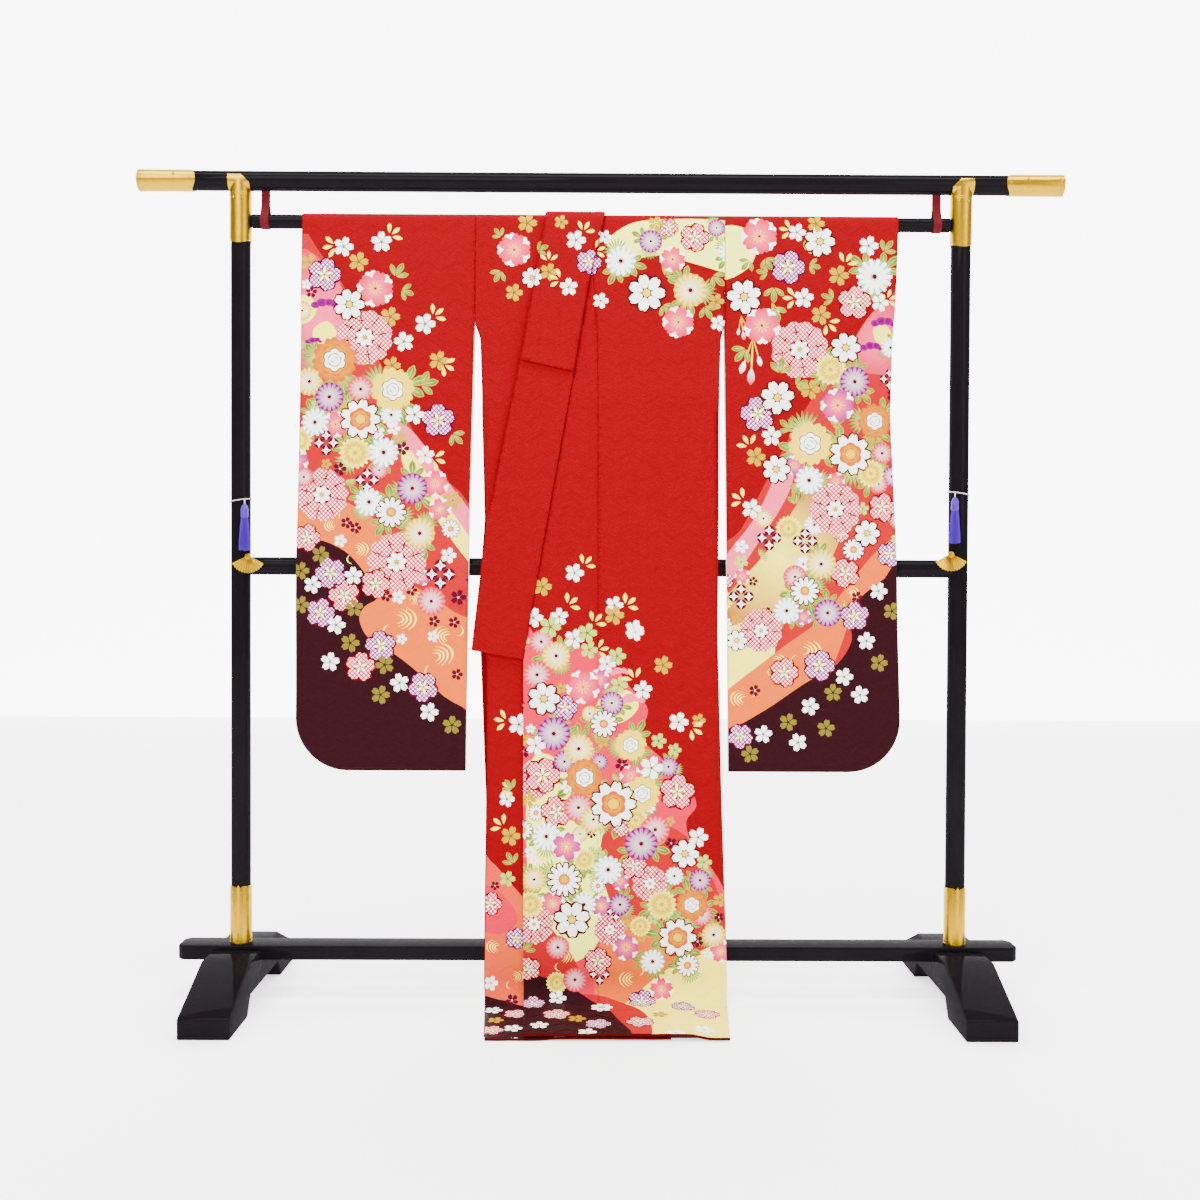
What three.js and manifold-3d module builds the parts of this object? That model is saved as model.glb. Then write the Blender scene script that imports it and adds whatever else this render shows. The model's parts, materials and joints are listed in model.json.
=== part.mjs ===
// A furisode kimono hung on a lacquered kimono rack.
// Millimetres, +Z up, the front faces -Y, X runs to the viewer's right, and the rack's posts stand on Y = 0.
import * as THREE from 'three';
import { mergeVertices } from 'three/addons/utils/BufferGeometryUtils.js';
import Module from 'manifold-3d';

const wasm = await Module();
wasm.setup();

// ---------------------------------------------------------------- driving dimensions: rack
const GAP = 0.3; // between pieces that touch on the real object
const POST_X = 709; // post centres either side of the middle
const POST_R = 19;
const TOP_RAIL_Z = 1609;
const TOP_RAIL_R = 19;
const TOP_RAIL_HALF = 908;
const TOP_CAP = { length: 115, tongue: 26, half: 22 }; // gold end caps of the top rail
const GOLD_WALL = 1.8;
const TOP_COLLAR = { low: 1484, high: 1617, tongue: 12, half: 21, slant: 16 };
const BOTTOM_COLLAR = { high: 224, cusp: 9, half: 22, lobeX: 12, lobeR: 10 };
const MID_RAIL_Z = 853;
const MID_RAIL_R = 17.5;
const BASE_RAIL = { half: 827, depth: 60, low: 79, high: 107, chamfer: 11, bevel: 2 };
const FOOT = { width: 95, half: 250, toe: 38.5, top: 99, flatHalf: 103, archFoot: 128, archTop: 106,
  archZ: 35, bevel: 4 };
const ROD = { z: 1530, radius: 13.5, half: 688 };
const STRAP = { x: 660, width: 16.5, thick: 1.5, neck: 2.6, slit: 1.1 };
const TASSEL = { x: 693, y: -33, length: 92, headR: 7.5, skirtR: 12, strands: 14, inner: 4, root: 22,
  cordDrop: 9, cordR: 1.1 };
const TASSEL_Z = { left: 973, right: 993 }; // tops of the tassels' heads
const FAN = { x: 690, radius: 35, spread: 1.1, ribs: 13, thick: 2.4, pleat: 0.9, knobR: 6 };
const FAN_PIVOT_Z = { left: 873, right: 883 };

// ---------------------------------------------------------------- driving dimensions: kimono
const WALL = 1.5; // cloth with its lining
const COLLAR_WALL = 2.5;
const LAYER = 2.4; // from one hanging layer to the next
const CLOTH_R = ROD.radius + WALL / 2 + 0.9; // middle of the cloth where it bends over the rod
const COLLAR_R = 19.5; // the collar rides on the layers that it crosses
const SLEEVE = { length: 1100, width: 340, corner: 105, cuff: 230, fold: 1.5, ease: 60 };
const SIDE_OPEN_V = 1200; // lower end of the opening below the armhole
const HEM_Y = -244.7; // front edge of the cloth, before its padded roll
const HEM_ROLL_R = 2.5;
const BACK_HEM_STEP = 14; // the back's hem lies this far behind the fronts'
const FLOOR_Z = 0.8; // middle of the lowest layer, which lies on the floor
const BEND_R = 45; // the lowest layer turns forward on the floor with this radius
const NECK_V = 1497; // neck seam on the back
const COLLAR_LOW_V = 672; // lower end of the collar seams
const PLEAT = { half: 36.5, blend: 24 }; // centre-back fold that takes the spare width

// Heights v are measured up the cloth: v is the real height while it hangs, and runs on below 0 on the floor.
// How far each layer hangs from the posts' plane (column y) at a height (column v).
const HANG = {
  back: [{ v: 1530, y: CLOTH_R }, { v: 860, y: -23.9 }, { v: 110, y: -35.7 }],
  under: [{ v: 1530, y: -CLOTH_R }, { v: 1490, y: -15.8 }, { v: 860, y: -31 }, { v: 110, y: -42.5 }],
  over: [{ v: 1530, y: -CLOTH_R }, { v: 1490, y: -18.6 }, { v: 860, y: -36 }, { v: 110, y: -46.3 }],
  collar: [{ v: 1530, y: -COLLAR_R }, { v: 1490, y: -21.8 }, { v: 1400, y: -23.8 }, { v: 860, y: -37.5 },
    { v: 640, y: -40.6 }],
  collarBack: [{ v: 1530, y: COLLAR_R }, { v: 1400, y: 19.4 }],
  sleeveFront: [{ v: 1530, y: -CLOTH_R }, { v: 860, y: -33.5 }, { v: 440, y: -37 }],
  sleeveBack: [{ v: 1530, y: CLOTH_R }, { v: 860, y: -21.5 }, { v: 440, y: -24 }],
};

// Edges of the panels: x at a height v.
const EDGE = {
  bodyLeftOuter: [{ v: 1553, x: -246.5 }, { v: 1330, x: -247.5 }, { v: 1300, x: -236 },
    { v: 1216, x: -233 }, { v: 946, x: -223 },
    { v: 788, x: -236 }, { v: 671, x: -221 }, { v: 398, x: -219 }, { v: 45, x: -222 }, { v: -175, x: -205 }],
  bodyLeftInner: [{ v: 1553, x: -15 }, { v: 1530, x: -15 }, { v: 1440, x: 7 }, { v: 1300, x: 5 },
    { v: -175, x: 9 }],
  bodyLeftBackOuter: [{ v: 1553, x: -246.5 }, { v: 1330, x: -247.5 }, { v: 1300, x: -237 },
    { v: 946, x: -226 },
    { v: 788, x: -237 }, { v: 398, x: -221 }, { v: 45, x: -224 }, { v: -175, x: -208 }],
  bodyRightOuter: [{ v: 1553, x: 241.5 }, { v: 1330, x: 241.5 }, { v: 1300, x: 234.5 },
    { v: 1218, x: 232 }, { v: 712, x: 231 },
    { v: 399, x: 240 }, { v: 45, x: 253 }, { v: -175, x: 237 }],
  bodyRightInner: [{ v: 1553, x: 8 }, { v: 1530, x: 5 }, { v: 1440, x: -17 }, { v: 1300, x: -7 },
    { v: 1174, x: -5 },
    { v: 594, x: -3 }, { v: 45, x: -1 }, { v: -175, x: 9 }],
  collarSeam: [{ v: 1565, x: 8 }, { v: 1530, x: 5 }, { v: 1440, x: -17 }, { v: 1408, x: -24 },
    { v: 1235, x: -52 }, { v: 879, x: -114 },
    { v: 672, x: -149 }],
  collarFree: [{ v: 1565, x: -109 }, { v: 1530, x: -110 }, { v: 1257, x: -157 }, { v: 979, x: -211 },
    { v: 946, x: -221 },
    { v: 690, x: -250 }],
  overlapFront: [{ v: 672, x: -149 }, { v: 398, x: -148 }, { v: 45, x: -146 }, { v: -175, x: -136 }],
  underCollarSeam: [{ v: 1440, x: 7 }, { v: 1235, x: 42 }, { v: 879, x: 104 }, { v: 672, x: 139 }],
  underOverlapFront: [{ v: 672, x: 139 }, { v: -175, x: 132 }],
  sleeveLeftOuter: [{ v: 1553, x: -585 }, { v: 1157, x: -590 }, { v: 786, x: -594 }, { v: 446, x: -594 }],
  sleeveLeftInner: [{ v: 1553, x: -246.8 }, { v: 1330, x: -247.8 }, { v: 983, x: -255 }, { v: 446, x: -261 }],
  sleeveRightOuter: [{ v: 1553, x: 583 }, { v: 1157, x: 570 }, { v: 987, x: 577 }, { v: 446, x: 592 }],
  sleeveRightInner: [{ v: 1553, x: 241.8 }, { v: 1330, x: 241.8 }, { v: 986, x: 246 }, { v: 446, x: 253 }],
};

// Soft vertical folds: each is a ridge (positive depth) or trough running down the cloth at x.
const BODY_FOLDS = [
  { x: -5, depth: -3.2, spread: 17, from: 1420, to: 760 },
  { x: -4, depth: -2.8, spread: 15, from: 860, to: 120 },
  { x: 38, depth: 2.6, spread: 26, from: 1300, to: 260 },
  { x: 128, depth: -3, spread: 40, from: 1120, to: 60 },
  { x: 196, depth: 2.4, spread: 22, from: 900, to: 60 },
  { x: -196, depth: 2.6, spread: 24, from: 1240, to: 420 },
];
const SHARE = { over: 1, under: 0.6, back: 0.35 }; // of the front's folds, in each layer
const SLEEVE_FOLDS = {
  left: [
    { x: -300, depth: 4.5, spread: 34, from: 1340, to: 470 },
    { x: -392, depth: -5.5, spread: 42, from: 1250, to: 520 },
    { x: -505, depth: 4, spread: 38, from: 1420, to: 560 },
    { x: -575, depth: -6, spread: 30, from: 1330, to: 470 },
  ],
  right: [
    { x: 292, depth: 4, spread: 30, from: 1360, to: 480 },
    { x: 372, depth: -5, spread: 46, from: 1290, to: 470 },
    { x: 478, depth: 5, spread: 36, from: 1400, to: 640 },
    { x: 566, depth: -9, spread: 34, from: 1460, to: 620 },
  ],
};

// ---------------------------------------------------------------- small helpers
const clamp01 = (t) => Math.min(1, Math.max(0, t));
const smooth = (t) => clamp01(t) ** 2 * (3 - 2 * clamp01(t));
const lerp = (a, b, t) => a + (b - a) * t;

/** Reads column key of a table sorted by falling v, smoothly between its rows. */
function read(table, key, v) {
  const last = table.length - 1;
  if (v >= table[0].v) return table[0][key];
  if (v <= table[last].v) return table[last][key];
  const i = table.findIndex((row, k) => k < last && v <= row.v && v >= table[k + 1].v);
  const [a, b] = [table[i], table[i + 1]];
  return lerp(b[key], a[key], (v - b.v) / (a.v - b.v));
}

/**
 * Sum of the folds at a place on the cloth, in mm towards the front. Inner layers take only a share
 * of them.
 */
function foldDepth(folds, x, v, share = 1) {
  let depth = 0;
  for (const f of folds) {
    const along = smooth((f.from - v) / 200) * smooth((v - f.to) / 160);
    // The rail keeps troughs shallow
    const byRail = f.depth < 0 ? 1 - Math.exp(-(((v - MID_RAIL_Z) / 130) ** 2)) : 1;
    depth += f.depth * along * byRail * Math.exp(-(((x - f.x) / f.spread) ** 2));
  }
  return depth * share;
}

function material(color, roughness, metalness = 0) {
  return new THREE.MeshStandardMaterial({ color, roughness, metalness });
}

const FINISH = {
  red: material(0xd42026, 0.8),
  deepRed: material(0xc01c22, 0.8),
  lacquer: material(0x1c181a, 0.18),
  gold: material(0xd9b24a, 0.35, 1),
  strap: material(0x5c1f26, 0.85),
  violet: material(0x5b2a9e, 0.7),
  silver: material(0xb9b4c2, 0.6),
};

const kimonoOnRack = new THREE.Group();

function addMesh(name, geometry, finish) {
  const mesh = new THREE.Mesh(geometry, finish);
  mesh.name = name;
  kimonoOnRack.add(mesh);
  return mesh;
}

function geometryFrom(positions, triangles) {
  const geometry = new THREE.BufferGeometry();
  geometry.setAttribute('position', new THREE.Float32BufferAttribute(positions, 3));
  geometry.setIndex(triangles);
  return geometry;
}

// ---------------------------------------------------------------- cloth walls
/**
 * A wall of cloth through a grid of points on its middle. at(i, j) gives a point, or null where the cloth has
 * none. With ring set, the last j joins the first. Points are moved out and in by half the wall along the
 * normal.
 */
function clothWall({ nu, nv, at, wall = WALL, ring = false, flip = false }) {
  const grid = Array.from({ length: nu }, (_, i) => Array.from({ length: nv }, (_, j) => at(i, j)));
  const point = (i, j) => (i < 0 || i >= nu ? null : ring ? grid[i][(j + nv) % nv] : grid[i][j] ?? null);
  const along = (a, here, b) => (b ?? here).clone().sub(a ?? here);
  const positions = [];
  const index = Array.from({ length: nu }, () => Array(nv).fill(null));
  for (let i = 0; i < nu; i += 1) {
    for (let j = 0; j < nv; j += 1) {
      const here = grid[i][j];
      if (!here) continue;
      const du = along(point(i - 1, j), here, point(i + 1, j));
      const dv = along(point(i, j - 1), here, point(i, j + 1));
      const normal = du.cross(dv).normalize().multiplyScalar((flip ? -wall : wall) / 2);
      index[i][j] = positions.length / 3;
      positions.push(...here.clone().add(normal).toArray(), ...here.clone().sub(normal).toArray());
    }
  }
  const triangles = [];
  const quad = (a, b, c, d) => (flip ? triangles.push(a, c, b, a, d, c) : triangles.push(a, b, c, a, c, d));
  const id = (i, j) => (i < 0 || i >= nu ? null : index[i][ring ? (j + nv) % nv : j] ?? null);
  const whole = (i, j) => {
    if (i < 0 || i >= nu - 1 || (!ring && (j < 0 || j >= nv - 1))) return false;
    return [id(i, j), id(i + 1, j), id(i + 1, j + 1), id(i, j + 1)].every((k) => k !== null);
  };
  for (let i = 0; i < nu - 1; i += 1) {
    for (let j = 0; j < (ring ? nv : nv - 1); j += 1) {
      if (!whole(i, j)) continue;
      const [a, b, c, d] = [id(i, j), id(i + 1, j), id(i + 1, j + 1), id(i, j + 1)];
      quad(a, b, c, d);
      quad(a + 1, d + 1, c + 1, b + 1);
      if (!whole(i, j - 1)) quad(b, a, a + 1, b + 1);
      if (!whole(i + 1, j)) quad(c, b, b + 1, c + 1);
      if (!whole(i, j + 1)) quad(d, c, c + 1, d + 1);
      if (!whole(i - 1, j)) quad(a, d, d + 1, a + 1);
    }
  }
  return geometryFrom(positions, triangles);
}

/**
 * Middle of a layer at x and height v. offset moves it towards the front, or up where it lies on the
 * floor.
 */
function drape(x, v, { table, radius = CLOTH_R, side = -1, level = 0, offset = 0 }) {
  if (v > ROD.z) {
    const angle = Math.PI / 2 - (v - ROD.z) / radius;
    const reach = radius - side * offset;
    return new THREE.Vector3(x, side * reach * Math.sin(angle), ROD.z + reach * Math.cos(angle));
  }
  const bend = BEND_R - level;
  const start = FLOOR_Z + BEND_R;
  const low = read(table, 'y', 110);
  if (v >= start) {
    return new THREE.Vector3(x, read(table, 'y', v) - offset, v);
  }
  const angle = (start - v) / bend;
  if (angle < Math.PI / 2) {
    const r = bend - offset;
    return new THREE.Vector3(x, low - bend + r * Math.cos(angle), start - r * Math.sin(angle));
  }
  const run = start - v - (bend * Math.PI) / 2;
  return new THREE.Vector3(x, low - bend - run, FLOOR_Z + level + offset);
}

/** Height v of the place on a layer that reaches y on the floor. */
function floorV(table, level, y) {
  const bend = BEND_R - level;
  return FLOOR_Z + BEND_R - (bend * Math.PI) / 2 - (read(table, 'y', 110) - bend - y);
}

/** 0 while the cloth hangs and 1 once it lies on the floor. */
const grounded = (v) => smooth((170 - v) / 130);

const LEVEL = { under: 6.8, over: 10.6 };

// Front layers settle where fewer layers lie below them.
const settleUnder = (x, v) => -4.4 * grounded(v) * smooth((-70 - x) / 60);
const settleOver = (x, v) => -6.6 * grounded(v) * smooth((x - 160) / 45);

/**
 * Where a side seam is sewn, front and back curve towards each other: returns the shift towards the
 * other.
 */
function sideClose(distance, v, half) {
  const sewn = smooth((SIDE_OPEN_V - v) / 60) * (1 - grounded(v));
  const t = clamp01(distance / 16);
  return (half - 1.25) * (1 - Math.sqrt(1 - (1 - t) ** 2)) * sewn;
}

const backLayer = (x, v, offset) => drape(x, v, { table: HANG.back, side: 1, offset });

/** Distance between a front layer and the back, halved, at a height. */
const halfRoom = (table, v) => (read(HANG.back, 'y', v) - read(table, 'y', v)) / 2;

const NECK_X = { [-1]: -15, 1: 5 }; // inner ends of the two shoulders
const TOP_V = ROD.z + (CLOTH_R * Math.PI) / 2;
const BODY_COLUMNS = [0, 0.035, 0.1, 0.32, 0.55, 0.77, 0.87, 1];
const PLEAT_COLUMN = BODY_COLUMNS.length - 2; // on the back it runs just beside the fold

// Rows of the hanging cloth: heights v.
const FRONT_ROWS = [110, 240, 400, 560, 672, 800, 879, 1000, 1160, 1174, 1235, 1300, 1330, 1408, 1440,
  1490, 1530];
const BACK_ROWS = [1530, NECK_V, 1440, 1330, 1300, 1160, 1000, 879, 800, 672, 560, 400, 240, 110];
const ROD_ROWS = [1, 2].map((third) => ROD.z + (CLOTH_R * Math.PI * third) / 6);

/** Rows from a layer's hem along the floor and up through its bend. */
function floorRows(table, level, hemY) {
  const start = FLOOR_Z + BEND_R;
  const arc = ((BEND_R - level) * Math.PI) / 2;
  const hem = floorV(table, level, hemY);
  const flat = [0, 0.34, 0.68].map((t) => lerp(hem, start - arc, t));
  return [...flat, ...[1, 0.75, 0.5, 0.25, 0].map((t) => start - arc * t)];
}

/** Horizontal tuck across the body: a small step forward just above it. */
const tuckStep = (v) => 1.3 * smooth((v - 1160) / 14) * smooth((1235 - v) / 40);

/**
 * One body panel: front, shoulder and back in one length of cloth, with the centre-back fold.
 * hand is -1 for the panel on the left and 1 for the panel on the right.
 */
function bodyPanel(hand) {
  const isLeft = hand < 0;
  const front = isLeft ? HANG.under : HANG.over;
  const level = isLeft ? LEVEL.under : LEVEL.over;
  const outer = isLeft ? EDGE.bodyLeftOuter : EDGE.bodyRightOuter;
  const inner = isLeft ? EDGE.bodyLeftInner : EDGE.bodyRightInner;
  const backOuter = isLeft ? EDGE.bodyLeftBackOuter : EDGE.bodyRightOuter;
  const settle = isLeft ? settleUnder : settleOver;
  const frontRows = [...floorRows(front, level, HEM_Y), ...FRONT_ROWS, ...ROD_ROWS, TOP_V];
  const lowRows = floorRows(HANG.back, 0, HEM_Y + BACK_HEM_STEP).reverse();
  const backRows = [...ROD_ROWS.toReversed(), ...BACK_ROWS, ...lowRows];
  const rows = [...frontRows, ...backRows];
  const ridge = frontRows.length - 1;
  // Columns past the inner edge exist on the back only: the fold's outer or inner layer, its turn, and the
  // seam.
  const foldEdge = -hand * PLEAT.half;
  const foldColumns = [
    { layer: 1, x: foldEdge * 0.55 },
    { layer: 1, x: foldEdge },
    { layer: 0.5, x: foldEdge - hand * 1.9 },
    { layer: 0, x: foldEdge },
    { layer: 0, x: -hand * (GAP / 2) },
  ];
  const nu = BODY_COLUMNS.length + foldColumns.length;
  const at = (i, j) => {
    const v = rows[j];
    const isBack = j > ridge;
    if (i >= BODY_COLUMNS.length) {
      if (!isBack || v > NECK_V) return null;
      const { layer, x } = foldColumns[i - BODY_COLUMNS.length];
      return backLayer(x, v, hand * LAYER * layer + LAYER * grounded(v));
    }
    const edgeOut = read(isBack ? backOuter : outer, 'x', v);
    const edgeIn = isBack ? NECK_X[hand] : read(inner, 'x', v) + hand * (GAP / 2);
    const pleatX = hand * (PLEAT.half + 3.5);
    const x = isBack && i === PLEAT_COLUMN ? pleatX : lerp(edgeOut, edgeIn, BODY_COLUMNS[i]);
    const close = sideClose(Math.abs(x - edgeOut), v, halfRoom(front, v));
    if (!isBack) {
      const folds = foldDepth(BODY_FOLDS, x, v, isLeft ? SHARE.under : SHARE.over);
      return drape(x, v, { table: front, level, offset: folds + tuckStep(v) - close + settle(x, v) });
    }
    const zone = smooth((PLEAT.half + 3 + PLEAT.blend - Math.abs(x)) / PLEAT.blend)
      * smooth((ROD.z - v) / (ROD.z - NECK_V));
    const folds = foldDepth(BODY_FOLDS, x, v, SHARE.back) * smooth((Math.abs(x) - 60) / 50);
    const shift = LAYER * zone * (hand + grounded(v));
    return backLayer(x, v, shift + folds + close);
  };
  return clothWall({ nu, nv: rows.length, at, flip: !isLeft });
}

addMesh('body_left', bodyPanel(-1), FINISH.red);
addMesh('body_right', bodyPanel(1), FINISH.red);

// ---------------------------------------------------------------- overlaps, collar and its cover
const OVERLAP_TOP = 1424;
const OVERLAP_COLUMNS = [0, 0.3, 0.66, 1];

/** The tapering panel sewn between a front and the collar. */
function overlapPanel({ table, level, share, settle, left, right }) {
  const rows = [...floorRows(table, level, HEM_Y), ...FRONT_ROWS.filter((v) => v < OVERLAP_TOP), OVERLAP_TOP];
  const at = (i, j) => {
    const v = rows[j];
    const x = lerp(left(v) + GAP / 2, right(v) - GAP / 2, OVERLAP_COLUMNS[i]);
    const offset = foldDepth(BODY_FOLDS, x, v, share) + tuckStep(v) + settle(x, v);
    return drape(x, v, { table, level, offset });
  };
  return clothWall({ nu: OVERLAP_COLUMNS.length, nv: rows.length, at });
}

addMesh('overlap_left', overlapPanel({
  table: HANG.under,
  level: LEVEL.under,
  share: SHARE.under,
  settle: settleUnder,
  left: (v) => read(EDGE.bodyLeftInner, 'x', v),
  right: (v) => read(v >= COLLAR_LOW_V ? EDGE.underCollarSeam : EDGE.underOverlapFront, 'x', v),
}), FINISH.red);
addMesh('overlap_right', overlapPanel({
  table: HANG.over,
  level: LEVEL.over,
  share: SHARE.over,
  settle: settleOver,
  left: (v) => read(v >= COLLAR_LOW_V ? EDGE.collarSeam : EDGE.overlapFront, 'x', v),
  right: (v) => read(EDGE.bodyRightInner, 'x', v),
}), FINISH.red);

const UNDER_COLLAR = { width: 55, top: 1486, low: 673 };

/** The collar of the under front, folded to half its width and hidden between the fronts. */
function underCollar() {
  const between = FRONT_ROWS.filter((v) => v > UNDER_COLLAR.low && v < UNDER_COLLAR.top);
  const rows = [UNDER_COLLAR.low, ...between, UNDER_COLLAR.top];
  const at = (i, j) => {
    const v = rows[j];
    const seam = read(v >= 1440 ? EDGE.bodyLeftInner : EDGE.underCollarSeam, 'x', v);
    const x = seam + GAP / 2 + (UNDER_COLLAR.width * i) / 2;
    return drape(x, v, { table: HANG.under, offset: foldDepth(BODY_FOLDS, x, v, SHARE.under) + tuckStep(v) });
  };
  return clothWall({ nu: 3, nv: rows.length, at });
}
addMesh('collar_under', underCollar(), FINISH.deepRed);

const COLLAR_COLUMNS = [0, 0.25, 0.5, 0.75, 1];
const COLLAR_END = { free: 690, seam: 673 }; // heights of the two corners of the collar's end
const COVER_END = { free: 1257, seam: 1235 };
const COLLAR_BACK_V = 1482;

/** Middle of the collar at column t (0 at its free edge, 1 at the seam) and height v, moved out by lift. */
function collarPoint(t, v, isBack, lift) {
  const inset = lift > 0 ? 1.2 : 0;
  const x = lerp(read(EDGE.collarFree, 'x', v) + inset, read(EDGE.collarSeam, 'x', v) - GAP / 2 - inset, t);
  const table = isBack ? HANG.collarBack : HANG.collar;
  const side = isBack ? 1 : -1;
  const folds = isBack ? 0 : foldDepth(BODY_FOLDS, x, v);
  const freeEdge = isBack ? 0 : 1.6 * smooth((0.3 - t) / 0.3) * smooth((1500 - v) / 200);
  return drape(x, v, { table, radius: COLLAR_R, side, offset: folds + freeEdge - side * lift });
}

function collarStrip({ end, wall, lift, rows, backRows, curl }) {
  const top = ROD.z + (COLLAR_R * Math.PI) / 2;
  const places = [
    ...rows.map((w) => ({ w })),
    { v: ROD.z + COLLAR_R * 0.52 },
    { v: ROD.z + COLLAR_R * 1.05 },
    { v: top - 0.01 },
    { v: ROD.z + COLLAR_R * 1.05, isBack: true },
    { v: ROD.z + COLLAR_R * 0.52, isBack: true },
    ...backRows.map((v) => ({ v, isBack: true })),
  ];
  const at = (i, j) => {
    const t = COLLAR_COLUMNS[i];
    const { v: height, w, isBack = false } = places[j];
    const low = lerp(end.free, end.seam, t);
    const v = height ?? lerp(low, ROD.z, w);
    const raised = lift + (w === undefined ? 0 : curl * smooth(1 - (v - low) / 26));
    return collarPoint(t, v, isBack, raised);
  };
  return clothWall({ nu: COLLAR_COLUMNS.length, nv: places.length, at, wall });
}
addMesh('collar_over', collarStrip({
  end: COLLAR_END,
  wall: COLLAR_WALL,
  lift: 0,
  curl: 0,
  rows: [0, 0.08, 0.16, 0.2404, 0.36, 0.48, 0.57, 0.6558, 0.76, 0.8576, 0.895, 0.95, 1],
  backRows: [ROD.z, COLLAR_BACK_V],
}), FINISH.deepRed);
addMesh('collar_cover', collarStrip({
  end: COVER_END,
  wall: WALL,
  lift: COLLAR_WALL / 2 + GAP + WALL / 2,
  curl: 2.2,
  rows: [0, 0.05, 0.12, 0.3, 0.52, 0.72, 0.9, 1],
  backRows: [ROD.z, COLLAR_BACK_V + 12],
}), FINISH.red);

// ---------------------------------------------------------------- sleeves
// The bag's sewn edge, from the inner bottom corner to the cuff: p from the inner edge, q down from the fold.
const BAG_STRAIGHT = [{ p: 0, q: 1100 }, { p: 80, q: 1100 }, { p: 160, q: 1100 }];
const BAG_SIDE = [{ p: 340, q: 860 }, { p: 340, q: 720 }, { p: 340, q: 590 }, { p: 340, q: 470 },
  { p: 340, q: 350 }, { p: 340, q: 230 }];
const CORNER_STEPS = 4;

function bagEdge() {
  const { width, length, corner } = SLEEVE;
  const arc = Array.from({ length: CORNER_STEPS + 1 }, (_, k) => {
    const angle = (k / CORNER_STEPS) * (Math.PI / 2);
    return { p: width - corner + corner * Math.sin(angle), q: length - corner + corner * Math.cos(angle) };
  });
  return [...BAG_STRAIGHT, ...arc, ...BAG_SIDE];
}

/** Distance from a flat point of the sleeve to its sewn edge. */
function bagDistance(p, q) {
  const { width, length, corner, cuff } = SLEEVE;
  if (q < cuff) return Math.hypot(width - p, cuff - q);
  const [dx, dy] = [p - (width - corner), q - (length - corner)];
  if (dx > 0 && dy > 0) return Math.max(0, corner - Math.hypot(dx, dy));
  return Math.max(0, Math.min(width - p, length - q));
}

const SLEEVE_ROWS = [0, 0.018, 0.06, 0.14, 0.27, 0.41, 0.55, 0.7, 0.85, 0.95, 1];
const ROD_ANGLES = [60, 30, 0, -30, -60];

/**
 * A sleeve: one length of cloth folded over the rod and sewn into a bag, open at the cuff and the
 * inner edge.
 */
function sleeve(hand) {
  const edge = bagEdge();
  const outer = hand < 0 ? EDGE.sleeveLeftOuter : EDGE.sleeveRightOuter;
  const inner = hand < 0 ? EDGE.sleeveLeftInner : EDGE.sleeveRightInner;
  const folds = SLEEVE_FOLDS[hand < 0 ? 'left' : 'right'];
  const flatTop = TOP_V - ROD.z;
  const place = (p, q) => lerp(read(inner, 'x', TOP_V - q), read(outer, 'x', TOP_V - q), p / SLEEVE.width);
  const rows = [
    ...SLEEVE_ROWS.map((w) => ({ w, side: -1 })),
    ...ROD_ANGLES.map((degrees) => ({ degrees })),
    ...SLEEVE_ROWS.map((w) => ({ w, side: 1 })).reverse(),
  ];
  const at = (i, j) => {
    const end = edge[i];
    const top = (SLEEVE.width * i) / (edge.length - 1);
    const { w, side, degrees } = rows[j];
    if (w === undefined) {
      const angle = THREE.MathUtils.degToRad(degrees);
      return new THREE.Vector3(place(top, 0), -CLOTH_R * Math.sin(angle), ROD.z + CLOTH_R * Math.cos(angle));
    }
    const [p, q] = [lerp(end.p, top, w), lerp(end.q, flatTop, w)];
    const v = TOP_V - q;
    const x = place(p, q);
    const [front, back] = [read(HANG.sleeveFront, 'y', v), read(HANG.sleeveBack, 'y', v)];
    const t = clamp01(bagDistance(p, q) / SLEEVE.ease);
    const half = lerp(SLEEVE.fold, (back - front) / 2, Math.sqrt(1 - (1 - t) ** 2));
    return new THREE.Vector3(x, (front + back) / 2 + side * half - foldDepth(folds, x, v), v);
  };
  return clothWall({ nu: edge.length, nv: rows.length, at, ring: true, flip: hand < 0 });
}
addMesh('sleeve_left', sleeve(-1), FINISH.red);
addMesh('sleeve_right', sleeve(1), FINISH.red);

// ---------------------------------------------------------------- padded hem rolls
/** A closed round tube through points that run along X. */
function rollAlongX(points, radius, sides = 8) {
  const positions = [];
  const triangles = [];
  for (const p of points) {
    for (let k = 0; k < sides; k += 1) {
      const angle = (k / sides) * 2 * Math.PI;
      positions.push(p.x, p.y + radius * Math.cos(angle), p.z + radius * Math.sin(angle));
    }
  }
  const last = points.length - 1;
  for (let i = 0; i < last; i += 1) {
    for (let k = 0; k < sides; k += 1) {
      const next = (k + 1) % sides;
      const [a, b, c, d] = [i * sides + k, (i + 1) * sides + k, (i + 1) * sides + next, i * sides + next];
      triangles.push(a, c, b, a, d, c);
    }
  }
  for (let k = 1; k < sides - 1; k += 1) {
    triangles.push(0, k + 1, k);
    triangles.push(last * sides, last * sides + k, last * sides + k + 1);
  }
  return geometryFrom(positions, triangles);
}

const HEM_STEPS = 18;
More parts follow.
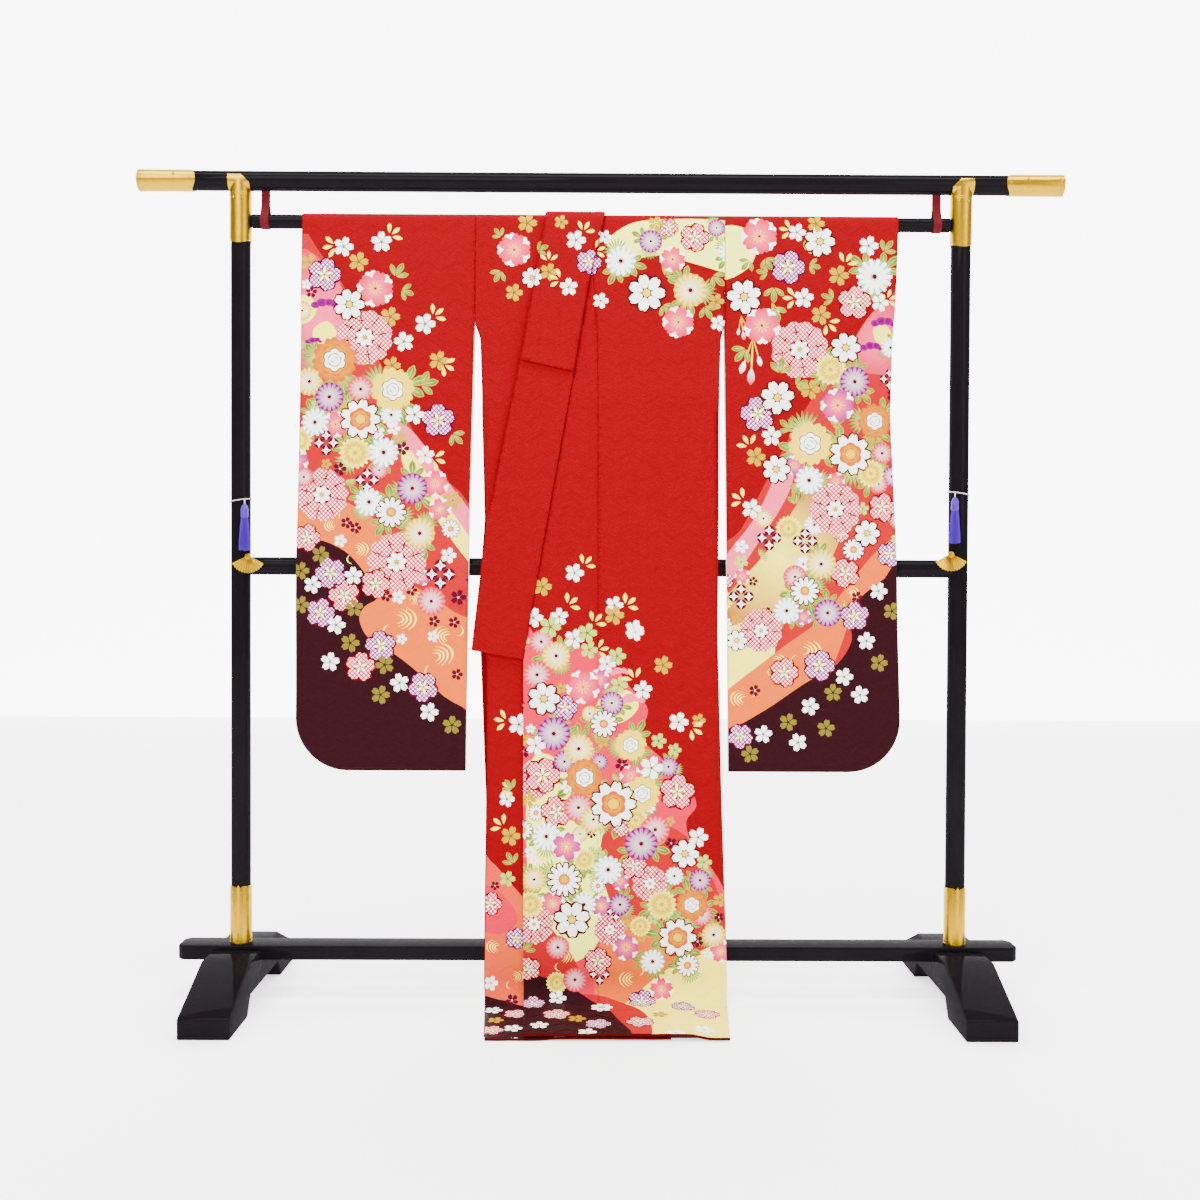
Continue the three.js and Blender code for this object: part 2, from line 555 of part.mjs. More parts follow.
/** Half a hem's roll lies in front of the cloth's edge; drop lets it sag towards the floor. */
function hemRoll({ from, to, level, settle, drop }) {
  const points = Array.from({ length: HEM_STEPS + 1 }, (_, k) => {
    const x = lerp(from, to, k / HEM_STEPS);
    const cloth = FLOOR_Z + level + settle(x, -200);
    return { x, y: HEM_Y - GAP - HEM_ROLL_R, z: Math.max(HEM_ROLL_R, cloth - drop) };
  });
  return rollAlongX(points, HEM_ROLL_R);
}
const HEM_ROLLS = {
  left: { from: -205, to: 131, level: LEVEL.under, settle: settleUnder, drop: 2.2 },
  right: { from: -135.5, to: 237, level: LEVEL.over, settle: settleOver, drop: 0.2 },
};
for (const [word, run] of Object.entries(HEM_ROLLS)) {
  addMesh(`hem_roll_${word}`, hemRoll(run), FINISH.deepRed);
}

// ---------------------------------------------------------------- solids for cutting
function toSolid(geometry) {
  const bare = geometry.clone();
  bare.deleteAttribute('normal');
  bare.deleteAttribute('uv');
  const merged = mergeVertices(bare, 1e-4);
  const index = merged.index.array;
  const vertProperties = new Float32Array(merged.attributes.position.array);
  return new wasm.Manifold(new wasm.Mesh({ numProp: 3, vertProperties, triVerts: new Uint32Array(index) }));
}

function fromSolid(solid) {
  const { vertProperties, triVerts } = solid.getMesh();
  return geometryFrom(Array.from(vertProperties), Array.from(triVerts));
}

const ROUND = 20; // sides of the rack's round pieces

/** A round bar between two places along an axis. */
function bar(axis, radius, from, to, x = 0, z = 0) {
  const geometry = new THREE.CylinderGeometry(radius, radius, to - from, ROUND);
  if (axis === 'x') geometry.rotateZ(-Math.PI / 2).translate((from + to) / 2, 0, z);
  else geometry.rotateX(Math.PI / 2).translate(x, 0, (from + to) / 2);
  return toSolid(geometry);
}

/** An outline drawn in the front view (X, Z) and extruded through the rack from front to back. */
function frontCutter(points) {
  const reach = 2 * POST_R;
  const shape = new THREE.Shape(points.map(([x, z]) => new THREE.Vector2(x, z)));
  const geometry = new THREE.ExtrudeGeometry(shape, { depth: 2 * reach, bevelEnabled: false });
  geometry.rotateX(Math.PI / 2).translate(0, reach, 0);
  return toSolid(geometry);
}

/** Points of an arc in the front view. */
function arcPoints(cx, cz, rx, rz, from, to, steps) {
  return Array.from({ length: steps + 1 }, (_, k) => {
    const angle = THREE.MathUtils.degToRad(lerp(from, to, k / steps));
    return [cx + rx * Math.cos(angle), cz + rz * Math.sin(angle)];
  });
}

// ---------------------------------------------------------------- rack
const seatR = POST_R + GAP;
const goldR = seatR + GOLD_WALL;
const topRailSeat = bar('x', TOP_RAIL_R + GAP, -TOP_RAIL_HALF, TOP_RAIL_HALF, 0, TOP_RAIL_Z);
const railEnd = TOP_RAIL_HALF - GOLD_WALL - GAP;
addMesh('top_rail', fromSolid(bar('x', TOP_RAIL_R, -railEnd, railEnd, 0, TOP_RAIL_Z)), FINISH.lacquer);

function topRailCap(hand) {
  const { length, tongue, half } = TOP_CAP;
  const inner = TOP_RAIL_HALF - length;
  const past = TOP_RAIL_HALF + tongue;
  const sleeveBar = bar('x', TOP_RAIL_R + GAP + GOLD_WALL, inner, TOP_RAIL_HALF, 0, TOP_RAIL_Z);
  const bore = bar('x', TOP_RAIL_R + GAP, inner - tongue, TOP_RAIL_HALF - GOLD_WALL, 0, TOP_RAIL_Z);
  const outline = frontCutter([
    ...arcPoints(inner + tongue, TOP_RAIL_Z, tongue, half, 90, 270, 12),
    [past, TOP_RAIL_Z - half],
    [past, TOP_RAIL_Z + half],
  ]);
  const cap = sleeveBar.subtract(bore).intersect(outline);
  return fromSolid(hand > 0 ? cap : cap.mirror([1, 0, 0]));
}

const postLow = BASE_RAIL.high + GAP;
function post(x) {
  return fromSolid(bar('z', POST_R, postLow, TOP_RAIL_Z, x).subtract(topRailSeat));
}

function topCollar(hand) {
  const x = hand * POST_X;
  const { low, high, tongue, half, slant } = TOP_COLLAR;
  const around = bar('z', goldR, low, TOP_RAIL_Z, x).add(bar('x', goldR, x - half, x + half, 0, TOP_RAIL_Z));
  const cut = around.subtract(bar('z', seatR, low - 5, TOP_RAIL_Z, x)).subtract(topRailSeat);
  const outline = [
    ...arcPoints(x, low + tongue, half, tongue, 180, 360, 12),
    [x + half, high - (hand < 0 ? slant : 0)],
    [x + half - (hand < 0 ? slant : 0), high],
    [x - half + (hand > 0 ? slant : 0), high],
    [x - half, high - (hand > 0 ? slant : 0)],
  ];
  const gap = (k) => Math.hypot(outline[k][0] - outline[k - 1][0], outline[k][1] - outline[k - 1][1]);
  const clean = outline.filter((p, k) => k === 0 || gap(k) > 0.01);
  return fromSolid(cut.intersect(frontCutter(clean)));
}

function bottomCollar(hand) {
  const x = hand * POST_X;
  const { high, cusp, half, lobeX, lobeR } = BOTTOM_COLLAR;
  const around = bar('z', goldR, postLow, high, x).subtract(bar('z', seatR, postLow - 5, high + 5, x));
  const outline = [
    [x - half, postLow - 1],
    [x + half, postLow - 1],
    [x + half, high - cusp * 0.8],
    ...arcPoints(x + lobeX, high - cusp, lobeR, cusp * 0.75, 20, 150, 5),
    [x, high],
    ...arcPoints(x - lobeX, high - cusp, lobeR, cusp * 0.75, 30, 160, 5),
    [x - half, high - cusp * 0.8],
  ];
  return fromSolid(around.intersect(frontCutter(outline)));
}

const midRail = bar('x', MID_RAIL_R, -POST_X, POST_X, 0, MID_RAIL_Z);
const postSeats = [-POST_X, POST_X].map((x) => bar('z', seatR, MID_RAIL_Z - 60, MID_RAIL_Z + 60, x));
addMesh('mid_rail', fromSolid(midRail.subtract(postSeats[0]).subtract(postSeats[1])), FINISH.lacquer);

function baseRail() {
  const { half, depth, low, high, chamfer, bevel } = BASE_RAIL;
  const [x, y] = [half - bevel, depth / 2 - bevel];
  const outline = [[-x + chamfer, -y], [x - chamfer, -y], [x, -y + chamfer], [x, y - chamfer],
    [x - chamfer, y], [-x + chamfer, y],
    [-x, y - chamfer], [-x, -y + chamfer]];
  const shape = new THREE.Shape(outline.map(([px, py]) => new THREE.Vector2(px, py)));
  const options = { depth: high - low - 2 * bevel, bevelThickness: bevel, bevelSize: bevel,
    bevelSegments: 1 };
  const geometry = new THREE.ExtrudeGeometry(shape, options);
  return geometry.translate(0, 0, low + bevel);
}
addMesh('base_rail', baseRail(), FINISH.lacquer);

function foot(x) {
  const { width, half, toe, top, flatHalf, archFoot, archTop, archZ, bevel } = FOOT;
  const side = [[half, 0], [half, toe], [flatHalf, top], [-flatHalf, top], [-half, toe], [-half, 0],
    [-archFoot, 0],
    [-archTop, archZ], [archTop, archZ], [archFoot, 0]];
  const shape = new THREE.Shape(side.map(([y, z]) => new THREE.Vector2(y, z)));
  const options = { depth: width - 2 * bevel, bevelThickness: bevel, bevelSize: bevel, bevelOffset: -bevel,
    bevelSegments: 2 };
  const geometry = new THREE.ExtrudeGeometry(shape, options);
  geometry.translate(0, 0, -width / 2 + bevel).rotateX(Math.PI / 2).rotateZ(Math.PI / 2).translate(x, 0, 0);
  const notch = new THREE.BoxGeometry(width + 20, BASE_RAIL.depth + 2 * GAP, 60);
  notch.translate(x, 0, BASE_RAIL.low - GAP + 30);
  return fromSolid(toSolid(geometry).subtract(toSolid(notch)));
}

function hangingRod() {
  const { radius, half, z } = ROD;
  const round = 4;
  const profile = [[0, -half], [radius - round, -half], [radius, -half + round], [radius, half - round],
    [radius - round, half], [0, half]];
  const geometry = new THREE.LatheGeometry(profile.map(([r, x]) => new THREE.Vector2(r, x)), ROUND);
  return geometry.rotateZ(-Math.PI / 2).translate(0, 0, z);
}
addMesh('hanging_rod', hangingRod(), FINISH.lacquer);

/** A strap that loops round the rod and meets the underside of the top rail. */
function strap(x) {
  const inner = ROD.radius + GAP;
  const outer = inner + STRAP.thick;
  const top = TOP_RAIL_Z - TOP_RAIL_R - GAP;
  const loop = (r, high, neck) => [[-neck, high], [-neck, ROD.z + r * 2.2],
    ...arcPoints(0, ROD.z, r, r, 155, 385, 18),
    [neck, ROD.z + r * 2.2], [neck, high]]; // an open loop whose two runs meet above the rod
  const shape = new THREE.Shape(loop(outer, top, STRAP.neck).map(([y, z]) => new THREE.Vector2(y, z)));
  const hole = loop(inner, top - STRAP.thick, STRAP.slit).map(([y, z]) => new THREE.Vector2(y, z));
  shape.holes.push(new THREE.Path(hole));
  const geometry = new THREE.ExtrudeGeometry(shape, { depth: STRAP.width, bevelEnabled: false });
  geometry.translate(0, 0, -STRAP.width / 2).rotateX(Math.PI / 2).rotateZ(Math.PI / 2);
  return geometry.translate(x, 0, 0);
}

/** A small gilt fan with pleated leaves, pinned where the post and the middle rail meet. */
function fan(hand, pivotZ) {
  const { x, radius, spread, ribs, thick, pleat, knobR } = FAN;
  const back = -POST_R - GAP;
  const columns = ribs * 2;
  const rings = [0.16, 0.6, 1];
  const positions = [];
  const triangles = [];
  const place = (k, r, isFront) => {
    const angle = lerp(-spread, spread, k / columns);
    const ridge = k % 2 === 0 ? 0 : pleat;
    const scallop = r === 1 ? 1 - 0.05 * ((k + 1) % 2) : r;
    const y = isFront ? back - thick + ridge : back;
    return [hand * x + radius * scallop * Math.sin(angle), y, pivotZ - radius * scallop * Math.cos(angle)];
  };
  for (const isFront of [true, false]) {
    for (let k = 0; k <= columns; k += 1) for (const r of rings) positions.push(...place(k, r, isFront));
  }
  const count = rings.length;
  const id = (k, ring, isFront) => (isFront ? 0 : (columns + 1) * count) + k * count + ring;
  for (let k = 0; k < columns; k += 1) {
    for (let ring = 0; ring < count - 1; ring += 1) {
      const f = [id(k, ring, true), id(k + 1, ring, true), id(k + 1, ring + 1, true), id(k, ring + 1, true)];
      const b = f.map((n) => n + (columns + 1) * count);
      triangles.push(f[0], f[2], f[1], f[0], f[3], f[2], b[0], b[1], b[2], b[0], b[2], b[3]);
      if (k === 0) triangles.push(f[0], b[0], b[3], f[0], b[3], f[3]);
      if (k === columns - 1) triangles.push(f[1], f[2], b[2], f[1], b[2], b[1]);
      if (ring === 0) triangles.push(f[0], f[1], b[1], f[0], b[1], b[0]);
      if (ring === count - 2) triangles.push(f[3], b[3], b[2], f[3], b[2], f[2]);
    }
  }
  const leaf = toSolid(geometryFrom(positions, triangles));
  const proud = thick + 1.4;
  const knob = new THREE.CylinderGeometry(knobR - 0.8, knobR, proud, 14);
  knob.translate(hand * x, back - proud / 2, pivotZ - 2);
  return fromSolid(leaf.add(toSolid(knob)));
}

/** A tassel: a bound head, and strands that stand apart below it. */
function tassel(hand, top) {
  const { x, y, length, headR, skirtR, strands, inner, root } = TASSEL;
  const profile = [[0, 0], [2.6, -0.4], [headR * 0.8, -5], [headR, -11], [headR * 0.86, -17],
    [headR * 0.98, -20], [headR * 1.02, -25],
    [0, -27]];
  const head = new THREE.LatheGeometry(profile.reverse().map(([r, z]) => new THREE.Vector2(r, z)), 12);
  head.rotateX(Math.PI / 2).translate(hand * x, y, top);
  let whole = toSolid(head);
  for (let k = 0; k < strands; k += 1) {
    const isInner = k >= strands - inner;
    const ring = isInner ? k - (strands - inner) : k;
    const angle = (ring / (isInner ? inner : strands - inner)) * 2 * Math.PI + (isInner ? 0.4 : 0);
    const [rootR, tipR] = isInner ? [headR * 0.3, skirtR * 0.38] : [headR * 0.7, skirtR - 2.3];
    const long = length - root - (k % 3) * 2;
    const strand = new THREE.CylinderGeometry(isInner ? 1.6 : 1.9, isInner ? 1.6 : 2.1, long, 4);
    const from = new THREE.Vector3(rootR * Math.cos(angle), rootR * Math.sin(angle), -root);
    const to = new THREE.Vector3(tipR * Math.cos(angle), tipR * Math.sin(angle), -root - long);
    const turn = new THREE.Quaternion().setFromUnitVectors(new THREE.Vector3(0, 1, 0),
      from.clone().sub(to).normalize());
    strand.applyQuaternion(turn).translate((from.x + to.x) / 2, (from.y + to.y) / 2, (from.z + to.z) / 2);
    strand.translate(hand * x, y, top);
    whole = whole.add(toSolid(strand));
  }
  return fromSolid(whole);
}

/** The cord that holds a tassel: wound round the post, with a short drop to the tassel's head. */
function tasselCord(hand, top) {
  const { cordR: thick, cordDrop } = TASSEL;
  const z = top + cordDrop;
  const ring = new THREE.TorusGeometry(POST_R + GAP + thick + 0.2, thick, 6, ROUND);
  ring.scale(1.02, 1, 1).rotateY(hand * 0.16).translate(hand * POST_X, 0, z);
  const route = new THREE.CatmullRomCurve3([
    new THREE.Vector3(hand * (POST_X - 9), -18.6, z + 1.4),
    new THREE.Vector3(hand * (POST_X - 12), -24, z + 1.5),
    new THREE.Vector3(hand * (TASSEL.x + 0.5), -31, z - 1),
    new THREE.Vector3(hand * TASSEL.x, TASSEL.y, top + GAP + 0.2),
  ]);
  const places = arcPoints(0, 0, thick, thick, 0, 300, 5).map(([a, b]) => new THREE.Vector2(a, b));
  const section = new THREE.Shape(places);
  const drop = new THREE.ExtrudeGeometry(section, { steps: 8, extrudePath: route });
  return fromSolid(toSolid(ring).add(toSolid(drop)));
}

for (const [word, hand] of [['left', -1], ['right', 1]]) {
  addMesh(`top_cap_${word}`, topRailCap(hand), FINISH.gold);
  addMesh(`post_${word}`, post(hand * POST_X), FINISH.lacquer);
  addMesh(`top_collar_${word}`, topCollar(hand), FINISH.gold);
  addMesh(`bottom_collar_${word}`, bottomCollar(hand), FINISH.gold);
  addMesh(`foot_${word}`, foot(hand * POST_X), FINISH.lacquer);
  addMesh(`strap_${word}`, strap(hand * STRAP.x), FINISH.strap);
  addMesh(`fan_${word}`, fan(hand, FAN_PIVOT_Z[word]), FINISH.gold);
  addMesh(`tassel_${word}`, tassel(hand, TASSEL_Z[word]), FINISH.violet);
  addMesh(`tassel_cord_${word}`, tasselCord(hand, TASSEL_Z[word]), FINISH.silver);
}

export default kimonoOnRack;
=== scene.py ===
"""Looks of a furisode kimono that hangs on a black lacquered kimono rack.

The cloth follows the same tables as the part's solids, in millimetres: x runs to the viewer's right and v
runs up the cloth, so that v is the real height while it hangs and falls below zero on the floor.
Blender works in metres, so finished points are scaled by MM.
"""
import json
import logging
import math
import random
from collections.abc import Callable, Sequence
from dataclasses import dataclass, field, replace
from enum import Enum

import bpy
import numpy as np
from mathutils import Matrix, Vector
from mathutils.geometry import delaunay_2d_cdt

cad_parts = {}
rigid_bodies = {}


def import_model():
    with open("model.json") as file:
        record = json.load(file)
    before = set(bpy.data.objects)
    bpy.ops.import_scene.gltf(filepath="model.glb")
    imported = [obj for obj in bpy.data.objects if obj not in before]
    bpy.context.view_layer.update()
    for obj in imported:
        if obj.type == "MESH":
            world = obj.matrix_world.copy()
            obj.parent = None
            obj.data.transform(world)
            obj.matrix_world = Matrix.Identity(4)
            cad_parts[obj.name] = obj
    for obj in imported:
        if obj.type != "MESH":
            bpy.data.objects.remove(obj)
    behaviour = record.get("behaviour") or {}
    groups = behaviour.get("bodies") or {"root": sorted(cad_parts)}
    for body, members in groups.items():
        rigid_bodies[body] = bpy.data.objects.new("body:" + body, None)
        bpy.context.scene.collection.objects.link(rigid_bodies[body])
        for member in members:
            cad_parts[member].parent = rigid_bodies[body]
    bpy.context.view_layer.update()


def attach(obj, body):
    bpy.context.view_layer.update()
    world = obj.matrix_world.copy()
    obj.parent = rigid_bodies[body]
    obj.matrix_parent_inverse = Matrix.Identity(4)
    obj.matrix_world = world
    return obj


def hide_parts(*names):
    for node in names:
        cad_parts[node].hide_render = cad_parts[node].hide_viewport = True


log = logging.getLogger("kimono")

MM = 0.001
GAP = 0.3
Points = np.ndarray
Colour = tuple[float, float, float]
Place = Sequence[float]
Outline = Sequence[tuple[float, float]]
Piece = bpy.types.Object

# ---------------------------------------------------------------- sizes shared with the solids
ROD_Z, ROD_R, ROD_HALF = 1530.0, 13.5, 688.0
WALL = 1.5
COLLAR_WALL = 2.5
CLOTH_R = 15.15
COLLAR_R = 19.5
TOP_V = ROD_Z + CLOTH_R * math.pi / 2
LAYER = 2.4
FLOOR_Z, BEND_R = 0.8, 45.0
HEM_Y, BACK_HEM_STEP, HEM_ROLL_R = -244.7, 14.0, 2.5
NECK_V = 1497.0
COLLAR_LOW_V = 672.0
SIDE_OPEN_V = 1200.0
RAIL_V = 853.0
PLEAT_HALF, PLEAT_BLEND = 36.5, 24.0
SLEEVE_WIDTH, SLEEVE_LENGTH, SLEEVE_CORNER = 340.0, 1100.0, 105.0
SLEEVE_CUFF, SLEEVE_FOLD, SLEEVE_EASE = 230.0, 1.5, 60.0
OVERLAP_TOP = 1424.0


class Side(Enum):
    """The side of the cloth that a place is on, as the factor from its column to +Y."""

    FRONT = -1
    BACK = 1


class Hand(Enum):
    """Left or right as the viewer sees them, as the factor on X."""

    LEFT = -1
    RIGHT = 1

    @property
    def word(self) -> str:
        """The word that ends a node's name."""
        return self.name.lower()


def smooth(t: Points) -> Points:
    """Eases from 0 to 1 and stays there.

    Args:
        t: Values, of which only those from 0 to 1 change the result.

    Returns:
        The eased values.
    """
    t = np.clip(t, 0.0, 1.0)
    return t * t * (3 - 2 * t)


def rows(*pairs: tuple[float, float]) -> Callable[[Points], Points]:
    """Makes a reader of a short table.

    Args:
        pairs: (v, value) pairs with falling v.

    Returns:
        A function that gives the value at each v.
    """
    table = np.array(sorted(pairs), float)
    return lambda v: np.interp(v, table[:, 0], table[:, 1])


HANG = {
    "back": rows((1530, CLOTH_R), (860, -23.9), (110, -35.7)),
    "under": rows((1530, -CLOTH_R), (1490, -15.8), (860, -31), (110, -42.5)),
    "over": rows((1530, -CLOTH_R), (1490, -18.6), (860, -36), (110, -46.3)),
    "collar": rows((1530, -COLLAR_R), (1490, -21.8), (1400, -23.8), (860, -37.5), (640, -40.6)),
    "collar_back": rows((1530, COLLAR_R), (1400, 19.4)),
    "sleeve_front": rows((1530, -CLOTH_R), (860, -33.5), (440, -37)),
    "sleeve_back": rows((1530, CLOTH_R), (860, -21.5), (440, -24)),
}

EDGE = {
    "left_outer": rows((1553, -246.5), (1330, -247.5), (1300, -236), (1216, -233), (946, -223), (788, -236),
                       (671, -221), (398, -219), (45, -222), (-175, -205)),
    "left_inner": rows((1530, -15), (1440, 7), (1300, 5), (-175, 9)),
    "left_back": rows((1553, -246.5), (1330, -247.5), (1300, -237), (946, -226), (788, -237), (398, -221),
                      (45, -224), (-175, -208)),
    "right_outer": rows((1553, 241.5), (1330, 241.5), (1300, 234.5), (1218, 232), (712, 231), (399, 240),
                        (45, 253), (-175, 237)),
    "right_inner": rows((1553, 8), (1530, 5), (1440, -17), (1300, -7), (1174, -5), (594, -3), (45, -1),
                        (-175, 9)),
    "collar_seam": rows((1565, 8), (1530, 5), (1440, -17), (1408, -24), (1235, -52), (879, -114),
                        (672, -149)),
    "collar_free": rows((1565, -109), (1530, -110), (1257, -157), (979, -211), (946, -221), (690, -250)),
    "overlap_front": rows((672, -149), (398, -148), (45, -146), (-175, -136)),
    "under_seam": rows((1440, 7), (1235, 42), (879, 104), (672, 139)),
    "under_front": rows((672, 139), (-175, 132)),
    "sleeve_left_outer": rows((1553, -585), (1157, -590), (786, -594), (446, -594)),
    "sleeve_left_inner": rows((1553, -246.8), (1330, -247.8), (983, -255), (446, -261)),
    "sleeve_right_outer": rows((1553, 583), (1157, 570), (987, 577), (446, 592)),
    "sleeve_right_inner": rows((1553, 241.8), (1330, 241.8), (986, 246), (446, 253)),
}


@dataclass(frozen=True)
class Fold:
    """A soft ridge (positive depth) or trough that runs down the cloth.

    Attributes:
        x: Where it runs.
        depth: How far it comes forward.
        spread: Half its width.
        top: Height at which it has faded out.
        bottom: Height at which it ends.
        lean: How far it moves sideways for each millimetre down.
    """

    x: float
    depth: float
    spread: float
    top: float
    bottom: float
    lean: float = 0.0

    def at(self, x: Points, v: Points) -> Points:
        """How far the fold brings the cloth forward at places x, v.

        Args:
            x: Places across.
            v: Places up the cloth.

        Returns:
            The result for each.
        """
        along = smooth((self.top - v) / 200) * smooth((v - self.bottom) / 160)
        by_rail = 1 - np.exp(-(((v - RAIL_V) / 130) ** 2)) if self.depth < 0 else 1.0
        centre = self.x + self.lean * (self.top - v)
        return self.depth * along * by_rail * np.exp(-(((x - centre) / self.spread) ** 2))


BODY_FOLDS = (
    Fold(-5, -3.2, 17, 1420, 760), Fold(-4, -2.8, 15, 860, 120), Fold(38, 2.6, 26, 1300, 260),
    Fold(128, -3, 40, 1120, 60), Fold(196, 2.4, 22, 900, 60), Fold(-196, 2.6, 24, 1240, 420),
)
# Fine creases that all the body's layers share, so that none meets another.
BODY_CREASES = (
    Fold(64, 0.9, 9, 1500, 1180, 0.06), Fold(152, -0.8, 11, 1480, 1210, -0.05),
    Fold(97, 0.7, 7, 1160, 760, 0.03), Fold(-62, 0.8, 10, 760, 240, -0.04),
    Fold(-110, -0.7, 12, 640, 200, 0.03), Fold(172, 0.8, 9, 720, 330, 0.04),
    Fold(14, 0.7, 8, 620, 260, 0.02), Fold(-96, 0.9, 9, 1380, 1100, -0.12),
    Fold(206, -0.7, 8, 1380, 1020, 0.01),
)
SLEEVE_FOLDS = {
    Hand.LEFT: (
        Fold(-300, 4.5, 34, 1340, 470), Fold(-392, -5.5, 42, 1250, 520), Fold(-505, 4, 38, 1420, 560),
        Fold(-575, -6, 30, 1330, 470), Fold(-448, 1.6, 12, 1500, 1180, 0.03),
        Fold(-342, 1.3, 9, 1180, 800, -0.03),
        Fold(-540, 1.4, 11, 1120, 640, 0.02), Fold(-270, 1.2, 8, 980, 560, 0.01),
        Fold(-430, -1.3, 10, 900, 540),
    ),
    Hand.RIGHT: (
        Fold(292, 4, 30, 1360, 480), Fold(372, -5, 46, 1290, 470), Fold(478, 5, 36, 1400, 640),
        Fold(566, -9, 34, 1460, 620), Fold(424, 1.5, 11, 1490, 1230, -0.03),
        Fold(330, 1.3, 9, 1140, 760, 0.04),
        Fold(520, 1.3, 10, 1080, 700, -0.02), Fold(274, 1.2, 8, 1240, 900, 0.01),
        Fold(440, -1.3, 12, 860, 540),
    ),
}
SHARE = {"over": 1.0, "under": 0.6, "back": 0.35}


def fold_depth(folds: Sequence[Fold], x: Points, v: Points) -> Points:
    """Sum of the folds at places x, v."""
    return sum((fold.at(x, v) for fold in folds), np.zeros(np.broadcast(x, v).shape))


def body_folds(x: Points, v: Points, share: float) -> Points:
    """Folds of a body layer: its share of the large ones, and the fine ones that all layers have."""
    away = smooth((225 - np.abs(x)) / 30)
    return fold_depth(BODY_FOLDS, x, v) * share + fold_depth(BODY_CREASES, x, v) * away


def grounded(v: Points) -> Points:
    """0 while the cloth hangs and 1 once it lies on the floor."""
    return smooth((170 - v) / 130)


def settle_under(x: Points, v: Points) -> Points:
    """The under front settles where the over front doesn't cross it."""
    return -4.4 * grounded(v) * smooth((-70 - x) / 60)


def settle_over(x: Points, v: Points) -> Points:
    """The over front settles where the under front has ended."""
    return -6.6 * grounded(v) * smooth((x - 160) / 45)


@dataclass(frozen=True)
class Layer:
    """A front's place among the layers of the body.

    Attributes:
        hang: Name of its table of how far it hangs from the posts' plane.
        level: Its height on the floor above the lowest layer.
        settle: How it settles on the floor.
    """

    hang: str
    level: float
    settle: Callable[[Points, Points], Points]


LAYERS = {Hand.LEFT: Layer("under", 6.8, settle_under), Hand.RIGHT: Layer("over", 10.6, settle_over)}


def tuck_step(v: Points) -> Points:
    """The horizontal tuck across the body: a small step forward just above it."""
    return 1.3 * smooth((v - 1160) / 14) * smooth((1235 - v) / 40)


def drape(x: Points, v: Points, hang: str, side: Side = Side.FRONT, radius: float = CLOTH_R,
          level: float = 0.0, offset: Points | float = 0.0) -> Points:
    """Middle of a layer of cloth over the rod, hanging, round its bend and along the floor.

    Args:
        x: Places across.
        v: Places up the cloth.
        hang: Name of the table of how far it hangs from the posts' plane.
        side: The side of the rod.
        radius: Radius of its middle over the rod.
        level: Height on the floor above the lowest layer.
        offset: Shift towards the front, or up where it lies on the floor.

    Returns:
        Points in millimetres, one row each.
    """
    x, v, offset = np.broadcast_arrays(np.asarray(x, float), np.asarray(v, float), np.asarray(offset, float))
    read = HANG[hang]
    start = FLOOR_Z + BEND_R
    bend = BEND_R - level
    low = float(read(110.0))
    over = math.pi / 2 - (v - ROD_Z) / radius
    reach = radius - side.value * offset
    turn = (start - v) / bend
    inner = bend - offset
    run = start - v - bend * math.pi / 2
    conditions = [v > ROD_Z, v >= start, turn < math.pi / 2]
    y = np.select(conditions, [side.value * reach * np.sin(over), read(v) - offset,
                               low - bend + inner * np.cos(turn)], low - bend - run)
    z = np.select(conditions, [ROD_Z + reach * np.cos(over), v, start - inner * np.sin(turn)],
                  FLOOR_Z + level + offset)
    return np.stack([x, y, z], -1)


def floor_v(hang: str, level: float, y: float) -> float:
    """Height v of the place on a layer that reaches y on the floor."""
    bend = BEND_R - level
    return FLOOR_Z + BEND_R - bend * math.pi / 2 - (float(HANG[hang](110.0)) - bend - y)


def side_close(distance: Points, v: Points, hang: str) -> Points:
    """Shift of a front or back towards the other where the side seam is sewn.

    Args:
        distance: Distance from the seam.
        v: Places up the cloth.
        hang: Name of the table of how far it hangs.

    Returns:
        The shift.
    """
    half = (HANG["back"](v) - HANG[hang](v)) / 2
    sewn = smooth((SIDE_OPEN_V - v) / 60) * (1 - grounded(v))
    t = np.clip(distance / 16, 0, 1)
    return (half - 1.25) * (1 - np.sqrt(np.clip(1 - (1 - t) ** 2, 0, 1))) * sewn


